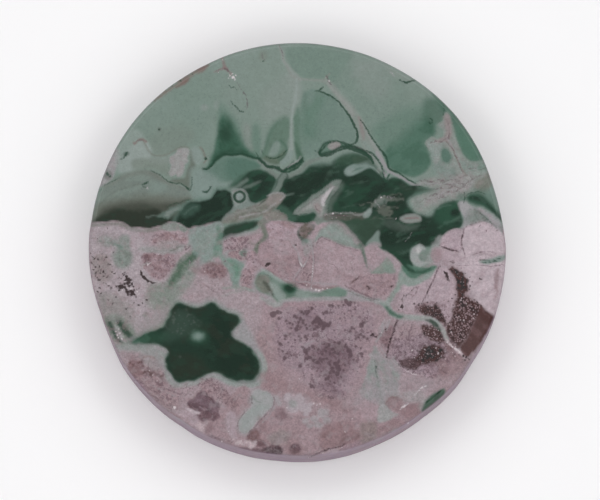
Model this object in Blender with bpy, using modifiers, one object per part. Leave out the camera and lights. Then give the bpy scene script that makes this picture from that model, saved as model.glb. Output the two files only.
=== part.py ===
"""A round polished variscite disc, one solid stone, lying on its flat back.

Metres, +Z up. The origin is the middle of the flat back, where the disc rests.
+Z is the axis of the disc and points out of its polished face.
"""

import math

import bpy

# Driving dimensions, in metres.
DIAMETER = 0.060  # across the disc, over its straight side
RIM_HEIGHT = 0.0100  # from the flat back to the shoulder of the polished face
CROWN_RISE = 0.0004  # how much higher the middle of the face stands than its shoulder
FACE_ROUND = 0.0007  # radius of the polished, rolled edge of the face
BACK_ROUND = 0.0006  # radius of the broken edge of the back

# How finely the shape is divided.
TURN_STEPS = 128
CROWN_STEPS = 9
FACE_ROUND_STEPS = 7
BACK_ROUND_STEPS = 4

OBJECT_NAME = "variscite"
NODE_NAME = "variscite_disc"


def clear_scene():
    for obj in list(bpy.data.objects):
        bpy.data.objects.remove(obj, do_unlink=True)
    for mesh in list(bpy.data.meshes):
        bpy.data.meshes.remove(mesh)


def quarter_round(centre_x, centre_z, radius, start_deg, end_deg, steps):
    """Points along an arc, its first and last point among them."""
    points = []
    for i in range(steps + 1):
        angle = math.radians(start_deg + (end_deg - start_deg) * i / steps)
        points.append(
            (centre_x + radius * math.cos(angle), centre_z + radius * math.sin(angle))
        )
    return points


def disc_profile():
    """Half of the disc's section, from the middle of the face round to the middle of the back."""
    radius = DIAMETER / 2
    shoulder = radius - FACE_ROUND
    points = []
    # The face is a very shallow crown, which meets the rolled edge without a step.
    for i in range(CROWN_STEPS):
        share = i / CROWN_STEPS
        points.append((shoulder * share, RIM_HEIGHT + CROWN_RISE * (1 - share**2)))
    points += quarter_round(
        shoulder, RIM_HEIGHT - FACE_ROUND, FACE_ROUND, 90, 0, FACE_ROUND_STEPS
    )
    points += quarter_round(
        radius - BACK_ROUND, BACK_ROUND, BACK_ROUND, 0, -90, BACK_ROUND_STEPS
    )
    points.append((0.0, 0.0))
    return points


def stone_material():
    material = bpy.data.materials.new("polished_stone")
    material.use_nodes = True
    shader = material.node_tree.nodes["Principled BSDF"]
    shader.inputs["Base Color"].default_value = (0.19, 0.24, 0.19, 1.0)
    shader.inputs["Roughness"].default_value = 0.25
    shader.inputs["Metallic"].default_value = 0.0
    material.diffuse_color = (0.19, 0.24, 0.19, 1.0)
    return material


def turned(name, profile, material, collection):
    """The profile turned once round Z. It starts and ends on the axis."""
    mesh = bpy.data.meshes.new(name)
    mesh.from_pydata(
        [(x, 0.0, z) for x, z in profile],
        [(i, i + 1) for i in range(len(profile) - 1)],
        [],
    )
    obj = bpy.data.objects.new(name, mesh)
    collection.objects.link(obj)
    obj.data.materials.append(material)
    screw = obj.modifiers.new("Turn", "SCREW")
    screw.axis = "Z"
    screw.angle = math.tau
    screw.steps = TURN_STEPS
    screw.render_steps = TURN_STEPS
    screw.use_merge_vertices = True
    screw.merge_threshold = 0.00001
    screw.use_smooth_shade = True
    return obj


def main():
    clear_scene()
    bpy.context.scene.unit_settings.system = "METRIC"
    bpy.context.scene.unit_settings.scale_length = 1.0
    collection = bpy.data.collections.new(OBJECT_NAME)
    bpy.context.scene.collection.children.link(collection)
    turned(NODE_NAME, disc_profile(), stone_material(), collection)


main()
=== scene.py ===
import math

import bpy
import numpy as np
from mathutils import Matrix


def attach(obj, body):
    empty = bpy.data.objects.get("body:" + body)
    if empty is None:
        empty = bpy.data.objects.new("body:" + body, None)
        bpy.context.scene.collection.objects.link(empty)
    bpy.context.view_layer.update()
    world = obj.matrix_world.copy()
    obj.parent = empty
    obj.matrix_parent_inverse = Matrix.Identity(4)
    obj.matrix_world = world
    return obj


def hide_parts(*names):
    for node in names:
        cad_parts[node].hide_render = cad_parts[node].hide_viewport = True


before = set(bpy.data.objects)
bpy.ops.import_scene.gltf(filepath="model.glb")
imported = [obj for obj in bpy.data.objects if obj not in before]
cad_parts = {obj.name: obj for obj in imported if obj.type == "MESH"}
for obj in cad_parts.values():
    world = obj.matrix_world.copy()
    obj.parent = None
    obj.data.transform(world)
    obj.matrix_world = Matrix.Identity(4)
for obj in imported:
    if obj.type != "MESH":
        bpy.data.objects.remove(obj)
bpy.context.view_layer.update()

# ---------------------------------------------------------------------------
# The stone: a round polished disc, lying on its flat back. Sizes in metres.
# ---------------------------------------------------------------------------
NODE = "variscite_disc"
MM = 0.001
RADIUS = 30.0  # mm
SHOULDER_Z = 10.0  # mm
CROWN = 0.4  # mm
ROLL = 0.7  # mm, the rolled edge of the face
BACK_ROLL = 0.6  # mm

# The chart: the pattern is drawn in units of 0.1434 mm, x to the right and y down,
# on a 600 by 500 sheet that looks down on the stone 8 degrees off its axis.
TILT = math.radians(8.0)
UNIT = 60.0 / 418.3  # mm
MIDDLE = (297.3, 252.8)
MIDDLE_V = 0.6895  # mm, height of the chart's middle above the origin, in the view plane

RNG = np.random.default_rng(71)


def to_chart(p):
    """Chart place of points given in mm."""
    u = p[:, 0]
    v = p[:, 1] * math.cos(TILT) + p[:, 2] * math.sin(TILT)
    return np.stack([MIDDLE[0] + u / UNIT, MIDDLE[1] - (v - MIDDLE_V) / UNIT], 1)


# ---------------------------------------------------------------------------
# Noise
# ---------------------------------------------------------------------------
def _hash(ix, iy, iz, seed):
    h = (
        ix.astype(np.uint64) * np.uint64(73856093)
        ^ iy.astype(np.uint64) * np.uint64(19349663)
        ^ iz.astype(np.uint64) * np.uint64(83492791)
        ^ np.uint64(seed * 2654435761 % 4294967291)
    ) & np.uint64(0xFFFFFFFF)
    h = (h ^ (h >> np.uint64(15))) * np.uint64(2246822519) & np.uint64(0xFFFFFFFF)
    h = (h ^ (h >> np.uint64(13))) * np.uint64(3266489917) & np.uint64(0xFFFFFFFF)
    return h ^ (h >> np.uint64(16))


_GRAD = RNG.normal(size=(512, 3))
_GRAD /= np.linalg.norm(_GRAD, axis=1)[:, None]


def perlin(p, seed=0):
    """Gradient noise of points (n, 2 or 3), about -1 to 1."""
    if p.shape[1] == 2:
        p = np.concatenate([p, np.full((len(p), 1), 0.37)], 1)
    base = np.floor(p)
    f = p - base
    i = base.astype(np.int64) + 4096
    u = f * f * f * (f * (f * 6 - 15) + 10)
    out = np.zeros(len(p))
    for dx in (0, 1):
        wx = u[:, 0] if dx else 1 - u[:, 0]
        for dy in (0, 1):
            wy = u[:, 1] if dy else 1 - u[:, 1]
            for dz in (0, 1):
                wz = u[:, 2] if dz else 1 - u[:, 2]
                g = _GRAD[(_hash(i[:, 0] + dx, i[:, 1] + dy, i[:, 2] + dz, seed) & np.uint64(511)).astype(np.int64)]
                d = f - np.array([dx, dy, dz])
                out += wx * wy * wz * (g * d).sum(1)
    return out * 1.6


def fractal(p, seed=0, octaves=3, gain=0.5):
    out, a, total = 0.0, 1.0, 0.0
    for o in range(octaves):
        out = out + a * perlin(p * 2.0**o, seed + 17 * o)
        total += a
        a *= gain
    return out / total


def smooth(x):
    x = np.clip(x, 0.0, 1.0)
    return x * x * (3 - 2 * x)


# ---------------------------------------------------------------------------
# Drawing on the chart
# ---------------------------------------------------------------------------
def rounded(points, closed, steps=3):
    """Catmull-Rom through the points, extra columns carried along."""
    p = np.asarray(points, float)
    n = len(p)
    if n < 3 or steps < 2:
        return p
    out = []
    for i in range(n if closed else n - 1):
        if closed:
            a, b, c, d = p[(i - 1) % n], p[i], p[(i + 1) % n], p[(i + 2) % n]
        else:
            a, b, c, d = p[max(i - 1, 0)], p[i], p[i + 1], p[min(i + 2, n - 1)]
        for s in range(steps):
            t = s / steps
            out.append(
                0.5 * (2 * b + (c - a) * t + (2 * a - 5 * b + 4 * c - d) * t * t + (3 * b - a - 3 * c + d) * t**3)
            )
    if not closed:
        out.append(p[-1])
    return np.array(out)


def nearest(q, line, closed):
    """Distance of each point to the line, and the extra columns of the line there."""
    best = np.full(len(q), 1e9)
    extra = np.zeros((len(q), line.shape[1] - 2))
    n = len(line)
    for i in range(n if closed else n - 1):
        a, b = line[i], line[(i + 1) % n]
        ab = b[:2] - a[:2]
        t = np.clip(((q - a[:2]) @ ab) / max(ab @ ab, 1e-9), 0, 1)
        d = np.hypot(*(q - a[:2] - t[:, None] * ab).T)
        near = d < best
        best[near] = d[near]
        if extra.shape[1]:
            extra[near] = a[2:] + t[near, None] * (b[2:] - a[2:])
    return best, extra


def inside(q, line):
    hit = np.zeros(len(q), bool)
    n = len(line)
    for i in range(n):
        x1, y1 = line[i][:2]
        x2, y2 = line[(i + 1) % n][:2]
        if y1 == y2:
            continue
        cross = ((y1 > q[:, 1]) != (y2 > q[:, 1])) & (q[:, 0] < (x2 - x1) * (q[:, 1] - y1) / (y2 - y1) + x1)
        hit ^= cross
    return hit


class Chart:
    """The pattern's layers at every vertex: a tint, what kind of rock it is, and the densities of its fine detail."""

    def __init__(self, places, solid):
        self.p = places
        self.solid = solid
        n = len(places)
        self.tint = np.zeros((n, 3))
        self.kind = np.zeros((n, 3))  # green, matrix, brown
        self.detail = np.zeros((n, 3))  # sand grains, plum spots, black specks
        self.fabric = np.zeros((n, 3))  # fine threads, rubble, pale crumbs
        self.lines = {k: np.full(n, -3.0) for k in ("ink", "rust", "blush", "spot", "pale", "white", "dark")}
        self.sink = np.zeros(n)
        self.wob = {}

    def wobbled(self, rough, wave, seed):
        key = (rough, wave, seed)
        if key not in self.wob:
            q = self.p / wave
            dx = fractal(q, 11 + seed, 3)
            dy = fractal(q, 47 + seed, 3)
            self.wob[key] = self.p + rough * np.stack([dx, dy], 1)
        return self.wob[key]

    def cover(self, points, soft, rough, wave, seed, round_it, grow):
        pts = [tuple(p) + (soft,) if len(p) == 2 else tuple(p) for p in points]
        line = rounded(pts, True) if round_it else np.asarray(pts, float)
        q = self.wobbled(rough, wave, seed)
        pad = line[:, 2].max() * 1.2 + abs(grow) + 1
        lo, hi = line[:, :2].min(0) - pad, line[:, :2].max(0) + pad
        near = np.flatnonzero(((q > lo) & (q < hi)).all(1))
        mask = np.zeros(len(q))
        if len(near):
            d, extra = nearest(q[near], line, True)
            d[inside(q[near], line)] *= -1
            s = np.maximum(extra[:, 0], 0.35)
            mask[near] = smooth((s - d + grow) / (2 * s))
        return mask

    def paint(self, mask, colour, kind=None, detail=None, sink=None, fabric=None):
        if colour is not None:
            self.tint += mask[:, None] * (tone(colour) - self.tint)
        if kind is not None:
            self.kind += mask[:, None] * (np.array(KINDS[kind]) - self.kind)
        if detail is not None:
            self.detail += mask[:, None] * (np.array(detail, float) - self.detail)
        if fabric is not None:
            self.fabric += mask[:, None] * (np.array(fabric, float) - self.fabric)
        if sink is not None:
            self.sink += mask * (sink - self.sink)

    def patch(self, colour, points, soft=1.3, rough=1.2, wave=9.0, seed=0, crisp=False, grow=0.0, strength=1.0, kind=None, detail=None, sink=None, fabric=None):
        mask = self.cover(points, soft, rough, wave, seed, not crisp, grow) * strength
        self.paint(mask, colour, kind, detail, sink, fabric)
        return mask

    def blob(self, colour, x, y, rx, ry=None, turn=0.0, soft=None, strength=1.0, rough=0.8, wave=8.0, seed=3, kind=None, detail=None, sink=None, fabric=None):
        ry = rx if ry is None else ry
        soft = min(rx, ry) * 0.6 if soft is None else soft
        q = self.wobbled(rough, wave, seed)
        a = math.radians(turn)
        d = q - np.array([x, y])
        ex = (d[:, 0] * math.cos(a) + d[:, 1] * math.sin(a)) / rx
        ey = (-d[:, 0] * math.sin(a) + d[:, 1] * math.cos(a)) / ry
        r = np.hypot(ex, ey)
        dist = (r - 1) * min(rx, ry)
        mask = smooth((soft - dist) / (2 * soft)) * strength
        self.paint(mask, colour, kind, detail, sink, fabric)
        return mask

    def vein(self, colour, points, width=2.0, soft=0.9, rough=0.8, wave=8.0, seed=5, strength=1.0, kind=None, detail=None, sink=None, fabric=None):
        """A band along a line; a third number on a point is its full width there."""
        pts = [tuple(p) + (width,) if len(p) == 2 else tuple(p) for p in points]
        line = rounded(pts, False)
        q = self.wobbled(rough, wave, seed)
        pad = line[:, 2].max() / 2 + soft + 2
        lo, hi = line[:, :2].min(0) - pad, line[:, :2].max(0) + pad
        near = np.flatnonzero(((q > lo) & (q < hi)).all(1))
        mask = np.zeros(len(q))
        if len(near):
            d, extra = nearest(q[near], line, False)
            mask[near] = smooth((soft - d + extra[:, 0] / 2) / (2 * soft)) * strength
        self.paint(mask, colour, kind, detail, sink, fabric)
        return mask

    def stroke(self, layer, points, width=1.2, rough=0.7, wave=6.0, seed=9):
        """A thin line, kept as a distance so that it stays fine; a third number on a point is its width there."""
        pts = [tuple(p) + (width,) if len(p) == 2 else tuple(p) for p in points]
        line = rounded(pts, False)
        q = self.wobbled(rough, wave, seed)
        lo, hi = line[:, :2].min(0) - 5, line[:, :2].max(0) + 5
        near = np.flatnonzero(((q > lo) & (q < hi)).all(1))
        if len(near):
            d, extra = nearest(q[near], line, False)
            f = self.lines[layer]
            f[near] = np.maximum(f[near], np.clip(extra[:, 0] / 2 + 0.12 - d, -3, 3))

    def fleck(self, layer, x, y, r, rough=0.6, wave=3.0, seed=13):
        q = self.wobbled(rough, wave, seed)
        f = self.lines[layer]
        f[:] = np.maximum(f, np.clip(r + 0.25 - np.hypot(*(q - np.array([x, y])).T), -3, 3))

    def veil(self, mask, colour, size=5.0, share=0.6, turn=0.0, stretch=1.0, seed=0, lo=0.0, hi=0.3, kind=None):
        """Uneven streaks of a colour inside a mask, longer along one direction (turn, in degrees)."""
        near = np.flatnonzero(mask > 0.004)
        if not len(near):
            return mask
        a = math.radians(turn)
        p = self.p[near]
        q = np.stack([(p[:, 0] * math.cos(a) + p[:, 1] * math.sin(a)) / (size * stretch), (-p[:, 0] * math.sin(a) + p[:, 1] * math.cos(a)) / size], 1)
        out = np.zeros(len(mask))
        out[near] = mask[near] * smooth((fractal(q, 500 + seed, 3) - lo) / (hi - lo)) * share
        self.paint(out, colour, kind)
        return out


KINDS = {"green": (1, 0, 0), "matrix": (0, 1, 0), "brown": (0, 0, 1), "halo": (0.4, 0.6, 0)}

# Named colours of the stone, as they look in soft light.
PALETTE = {
    "haze": (127, 142, 134),
    "celadon": (116, 136, 126),
    "milk": (148, 158, 154),
    "pearl": (146, 150, 147),
    "moss": (84, 104, 88),
    "green": (99, 125, 112),
    "sage": (108, 129, 119),
    "fresh": (79, 110, 96),
    "teal": (86, 114, 103),
    "flame": (52, 85, 69),
    "deep": (44, 72, 58),
    "bottle": (44, 64, 54),
    "black": (36, 50, 43),
    "umber": (48, 54, 47),
    "mint": (128, 144, 139),
    "jade": (100, 134, 117),
    "fog": (150, 147, 150),
    "silver": (160, 158, 160),
    "pink": (157, 138, 144),
    "rose": (163, 145, 150),
    "ash": (157, 149, 153),
    "lilac": (174, 157, 165),
    "mauve": (150, 127, 132),
    "clay": (143, 119, 122),
    "russet": (128, 102, 105),
    "plum": (126, 106, 116),
    "damson": (98, 76, 84),
    "brown": (86, 66, 68),
    "coffee": (70, 48, 50),
    "rust": (120, 90, 84),
    "olive": (114, 115, 106),
    "cream": (143, 144, 141),
    "stone": (112, 119, 114),
    "bone": (184, 168, 172),
    "white": (214, 205, 208),
    "violet": (147, 124, 144),
    "night": (46, 29, 33),
    "ember": (92, 64, 64),
}


def linear(c):
    c = np.asarray(c, float) / 255
    return np.where(c <= 0.04045, c / 12.92, ((c + 0.055) / 1.055) ** 2.4)


def tone(name):
    """A palette colour, or a blend such as "mint>green:0.3"."""
    if ">" in name:
        a, rest = name.split(">")
        b, share = rest.split(":")
        return linear(PALETTE[a]) * (1 - float(share)) + linear(PALETTE[b]) * float(share)
    return linear(PALETTE[name])


# ---------------------------------------------------------------------------
# The shape: rings of vertices, fine on the polished face, coarser on the back
# ---------------------------------------------------------------------------
FACE_RINGS = 156
SIDE_COLUMNS = 468
SIDE_ROWS = 17
BACK_RINGS = 62


def build_shape():
    """Vertices in mm, triangles, and each vertex's zone (0 face, 1 edge and side, 2 back)."""
    points, zone, rings = [], [], []

    def ring(count, radius, z, where, shift=0.0):
        start = sum(len(p) for p in points)
        a = (np.arange(count) + shift) / count * math.tau
        points.append(np.stack([radius * np.cos(a), radius * np.sin(a), np.full(count, z)], 1))
        zone.append(np.full(count, where))
        rings.append((start, count, shift))

    shoulder = RADIUS - ROLL
    ring(1, 0.0, SHOULDER_Z + CROWN, 0)
    for k in range(1, FACE_RINGS + 1):
        r = shoulder * k / FACE_RINGS
        ring(6 * k, r, SHOULDER_Z + CROWN * (1 - (r / shoulder) ** 2), 0)
    for k in range(1, 6):
        a = math.pi / 2 * (1 - k / 5)
        ring(6 * FACE_RINGS, shoulder + ROLL * math.cos(a), SHOULDER_Z - ROLL + ROLL * math.sin(a), 1)
    top, bottom = SHOULDER_Z - ROLL, BACK_ROLL
    for k in range(1, SIDE_ROWS + 1):
        ring(SIDE_COLUMNS, RADIUS, top + (bottom - top) * k / SIDE_ROWS, 1)
    for k in range(1, 4):
        a = -math.pi / 2 * k / 3
        ring(SIDE_COLUMNS, RADIUS - BACK_ROLL + BACK_ROLL * math.cos(a), BACK_ROLL + BACK_ROLL * math.sin(a), 1)
    inner = RADIUS - BACK_ROLL
    for k in range(BACK_RINGS, 0, -1):
        ring(6 * k, inner * k / (BACK_RINGS + 1), 0.0, 2)
    ring(1, 0.0, 0.0, 2)

    faces = []
    for (s0, n0, _), (s1, n1, _) in zip(rings, rings[1:]):
        faces.append(zip_rings(s0, n0, s1, n1))
    return np.concatenate(points), np.concatenate(faces), np.concatenate(zone)


def zip_rings(s0, n0, s1, n1):
    """Triangles between two rings that may have different counts, wound outwards."""
    if n0 == 1:
        i = np.arange(n1)
        return np.stack([np.full(n1, s0), s1 + i, s1 + (i + 1) % n1], 1)
    if n1 == 1:
        i = np.arange(n0)
        return np.stack([s0 + i, np.full(n0, s1), s0 + (i + 1) % n0], 1)
    out = []
    i = j = 0
    while i < n0 or j < n1:
        ti, tj = (i + 1) / n0, (j + 1) / n1
        if j >= n1 or (i < n0 and ti <= tj + 1e-12):
            out.append((s0 + i % n0, s1 + j % n1, s0 + (i + 1) % n0))
            i += 1
        else:
            out.append((s0 + i % n0, s1 + j % n1, s1 + (j + 1) % n1))
            j += 1
    return np.array(out)


shape, triangles, zone = build_shape()

# The outline is not quite a circle: shallow flats ground by hand, depth in mm at angles
# anticlockwise from +x. They only take stone away.
FLATS = np.array([
    (0, 0.00), (4, 0.15), (8, 0.28), (12, 0.35), (16, 0.38), (20, 0.37), (24, 0.26), (30, 0.17), (36, 0.09), (40, 0.02),
    (52, 0.04), (62, 0.08), (70, 0.02), (78, 0.04), (86, 0.00), (108, 0.01), (116, 0.11), (124, 0.10), (129, 0.03), (142, 0.00),
    (152, 0.06), (160, 0.12), (172, 0.13), (176, 0.00), (184, 0.02), (192, 0.11), (196, 0.27), (204, 0.29), (209, 0.14), (212, 0.00),
    (230, 0.00), (236, 0.10), (241, 0.00), (258, 0.00), (264, 0.08), (270, 0.03), (275, 0.00), (284, 0.05), (292, 0.22), (300, 0.23),
    (308, 0.28), (314, 0.16), (320, 0.12), (328, 0.30), (336, 0.12), (342, 0.00), (360, 0.00),
])
bearing = np.degrees(np.arctan2(shape[:, 1], shape[:, 0])) % 360
flat = np.interp(bearing, FLATS[:, 0], FLATS[:, 1])
from_axis = np.hypot(shape[:, 0], shape[:, 1])
pull = flat * smooth((from_axis - 20.0) / (RADIUS - ROLL - 20.0))
shape[:, :2] *= (1 - pull / np.maximum(from_axis, 1e-6))[:, None]

# Where the pattern is read: straight through the stone along the view, drifting with depth.
depth = np.clip((SHOULDER_Z - shape[:, 2]) / SHOULDER_Z, 0, 1)
drift = np.stack(
    [
        24 * perlin(shape / np.array([16.0, 16.0, 14.0]), 301) + 7 * perlin(shape / 5.0, 302),
        24 * perlin(shape / np.array([16.0, 16.0, 14.0]), 303) + 7 * perlin(shape / 5.0, 304),
    ],
    1,
)
front_side = smooth((-shape[:, 1] / RADIUS - 0.1) / 0.5) * (zone == 1)
weight = smooth(depth) * (1 - 0.85 * front_side)
places = to_chart(shape) + drift * weight[:, None]
chart = Chart(places, shape)


# ---------------------------------------------------------------------------
# The pattern, region by region
# ---------------------------------------------------------------------------
def draw_ground(c):
    n = len(c.p)
    everywhere = np.ones(n)
    c.paint(everywhere, "haze", "green", (0, 0, 0), 0.0)
    # slow changes of the pale green ground
    cloud = fractal(c.p / 55.0, 71, 3)
    c.paint(smooth(0.5 + 1.2 * cloud) * 0.35, "celadon")
    cloud = fractal(c.p / 26.0, 83, 3)
    c.paint(smooth(0.2 + 1.6 * cloud) * 0.22, "mint")


def draw_upper_left(c):
    c.patch("celadon", [(100, 190, 9), (122, 150, 9), (140, 118, 9), (170, 92, 9), (215, 66, 9), (226, 90, 9), (214, 118, 9), (196, 140, 9), (150, 148, 9)], strength=0.3)
    c.patch("olive>haze:0.5", [(148, 140, 6), (160, 128, 8), (180, 124, 8), (194, 132, 6), (188, 144, 3), (176, 149, 2.5), (168, 154, 2), (156, 154, 2.5), (150, 150, 3)], strength=0.4)
    c.patch("mint>haze:0.4", [(208, 70), (213, 63), (226, 56), (248, 52), (244, 66), (232, 72), (226, 70), (216, 72)], soft=2.5, strength=0.5)
    # brownish skin along the rim
    c.vein("rust>olive:0.45", [(155, 100, 2), (160, 95, 3.5), (166, 90, 4), (172, 87, 3.5), (178, 84, 6), (184, 79, 6.5), (190, 75, 4), (196, 70.5, 4.5), (202, 67, 5.5), (207, 64.5, 3)], soft=1.6, rough=3, wave=5, strength=0.75)
    c.blob("russet>rust:0.6", 183.5, 81, 5, 2.4, turn=-35, soft=1.4, strength=0.6, rough=2.4, wave=4)
    c.blob("russet>rust:0.6", 202.5, 67.6, 5, 2.0, turn=-25, soft=1.3, strength=0.6, rough=2.4, wave=4)
    # pale lobes beside the left rim
    c.patch("ash>mint:0.25", [(97, 186), (100, 172), (105, 163), (111, 154), (116, 148), (119, 152), (120, 160), (116, 168), (113, 176), (106, 184)], soft=2.0, strength=0.9, kind="halo")
    c.patch("milk>haze:0.3", [(116, 150), (124, 138), (132, 129), (140, 131), (146, 140), (151, 150), (150, 158), (140, 168), (122, 174), (116, 165)], soft=3, strength=0.65)
    c.patch("milk>haze:0.1", [(118, 172), (121, 160), (127, 150), (136, 143), (141, 141), (147, 142), (151, 152), (147, 163), (132, 170)], soft=2.4, strength=0.75)
    c.patch("haze>olive:0.35", [(132, 160), (146, 158), (158, 159), (168, 160), (169, 168), (172, 178), (160, 172), (146, 168), (134, 169)], soft=2.4, strength=0.85)
    c.patch("pearl>haze:0.5", [(150, 156), (160, 155), (170, 155), (171, 162), (160, 164), (150, 163)], soft=2.0, strength=0.45)
    c.patch("pearl>ash:0.35", [(170, 163), (169, 158), (172, 155), (176, 152), (178, 149), (183, 147.5), (188, 148.5), (189, 152), (187, 157), (188, 161), (185, 165), (184, 170), (182, 175), (178, 177), (176, 174), (174, 175), (171, 176), (168, 173), (170, 169), (171, 165)], soft=1.3, strength=0.9, kind="halo")
    c.vein("olive", [(143, 140.5), (150, 153), (158, 155.5), (166, 154.5), (172, 151.5), (177, 148.5), (183, 146.5), (189, 147.5)], width=1.5, soft=0.9, strength=0.6)
    c.patch("olive>bottle:0.35", [(184, 178), (187, 170), (190, 162), (189.5, 152), (192, 150), (194, 158), (195, 166), (193, 172), (192.5, 180), (191, 187), (189, 189.5), (186, 187), (181, 184), (175, 183.5), (170, 181), (176, 178.5)], soft=1.8, strength=0.68)
    c.patch("milk>mint:0.5", [(191, 149), (195, 146), (199, 148), (202, 153), (203, 160), (199, 165), (194, 163), (191.5, 156)], soft=2.0, strength=0.7)
    c.vein("rust>olive:0.4", [(200, 147), (203, 151), (205, 156), (206, 160), (204, 163)], width=1.5, soft=0.9, strength=0.6)
    c.blob("bottle", 205.5, 158.5, 1.4, soft=0.8, strength=0.7)
    c.blob("bottle>haze:0.2", 126, 154, 3.0, 1.8, turn=-20, soft=1.0, strength=0.8, rough=1.5)
    c.blob("silver>haze:0.5", 204, 107, 4, 3, strength=0.5)
    c.blob("silver>haze:0.5", 217, 105, 3, 5, strength=0.4)
    c.blob("coffee>haze:0.4", 159, 129, 1.6, soft=0.9, strength=0.7)
    c.blob("stone>bottle:0.4", 107.5, 175, 4.2, 4.6, soft=2.2, strength=0.75)
    # lens under the arc: green that darkens downwards into the dark band
    lens = c.patch("stone>haze:0.35", [(98, 196), (108, 185), (120, 178), (133, 172.5), (146, 170.5), (158, 173.5), (166, 180.5), (177, 184), (186, 188), (190, 191), (190, 198), (180, 204), (160, 206), (130, 206), (105, 212), (96, 214)], soft=1.6, strength=0.95)
    c.veil(lens, "haze", size=9, share=0.5, turn=-15, stretch=1.8, seed=1)
    c.patch("haze>mint:0.4", [(148, 186), (156, 181), (165, 183), (166, 190), (158, 195), (149, 194)], soft=3.4, strength=0.6)
    c.vein("olive>stone:0.4", [(104, 186, 3), (114, 181, 4), (124, 176, 5), (134, 173, 5), (144, 172, 5), (153, 174, 5), (160, 178, 5), (167, 182.5, 4), (176, 186, 3), (186, 189.5, 2)], soft=2.4, strength=0.5)
    c.patch("olive>bottle:0.25", [(94, 208, 6), (110, 200, 7), (134, 196, 7), (158, 195, 6), (178, 197, 5), (192, 197, 3), (192, 214, 4), (150, 226, 4), (96, 226, 4)], strength=0.8)
    c.patch("umber>olive:0.25", [(92, 222, 3), (103, 209, 4), (112, 205, 5), (140, 201, 5), (160, 203, 4), (180, 202, 3), (190, 201, 2), (192, 228, 2), (140, 230, 3), (94, 228, 3)], strength=0.88)
    core = c.patch("umber", [(92, 222, 2.5), (104, 214, 3), (114, 209, 4), (140, 206, 4), (158, 208.5, 3), (168, 217, 3), (184, 215, 3), (192, 218, 3), (192, 232, 3), (130, 232, 3), (92, 230, 3)], strength=0.97)
    c.veil(core, "bottle", size=6, share=0.6, turn=-8, stretch=2.5, seed=2)
    c.patch("olive>umber:0.35", [(118, 208), (130, 205), (146, 204.5), (160, 206), (150, 210), (132, 211)], soft=2.6, strength=0.25, rough=3, wave=5)
    c.patch("stone>teal:0.5", [(158, 216.5), (163, 212), (169, 208), (176, 205.5), (183, 203), (189, 200.5), (191, 202), (187, 206.5), (182, 210), (176, 212), (170, 217), (165, 218.5), (161, 217.5)], soft=1.5, strength=0.85, rough=2.6, wave=5)
    c.patch("milk>stone:0.4", [(163, 215), (169, 211), (177, 207), (180, 208), (173, 212), (167, 217)], soft=1.4, strength=0.6, rough=2, wave=4)
    c.vein("stone>teal:0.4", [(146, 218), (153, 216), (160, 214.5)], width=1.4, soft=0.9, strength=0.6, rough=2, wave=5)
    c.vein("olive>bottle:0.3", [(95, 210), (104, 200), (114, 192), (128, 187), (140, 184)], width=1.4, soft=1.2, strength=0.4)
    c.blob("bottle", 145, 183.5, 2.4, 1.0, turn=-25, soft=0.9, strength=0.7)
    c.blob("silver", 147.5, 188, 1.2, soft=0.8, strength=0.5)
    c.patch("mint>haze:0.3", [(190, 170, 3), (200, 168, 3), (212, 172, 5), (222, 180, 6), (216, 188, 4), (208, 196, 2), (196, 199, 2), (191, 196, 2)], strength=0.75)
    c.vein("bottle", [(202.5, 191.5), (206, 191.8), (209, 190), (211, 187)], width=2.8, soft=0.8, strength=0.9)


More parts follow.
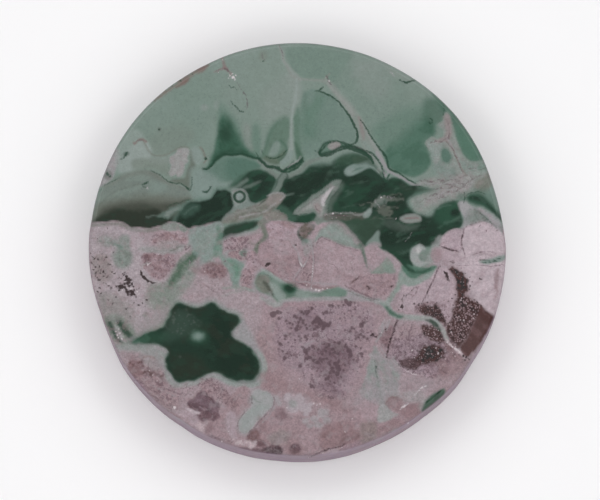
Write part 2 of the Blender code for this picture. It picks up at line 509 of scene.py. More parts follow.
def draw_upper_middle(c):
    # soft hazy ground at the top
    c.patch("haze", [(226, 60, 10), (258, 48, 6), (282, 50, 6), (292, 80, 6), (288, 112, 8), (262, 122, 10), (236, 118, 10), (222, 96, 10)], strength=0.5)
    c.blob("olive>haze:0.3", 263, 55, 4, 5, turn=30, soft=2.4, strength=0.5, rough=1.6)
    c.patch("celadon>sage:0.55", [(286, 48), (300, 44), (330, 45), (352, 50), (346, 66), (336, 80), (322, 78), (302, 77), (292, 68), (287, 58)], soft=2.5, strength=0.75)
    c.patch("haze>silver:0.15", [(284, 74, 4), (300, 78, 2.5), (300, 94, 3), (296, 106, 3), (290, 116, 5), (268, 122, 9), (262, 96, 10), (276, 82, 8)], strength=0.75)
    # the green flame and the calm tongue under it
    c.patch("sage>green:0.5", [(219, 104, 5), (224, 106, 6), (231, 114, 7), (239, 126, 7), (246, 140, 7), (256, 150, 5), (262, 157, 3), (256, 160, 2), (214, 168, 3), (205, 168, 2.5), (210, 158, 3), (214, 146, 3), (216.5, 132, 3), (217, 116, 4)], strength=0.85)
    m = c.patch("fresh>flame:0.45", [(222, 114, 4), (228, 117, 6), (235, 127, 6), (241, 138, 5), (247, 148, 4.5), (256, 154.5, 2.5), (262, 158.5, 1.6), (254, 158, 1.2), (240, 154.5, 1), (226, 155, 1), (219, 159, 1.2), (213.5, 164.5, 1.4), (207, 168.5, 1.4), (210.5, 160, 2), (214.5, 149, 2.2), (217.3, 136, 2.4), (218.5, 124, 3)], rough=1.8, wave=12)
    c.patch("flame", [(221, 120, 3), (228, 122, 5), (233, 132, 5), (238, 143, 5), (248, 152, 3), (236, 153, 2), (224, 154, 2), (216, 159, 2), (213, 163, 2), (216, 150, 3), (219, 136, 3)], strength=0.7)
    c.veil(m, "deep", size=5, share=0.45, turn=60, stretch=2.4, seed=11)
    c.veil(m, "fresh", size=5, share=0.4, turn=60, stretch=2.4, seed=12)
    c.blob("deep>black:0.2", 225.5, 133, 6, 8.5, soft=5, strength=0.85)
    c.vein("deep", [(214, 160, 3), (219, 155, 4), (228, 151.5, 4), (238, 151, 3.6), (248, 153.5, 2.4)], soft=2.2, strength=0.6)
    c.patch("sage>teal:0.5", [(203, 170, 3), (212, 168, 2), (218, 162, 1.6), (226, 157, 1.2), (238, 157, 1.2), (250, 159, 1.2), (258, 162, 1.4), (262, 166, 2), (254, 170, 2.5), (246, 175, 3), (238, 180, 4), (226, 184, 5), (212, 184, 5)], strength=0.95)
    c.patch("teal>fresh:0.35", [(228, 160, 5), (238, 158, 1.6), (250, 160, 1.4), (258, 163, 1.6), (260, 167, 2), (250, 171, 3), (242, 176, 4), (232, 180, 5), (226, 172, 6)], strength=0.8)
    c.patch("mint>haze:0.2", [(193, 188, 3), (196, 174, 4), (206, 171, 4), (212, 174, 5), (222, 181, 4), (234, 182, 3), (246, 180, 2), (240, 187, 2), (228, 187, 2), (218, 188, 2), (210, 197, 2), (196, 199, 2)], strength=0.8)
    border = [(203, 168.5), (207, 168.5), (211, 165.5), (214, 161.5), (218, 157.2), (222, 154.8), (226, 154), (230, 154.6), (236, 153.6), (242, 154), (248, 155.6), (254, 157.6), (259, 159)]
    c.vein("deep", border, width=1.9, soft=0.9, strength=0.92, rough=0.6)
    # lower middle: soft folds of green
    c.patch("haze>pink:0.25", [(244, 124, 4), (250, 126, 3), (254, 138, 3), (254, 150, 3), (248, 148, 3), (243, 136, 4)], strength=0.55)
    c.patch("green>sage:0.4", [(252, 128, 4), (256, 123, 5), (260, 130, 4), (261, 145, 3), (259, 156, 2.4), (254, 152, 3), (251, 140, 4)], strength=0.85)
    c.patch("green>moss:0.35", [(262, 157, 2), (264, 148, 3), (266, 138, 4), (270, 128, 5), (276, 121, 5), (284, 116, 4), (289, 120, 2), (289, 135, 2), (286, 150, 2), (288, 157, 2), (284, 162, 2), (276, 163.5, 2), (268, 161.5, 1.6)], strength=0.85)
    c.patch("haze>mint:0.4", [(268.5, 154), (271, 147), (274, 142.5), (278, 141), (280, 145), (279, 151), (275, 154.5), (271, 156)], soft=1.6, strength=0.85)
    c.patch("moss>olive:0.3", [(262.5, 157.5), (268, 156), (275, 156.5), (281, 153), (285, 150), (287, 155), (283, 160), (279, 163.5), (272, 164), (266, 161.5)], soft=1.5, strength=0.8)
    c.vein("flame>green:0.45", [(262, 156), (265, 148), (268, 138), (272, 129), (278, 122)], width=2.4, soft=1.8, strength=0.55)
    c.vein("flame>green:0.4", [(281, 140), (286, 146), (287, 152), (284, 157), (279, 160)], width=2.2, soft=1.3, strength=0.7)
    # right of the pale seam
    c.patch("green>moss:0.25", [(294, 112, 1.6), (298, 104, 2), (301, 118, 2), (300.5, 136, 2), (302, 150, 2), (305, 158, 2.4), (302, 165, 2), (297, 161, 1.6), (294.5, 150, 1.4), (293.8, 132, 1.4)], strength=0.92)
    c.patch("flame>moss:0.4", [(295, 142, 2), (299, 148, 2), (303, 155, 2), (301, 163, 2), (297, 158, 2)], strength=0.75)
    c.patch("sage>green:0.35", [(302, 96, 3), (310, 89, 2), (320, 91, 1.5), (332, 96, 1.5), (338, 104, 1.5), (336, 130, 6), (330, 142, 4), (318, 150, 4), (306, 156, 4), (300, 140, 3), (300, 116, 3)], strength=0.9)
    m = c.patch("green", [(303, 118, 5), (308, 104, 5), (318, 96, 4), (326, 100, 6), (322, 124, 8), (312, 136, 6), (303, 134, 4)], strength=0.6)
    c.veil(m, "teal", size=8, share=0.5, turn=70, stretch=2.0, seed=13)
    c.patch("sage>mint:0.2", [(326, 98, 5), (336, 102, 1.5), (345, 111, 1.5), (352, 122, 1.5), (356, 132, 1.5), (356, 140, 1.5), (350, 143, 1.5), (340, 141, 2), (330, 142, 3), (320, 140, 7), (318, 118, 8)], strength=0.85)
    c.patch("sage>mint:0.3", [(303, 148, 5), (312, 142, 5), (322, 142, 3), (319, 152, 2), (322, 158, 2), (314, 160, 3), (306, 158, 3)], strength=0.7)
    c.blob("mint", 311, 96, 3, 7, turn=10, soft=3, strength=0.4)
    # ground right of the seam, up to the rim
    c.patch("haze>sage:0.5", [(336, 82, 4), (352, 60, 6), (380, 64, 8), (404, 84, 8), (404, 120, 10), (384, 140, 4), (372, 136, 2), (364, 120, 2), (350, 98, 2), (342, 88, 2)], strength=0.7)
    c.patch("haze>silver:0.2", [(352, 60, 4), (368, 58, 4), (384, 66, 6), (392, 82, 8), (384, 98, 9), (364, 92, 8), (356, 76, 6)], strength=0.6)
    c.patch("sage>green:0.4", [(372, 130, 6), (390, 116, 8), (410, 106, 8), (426, 108, 8), (434, 128, 6), (428, 146, 3), (430, 165, 3), (414, 178, 2), (396, 172, 2), (386, 162, 1.5), (382, 150, 1.5)], strength=0.9)
    m = c.patch("fresh", [(384, 152, 4), (400, 138, 8), (416, 122, 8), (430, 120, 5), (436, 132, 4), (428, 146, 2.5), (431, 164, 2.5), (418, 176, 2), (402, 174, 2), (388, 165, 2)], strength=0.9)
    c.veil(m, "flame", size=8, share=0.35, turn=-30, stretch=1.8, seed=14)
    c.patch("flame>fresh:0.35", [(424, 100, 5), (436, 98, 4), (445, 106, 3), (444, 118, 2.5), (436, 126, 3), (430, 134, 4), (424, 122, 5)], strength=0.65)
    c.patch("fresh>flame:0.35", [(432, 92, 3), (444, 102, 2), (456, 114, 2), (468, 130, 2), (478, 146, 2), (484, 158, 2), (474, 162, 2), (464, 156, 2), (457, 140, 2), (452, 124, 2), (444, 112, 2)], strength=0.85)
    c.patch("fresh>jade:0.3", [(456, 124, 3), (466, 130, 3), (476, 146, 3), (482, 158, 2), (472, 161, 2), (463, 152, 3), (457, 138, 3)], strength=0.75)
    c.patch("haze>silver:0.2", [(370, 60, 2.5), (386, 62, 2.5), (372, 70, 3), (352, 78, 3), (352, 72, 3)], strength=0.4)
    c.patch("haze>cream:0.4", [(384, 60, 3), (396, 68, 3), (410, 76, 3), (416, 82, 3), (404, 80, 2.5), (394, 76, 3), (386, 70, 3)], strength=0.55)
    c.vein("silver", [(391, 71), (392.5, 72.5), (394.5, 75)], width=1.2, soft=0.7, strength=0.6)


def draw_seams(c):
    """The pale seams of the green half, with their fine dark borders."""
    c.vein("haze>silver:0.25", [(286, 72, 2), (292, 80, 8), (297, 90, 9), (296, 102, 7), (293, 112, 4)], soft=3, strength=0.7)
    c.vein("haze>silver:0.35", [(279, 45, 2), (283, 52, 3), (283, 58, 3), (287, 65, 3.5), (292, 71, 4.5), (297, 77, 5), (300, 79, 4)], soft=1.4, strength=0.8)
    c.vein("cream>haze:0.3", [(279, 45, 1.2), (283, 58, 1.5), (287, 66, 1.5), (291, 74, 1.8), (297, 78, 2.2), (306, 79, 1.8), (316, 79.3, 1.8), (325, 80, 2.4)], soft=0.8, strength=0.8)
    c.vein("milk>haze:0.3", [(297, 78, 1.8), (296.5, 88, 2.4), (295.5, 98, 2.6), (293, 108, 2.2), (291.5, 118, 2.0), (291.3, 130, 2.2), (291.5, 142, 2.8), (291, 149, 3.6), (289, 155, 4.4), (286, 160, 4.2), (281.5, 162.5, 3)], soft=0.8, strength=0.9)
    # the broad pale seam that bends round the right-hand pane
    c.vein("haze>cream:0.35", [(322, 80, 3), (328, 82, 5), (334, 88, 6.5), (340, 96, 7), (347, 104, 8), (353, 112, 8.5), (358, 121, 10), (363, 132, 11), (367, 143, 11), (374, 153, 10), (380, 162, 9)], soft=1.2, strength=0.95)
    c.vein("pearl>cream:0.4", [(328, 83, 2), (340, 97, 3), (347, 105, 4), (353, 114, 4.5)], soft=1.6, strength=0.7)
    c.vein("clay>haze:0.35", [(359, 117, 2.5), (361.5, 125, 4), (363, 133, 4.2), (364, 139, 2)], soft=1.5, strength=0.7)
    c.vein("pearl>cream:0.5", [(366, 130, 1.4), (371, 139, 2.4), (377, 149, 3), (382, 158, 3), (386, 166, 2.4)], soft=1.2, strength=0.75)
    c.vein("mint>haze:0.3", [(364, 142, 3), (370, 149, 4), (376, 156, 3.5), (381, 163, 3)], soft=1.3, strength=0.5)
    c.vein("clay>haze:0.4", [(325, 79, 1.5), (327, 76, 1.5), (330, 73, 1)], soft=0.8, strength=0.5)
    # the lens under the pane
    lens = [(318.5, 152, 0.9), (320, 147, 0.9), (325, 142, 0.9), (331, 140.5, 0.9), (340, 141, 0.9), (350, 144, 0.9), (357, 146.5, 0.9), (350, 147, 0.9), (340, 148, 0.9), (334, 151, 0.9), (326, 154, 0.9), (320, 155, 0.9)]
    c.patch("bottle>flame:0.4", lens, strength=0.95)
    c.patch("green>sage:0.3", lens, grow=-2.4, strength=0.9)
    c.patch("pearl>clay:0.3", [(328, 147.5), (329.5, 143.5), (334, 141.8), (339, 142.2), (341, 145), (338, 147.5), (332, 149.2)], soft=1.1, strength=0.9, kind="halo")
    # eyes and pockets at the foot of the pale seam
    c.patch("mint>haze:0.3", [(291, 150), (294, 153), (291, 158.5), (287, 163), (282, 165), (280, 162), (284, 158), (287, 153)], soft=1.2, strength=0.85)
    c.patch("flame>moss:0.4", [(284, 171.5, 1.2), (288, 167, 1.2), (293, 161, 1.2), (296, 163, 1.2), (302, 158, 1.2), (303, 162, 1.2), (298, 168, 1.2), (291, 172, 1.2)], strength=0.85)
    scallops = [(259, 159, 2), (263, 161.5, 2.6), (266, 165, 2.6), (270, 167, 2.4), (275, 168, 2.2), (280, 170, 2.6), (283.5, 171, 2.6), (287, 168, 2.2), (292, 166, 2.0), (297, 164, 2.2), (301, 161, 2.0), (303, 158, 1.2)]
    c.vein("bottle>black:0.3", scallops, soft=0.9, strength=0.9, rough=1.0, wave=5)
    c.vein("milk", [(290, 166, 0.8), (293, 163.5, 1.2), (297, 161, 1.2), (300, 158.6, 1.0), (301.5, 156, 0.7)], soft=0.7, strength=0.7)


def draw_dark_band(c):
    """The bottle-green to black masses through the middle."""
    dark = "black"
    # left mass
    left = [(184, 208, 2), (188, 203, 2), (196, 201, 1.5), (206, 200, 1.5), (212, 197, 1.4), (215, 191, 1.4), (220, 189.5, 1.4), (227, 189.5, 1.4), (231, 193, 1.4), (233, 200, 1.2), (234, 207, 1.2), (231, 212, 1.2), (228, 217, 1.2), (224, 221, 1.6), (212, 224, 2), (200, 229, 2), (184, 230, 3), (176, 226, 3), (176, 218, 3)]
    c.patch("teal>sage:0.4", [p[:2] + (3.5,) for p in left], grow=2.0, rough=1.8, strength=0.75)
    m = c.patch(dark, left, rough=2.0, wave=6)
    c.veil(m, "bottle", size=5, share=0.8, turn=-25, stretch=2.4, seed=3)
    c.patch("bottle>teal:0.35", [(180, 212), (186, 206), (196, 203), (200, 208), (192, 215), (182, 217)], soft=3, strength=0.7, rough=3, wave=6)
    c.vein("teal>stone:0.3", [(184, 214), (190, 209), (198, 206)], width=1.2, soft=1.0, strength=0.45, rough=2)
    # middle mass
    middle = [(243, 178, 1.6), (248, 173, 1.6), (254, 170.5, 1.4), (261, 170, 1.3), (268, 172, 1.3), (274, 175.5, 1.3), (276, 180, 1.3), (273.5, 187, 1.3), (270, 193, 1.3), (264, 199, 1.3), (257, 202.5, 1.2), (252, 203.5, 1.2), (248, 200, 1.2), (244, 194, 1.2), (240, 189, 1.6), (234, 186, 2), (240, 182, 2)]
    c.patch("flame>sage:0.4", [p[:2] + (3.5,) for p in middle], grow=1.8, rough=1.6, strength=0.7)
    c.patch("flame>deep:0.3", [(228, 188, 3), (233, 181, 3), (239, 177, 3), (246, 173, 3), (254, 170.5, 2), (262, 170, 2), (258, 180, 4), (246, 188, 3), (238, 190, 3)], strength=0.75)
    m = c.patch("bottle", middle, rough=1.6)
    c.patch(dark, [(250, 178, 3), (258, 174, 3), (266, 175, 3), (271, 180, 3), (268, 188, 3), (260, 194, 4), (252, 196, 3), (248, 188, 3)], strength=0.75)
    c.veil(m, "deep>flame:0.5", size=5, share=0.6, turn=-20, stretch=2.2, seed=4)
    c.vein("sage>stone:0.5", [(229, 189, 3), (236, 186.5, 3.4), (242, 183, 4), (246.5, 179.5, 2.6)], soft=1.6, rough=1.4, strength=0.75)
    c.vein("sage>stone:0.5", [(243, 188, 2.2), (249, 186, 3.2), (255, 183.8, 2.6), (261, 181.5, 1.0)], soft=1.4, rough=1.4, strength=0.6)
    # right-hand mass, from the net of seams to the far dark tail
    right = [(281, 178, 1.4), (286, 176.5, 1.4), (294, 176, 1.4), (301, 173, 1.6), (307, 168, 2), (313, 165, 3), (322, 164, 4), (330, 164, 4), (338, 159, 4), (350, 154, 4), (358, 154, 3), (364, 156, 2), (370, 161, 1.6), (372, 168, 1.4), (380, 174, 1.4), (386, 180, 1.4), (392, 178, 1.4), (399, 178, 1.3), (405, 182, 1.3), (411, 185.5, 1.4), (420, 184, 1.6), (425, 187, 2), (420, 192, 2.6), (413, 196, 2.6), (409, 198, 2.4), (407, 204, 2.8), (412, 210, 3), (420, 213, 2.6), (427, 217, 2.4), (433, 216, 2.4), (436, 209, 2.4), (442, 203, 2.4), (450, 200, 2.4), (457, 200, 2), (461, 204, 1.4), (460, 210, 1.4), (461.5, 216, 1.4), (463, 222, 1.4), (460, 228, 1.2), (455, 229, 1.2), (450, 231, 1.2), (445, 233, 1.2), (441, 238, 1.2), (437, 243, 1.4), (430, 246, 1.6), (424, 246.5, 1.6), (418, 245, 1.6), (412, 247, 1.6), (409, 256, 1.5), (413, 266, 1.5), (408, 269, 1.6), (402, 264, 1.6), (394, 256, 1.6), (386, 251, 1.8), (380, 247, 2), (376, 242, 2), (371, 240, 3), (366, 246, 5), (360, 244, 8), (354, 237, 10), (348, 229, 12), (342, 222, 10), (334, 217, 5), (327, 213, 2.4), (326, 206, 1.4), (329, 199, 1.2), (334, 193, 1.2), (338, 187, 1.2), (340, 181, 1.2), (336, 180, 1.2), (329, 184.5, 1.2), (322, 190, 1.2), (316, 193.5, 1.2), (310, 197.5, 1.2), (304, 202.5, 1.2), (297, 208, 1.2), (294, 212, 1.2), (298, 214.5, 1.2), (305, 215, 1.6), (312, 213, 2), (317, 215, 2), (315, 221, 2), (308, 223.5, 1.6), (300, 224, 1.4), (293, 222.5, 1.3), (288, 219.5, 1.3), (284, 215, 1.3), (278, 211, 1.3), (276, 207, 1.3), (280, 201, 1.3), (284, 196, 1.3), (280, 192, 1.3), (278, 186, 1.3)]
    c.patch("teal>sage:0.5", [p[:2] + (3.6,) for p in right], grow=1.8, rough=1.6, strength=0.7)
    m = c.patch("bottle", right, rough=1.4, wave=10)
    c.patch(dark, [(284, 184, 4), (292, 180, 3), (302, 177, 3), (312, 172, 4), (326, 170, 4), (334, 172, 4), (330, 178, 4), (318, 186, 3), (306, 194, 3), (296, 202, 3), (288, 212, 3), (282, 206, 3), (287, 196, 3)], strength=0.95)
    c.patch(dark, [(342, 176, 4), (360, 174, 5), (380, 184, 4), (398, 186, 4), (404, 196, 4), (398, 206, 4), (384, 204, 5), (366, 206, 5), (352, 200, 6), (346, 186, 5)], strength=0.65)
    c.patch("umber>black:0.3", [(380, 196, 4), (392, 192, 4), (402, 196, 4), (400, 208, 4), (390, 214, 4), (382, 208, 4)], strength=0.75)
    c.patch(dark, [(372, 226, 6), (392, 226, 6), (412, 230, 5), (430, 232, 4), (436, 238, 3), (424, 244, 3), (404, 244, 4), (386, 246, 4), (374, 238, 5)], strength=0.8)
    c.patch(dark, [(420, 218, 4), (436, 216, 4), (446, 222, 4), (442, 232, 3), (430, 240, 3), (416, 238, 4)], strength=0.55)
    c.patch("deep", [(344, 186, 6), (358, 182, 6), (366, 196, 6), (360, 210, 4), (344, 211, 3), (332, 210, 3), (332, 200, 4)], strength=0.55)
    c.veil(m, "deep", size=6, share=0.7, turn=-20, stretch=2.6, seed=5)
    c.veil(m, "flame>stone:0.3", size=4.5, share=0.45, turn=-20, stretch=3.0, seed=6, lo=0.16, hi=0.42)
    c.veil(m, dark, size=7, share=0.6, turn=-10, stretch=2.0, seed=7)
    c.patch(dark, [(286, 184, 3), (296, 179, 3), (308, 174, 3), (322, 171, 3), (328, 174, 3), (316, 184, 3), (304, 192, 3), (294, 202, 3), (286, 208, 3), (286, 196, 3)], strength=0.7)
    c.patch("flame>moss:0.4", [(335, 160, 3), (345, 154, 3), (357, 153, 3), (366, 158, 3), (356, 162, 4), (344, 164, 4)], strength=0.55)
    # dark-green loop with its black spot and streaks
    c.patch("flame>deep:0.4", [(436, 212, 3), (443, 204, 3), (452, 202, 2.6), (459, 203, 2), (459, 214, 2.6), (452, 224, 4), (440, 224, 4), (434, 219, 4)], strength=0.8)
    c.blob(dark, 455, 213, 4.4, 4.0, soft=1.8, strength=0.9, rough=1.6)
    c.vein("sage>flame:0.5", [(445, 223), (452, 221), (459, 217)], width=1.6, soft=1.2, strength=0.5, rough=1.6)
    c.vein("sage>flame:0.4", [(438, 209), (444, 206), (451, 205)], width=1.4, soft=1.0, strength=0.5)
    c.patch("deep", [(300, 216, 2), (308, 214, 2), (316, 214, 2), (315, 221, 2), (307, 223, 1.5), (299, 222, 1.5)], strength=0.85)
    c.blob("flame>green:0.4", 315, 221.5, 3.4, 4.0, soft=1.6, strength=0.7, rough=1.5)
    c.patch("flame>green:0.35", [(276, 206, 1.6), (283, 205, 2.4), (290, 211, 2.4), (298, 218, 2), (292, 222, 1.6), (284, 218, 1.6)], strength=0.6)
    c.patch("flame>sage:0.35", [(418, 187, 2), (426, 187, 3), (438, 188, 3), (434, 192, 3), (424, 195, 3), (414, 196, 3)], strength=0.75)
    c.patch("umber", [(400, 183, 2), (412, 187, 3), (426, 188, 4), (440, 190, 3), (428, 191, 3), (412, 192, 3), (402, 190, 3)], strength=0.45)
    # cloudy, paler stuff in the mass
    web = [(364, 215, 2.2), (369, 211, 2.6), (373, 206, 2.6), (377, 201, 3.2), (383, 198.5, 2.6), (390, 200, 2.2), (397, 199, 1.8), (404, 200, 1)]
    c.vein("olive>stone:0.5", web, soft=1.6, rough=3.2, wave=5, strength=0.75)
    c.vein("milk>stone:0.4", [(363, 216, 1.4), (367, 212.5, 2.4), (371, 209, 1.8)], soft=1.0, rough=2, wave=4, strength=0.75)
    c.patch("stone>milk:0.3", [(375, 203), (381, 197), (387, 199), (385, 204), (379, 207)], soft=1.8, rough=5, wave=4, strength=0.6)
    c.patch("olive>stone:0.3", [(378, 210), (384, 206.5), (391, 210), (389, 216), (383, 217)], soft=1.8, rough=5, wave=4, strength=0.55)
    for line in ([(384, 205), (391, 208), (398, 207)], [(370, 219), (378, 217), (386, 219), (394, 218)], [(389, 196), (396, 194), (402, 195)], [(360, 206), (366, 204), (372, 203)]):
        c.vein("olive>stone:0.4", line, width=1.0, soft=0.9, rough=2.4, wave=5, strength=0.5)
    # the mass fades to mint at its lower left
    c.patch("bottle>moss:0.4", [(330, 214, 3), (350, 216, 4), (376, 216, 5), (384, 224, 6), (374, 238, 6), (366, 246, 4), (352, 238, 8), (340, 226, 8)], strength=0.6)
    c.patch("bottle>stone:0.35", [(384, 222, 3), (394, 218, 3), (398, 224, 3), (412, 228, 3), (406, 232, 3), (392, 230, 3)], strength=0.6, rough=3)
    # the bright small lens
    c.patch("pearl>stone:0.3", [(400, 218.5), (403, 215.5), (409, 213.5), (416, 214), (421, 217), (421, 220.5), (416, 222.5), (408, 222.5), (402, 221)], soft=1.1, strength=0.95)
    c.vein("rust>clay:0.4", [(404, 219, 1), (410, 217.6, 1.6), (417, 217.8, 1.4), (419, 219, 0.8)], soft=0.8, strength=0.7)
    c.patch("stone>bottle:0.6", [(397, 222), (404, 224), (414, 225), (420, 224), (416, 229), (406, 229), (398, 227)], soft=2, strength=0.65, rough=2)
    # the pale leaf
    c.patch("mint>sage:0.3", [(344, 172), (347, 167), (353, 164), (360, 162), (368, 160), (373, 161), (376, 165), (380, 169), (382, 174), (372, 168), (366, 169), (360, 172), (354, 175), (348, 176)], soft=1.1, strength=0.95)
    c.blob("mint>silver:0.25", 350.5, 171, 4.6, 3.2, turn=-22, soft=1.8, strength=0.7)
    c.vein("flame>sage:0.4", [(352, 172, 0.8), (358, 169, 1.4), (363, 167.5, 0.8)], soft=0.8, strength=0.7)
    c.blob("milk>white:0.3", 379, 170, 1.8, 3.0, turn=-20, soft=0.9, strength=0.85)
    # crest of dark under the seam, at the right of the leaf
    c.patch("bottle>moss:0.45", [(352, 158, 2), (362, 155, 2), (370, 158, 2), (376, 165, 2), (384, 174, 1.6), (380, 174, 1.6), (374, 167, 1.6), (366, 163, 2), (356, 164, 2)], strength=0.75)
    c.vein("pearl>stone:0.4", [(340, 143, 1), (350, 146, 1.6), (358, 147, 2), (366, 151, 2.2), (372, 156, 2.4), (378, 163, 2.2), (382, 168, 1.6)], soft=0.9, strength=0.7)
    c.vein("bottle>black:0.4", [(318, 152, 1.6), (323, 155, 2.4), (329, 154, 2.6), (334, 151, 2.8), (340, 147.5, 2.6), (347, 146.5, 2.6), (355, 147, 3), (362, 150, 3.4), (368, 154, 3.4), (373, 158, 3), (377, 162, 1.6)], soft=0.9, strength=0.9)


def draw_web(c):
    """Pale net through the dark band, the eye, and the grey swath."""
    # net at the top of the dark masses
    c.vein("stone>haze:0.35", [(258, 161.5, 2), (264, 165.5, 3.4), (268, 170, 3.6), (274, 174, 4), (280, 177, 4.4), (288, 176, 4), (296, 173, 3.6), (302, 168.5, 3.8), (306, 164, 4), (312, 161, 4), (320, 158, 3)], soft=1.0, strength=0.92, rough=1.2, wave=5)
    c.vein("stone>haze:0.5", [(264, 165.5, 1.2), (270, 171, 1.4), (280, 176.5, 1.6), (290, 175, 1.4), (300, 169.5, 1.2)], soft=0.8, strength=0.6, rough=1.2, wave=5)
    # stem down from the net
    c.vein("bottle", [(284, 176, 8.4), (281, 181, 8.4), (279, 187, 8.2), (276, 192, 8), (271, 197, 7)], soft=1.0, strength=0.75, rough=1.0)
    c.vein("stone>sage:0.4", [(284, 175, 5), (281, 180, 5.2), (279, 186, 5.2), (276, 191, 5), (271, 196, 4)], soft=0.9, strength=0.95, rough=1.0)
    c.vein("stone>sage:0.6", [(284, 196, 1.6), (289, 194.5, 1.8), (294, 193.5, 1)], soft=0.9, strength=0.6)
    # mint stem and the eye
    c.patch("stone>mint:0.5", [(231, 189), (236, 188), (243, 189), (247, 194), (250, 201), (256, 203), (262, 202), (256, 207), (246, 208), (240, 210), (234, 213), (229, 218), (224, 221), (222, 220), (227, 214), (232, 209), (234, 204), (233, 196)], soft=1.3, strength=0.95, kind="halo")
    c.blob("stone>milk:0.4", 239.5, 196.5, 8.0, 7.8, soft=1.2, strength=0.75)
    c.blob("bottle>black:0.3", 239.3, 196.7, 5.7, 5.7, soft=0.7, strength=0.95, rough=0.6)
    c.blob("mint>silver:0.15", 239.4, 196.4, 4.0, 4.0, soft=0.7, strength=0.97, rough=0.6)
    # grey swath below it
    swath = [(222, 222, 2), (228, 216, 1.6), (236, 210.5, 1.6), (246, 207.5, 1.6), (256, 204.5, 1.4), (263, 200, 1.4), (268, 196, 1.4), (274, 193, 1.4), (281, 193, 1.3), (285, 195.5, 1.3), (282, 200, 1.3), (278, 205, 1.3), (274, 210, 1.5), (268, 214, 2), (256, 218, 2), (244, 221, 2), (232, 224, 2)]
    m = c.patch("olive>bottle:0.12", swath, strength=0.95, kind="halo", rough=1.8, fabric=(0.35, 0, 0))
    c.veil(m, "cream", size=3.2, share=0.45, turn=-25, stretch=3.2, seed=21)
    c.veil(m, "bottle", size=3.0, share=0.35, turn=-25, stretch=3.5, seed=22, lo=0.1, hi=0.35)
    c.patch("cream>rust:0.3", [(265, 201), (268, 197), (274, 194), (281, 194), (283, 197), (280, 202), (274, 206), (268, 206)], soft=1.6, strength=0.8)
    c.vein("silver", [(268, 196), (274, 193), (281, 193), (285, 196), (280, 200)], width=1.5, soft=0.8, strength=0.7, rough=1.2, wave=4)
    c.vein("silver>cream:0.4", [(240, 217), (255, 214), (266, 211), (272, 206), (276, 203)], width=1.6, soft=0.8, strength=0.75, rough=1.4, wave=4)
    c.vein("bottle", [(258, 206, 0.8), (264, 201, 1.4), (268, 197, 0.8)], soft=0.7, strength=0.7)
    c.vein("cream>silver:0.3", [(226, 219, 2), (234, 214, 2.4), (244, 211, 2.4), (254, 209, 2)], soft=1.1, strength=0.5, rough=1.6)
    c.patch("olive>clay:0.35", [(264, 214), (272, 211), (280, 212), (287, 215), (286, 220), (278, 220), (270, 221), (264, 219)], soft=1.6, strength=0.7, rough=2.4, wave=4, kind="matrix", fabric=(0, 0.3, 0.6))
    # dark lens at the left foot of the swath
    lens = [(219, 237, 1.4), (222, 231, 1.4), (227, 227, 2.2), (235, 224, 2.6), (245, 222, 2.4), (254, 221, 2), (259.5, 222, 1.4), (255, 227, 1.2), (247, 231, 1.1), (238, 234, 1.1), (230, 237, 1.2), (222, 239, 1.3)]
    c.patch("teal>sage:0.4", [p[:2] + (3.0,) for p in lens], grow=1.4, strength=0.6)
    m = c.patch("bottle>umber:0.4", lens, strength=0.97, rough=1.4)
    c.veil(m, "deep", size=4, share=0.7, turn=-15, stretch=3.0, seed=23)
    c.patch("olive>stone:0.4", [(257, 224), (263, 219), (268, 222), (269, 230), (269, 236), (265, 241), (262, 247), (258, 253), (255, 256), (253, 250), (257, 244), (262, 238), (262, 230)], soft=1.4, strength=0.9, kind="halo", rough=1.8, wave=5)
    c.patch("olive>clay:0.3", [(248, 236), (256, 232), (262, 234), (260, 240), (256, 246), (250, 244)], soft=1.8, strength=0.5)
    # the pale wedge and its white core
    wedge = [(293.5, 213), (300, 205.5), (306, 201.5), (312, 196), (318, 192.8), (323, 189), (329, 184), (333, 180.8), (337, 178.8), (341, 180), (339, 187), (334, 193), (330, 198), (328, 204), (327, 210), (329, 214), (333, 216), (328, 220), (322, 222), (318, 225), (314, 221), (316, 214), (312, 211.5), (306, 213), (300, 214.5)]
    c.patch("stone>haze:0.3", wedge, soft=1.3, strength=0.95, kind="halo", rough=1.4, wave=5)
    c.patch("pearl>cream:0.4", [(300, 210), (305, 205.5), (311, 201), (317, 197.5), (323, 195), (326, 200), (324, 207), (323, 214), (319, 217), (318, 211), (312, 208.5), (306, 210)], soft=1.4, strength=0.85, rough=1.6, wave=4)
    c.patch("silver>white:0.35", [(321, 200), (324, 194), (328.5, 189.5), (333, 186.5), (335, 187), (332, 191.5), (328.5, 196), (325.5, 200), (323.5, 205), (321.5, 205)], soft=0.8, strength=0.95, rough=1.0)
    c.vein("bottle>deep:0.4", [(293, 210, 1.2), (300, 204, 1.6), (306, 200, 1.6), (312, 194, 1.6), (318, 191.5, 1.6), (324, 186.5, 1.6), (330, 181.5, 1.8), (336, 178.5, 1.6), (341, 179.5, 1.2)], soft=0.8, strength=0.9, rough=1.0, wave=6)
    c.vein("bottle>stone:0.2", [(298, 211, 0.8), (304, 206.5, 1.2), (311, 201.5, 1.2), (318, 196.8, 1.2), (324, 191.5, 1.0)], soft=0.8, strength=0.6, rough=1.0)
    c.vein("flame>stone:0.3", [(337, 183, 0.8), (335, 187, 1.2), (331, 192.5, 1.2), (327.5, 198, 1.2), (326, 204, 0.8)], soft=0.8, strength=0.85)
    c.patch("stone>flame:0.4", [(328, 200), (334, 194), (339, 187), (342, 182), (344, 186), (338, 196), (333, 204), (331, 212), (328, 212), (327, 206)], soft=2.6, strength=0.7)
    c.patch("clay>cream:0.4", [(313, 204), (319, 203), (321.5, 209), (320, 214), (315.5, 211)], soft=1.6, strength=0.6, fabric=(0, 0.3, 0.6))
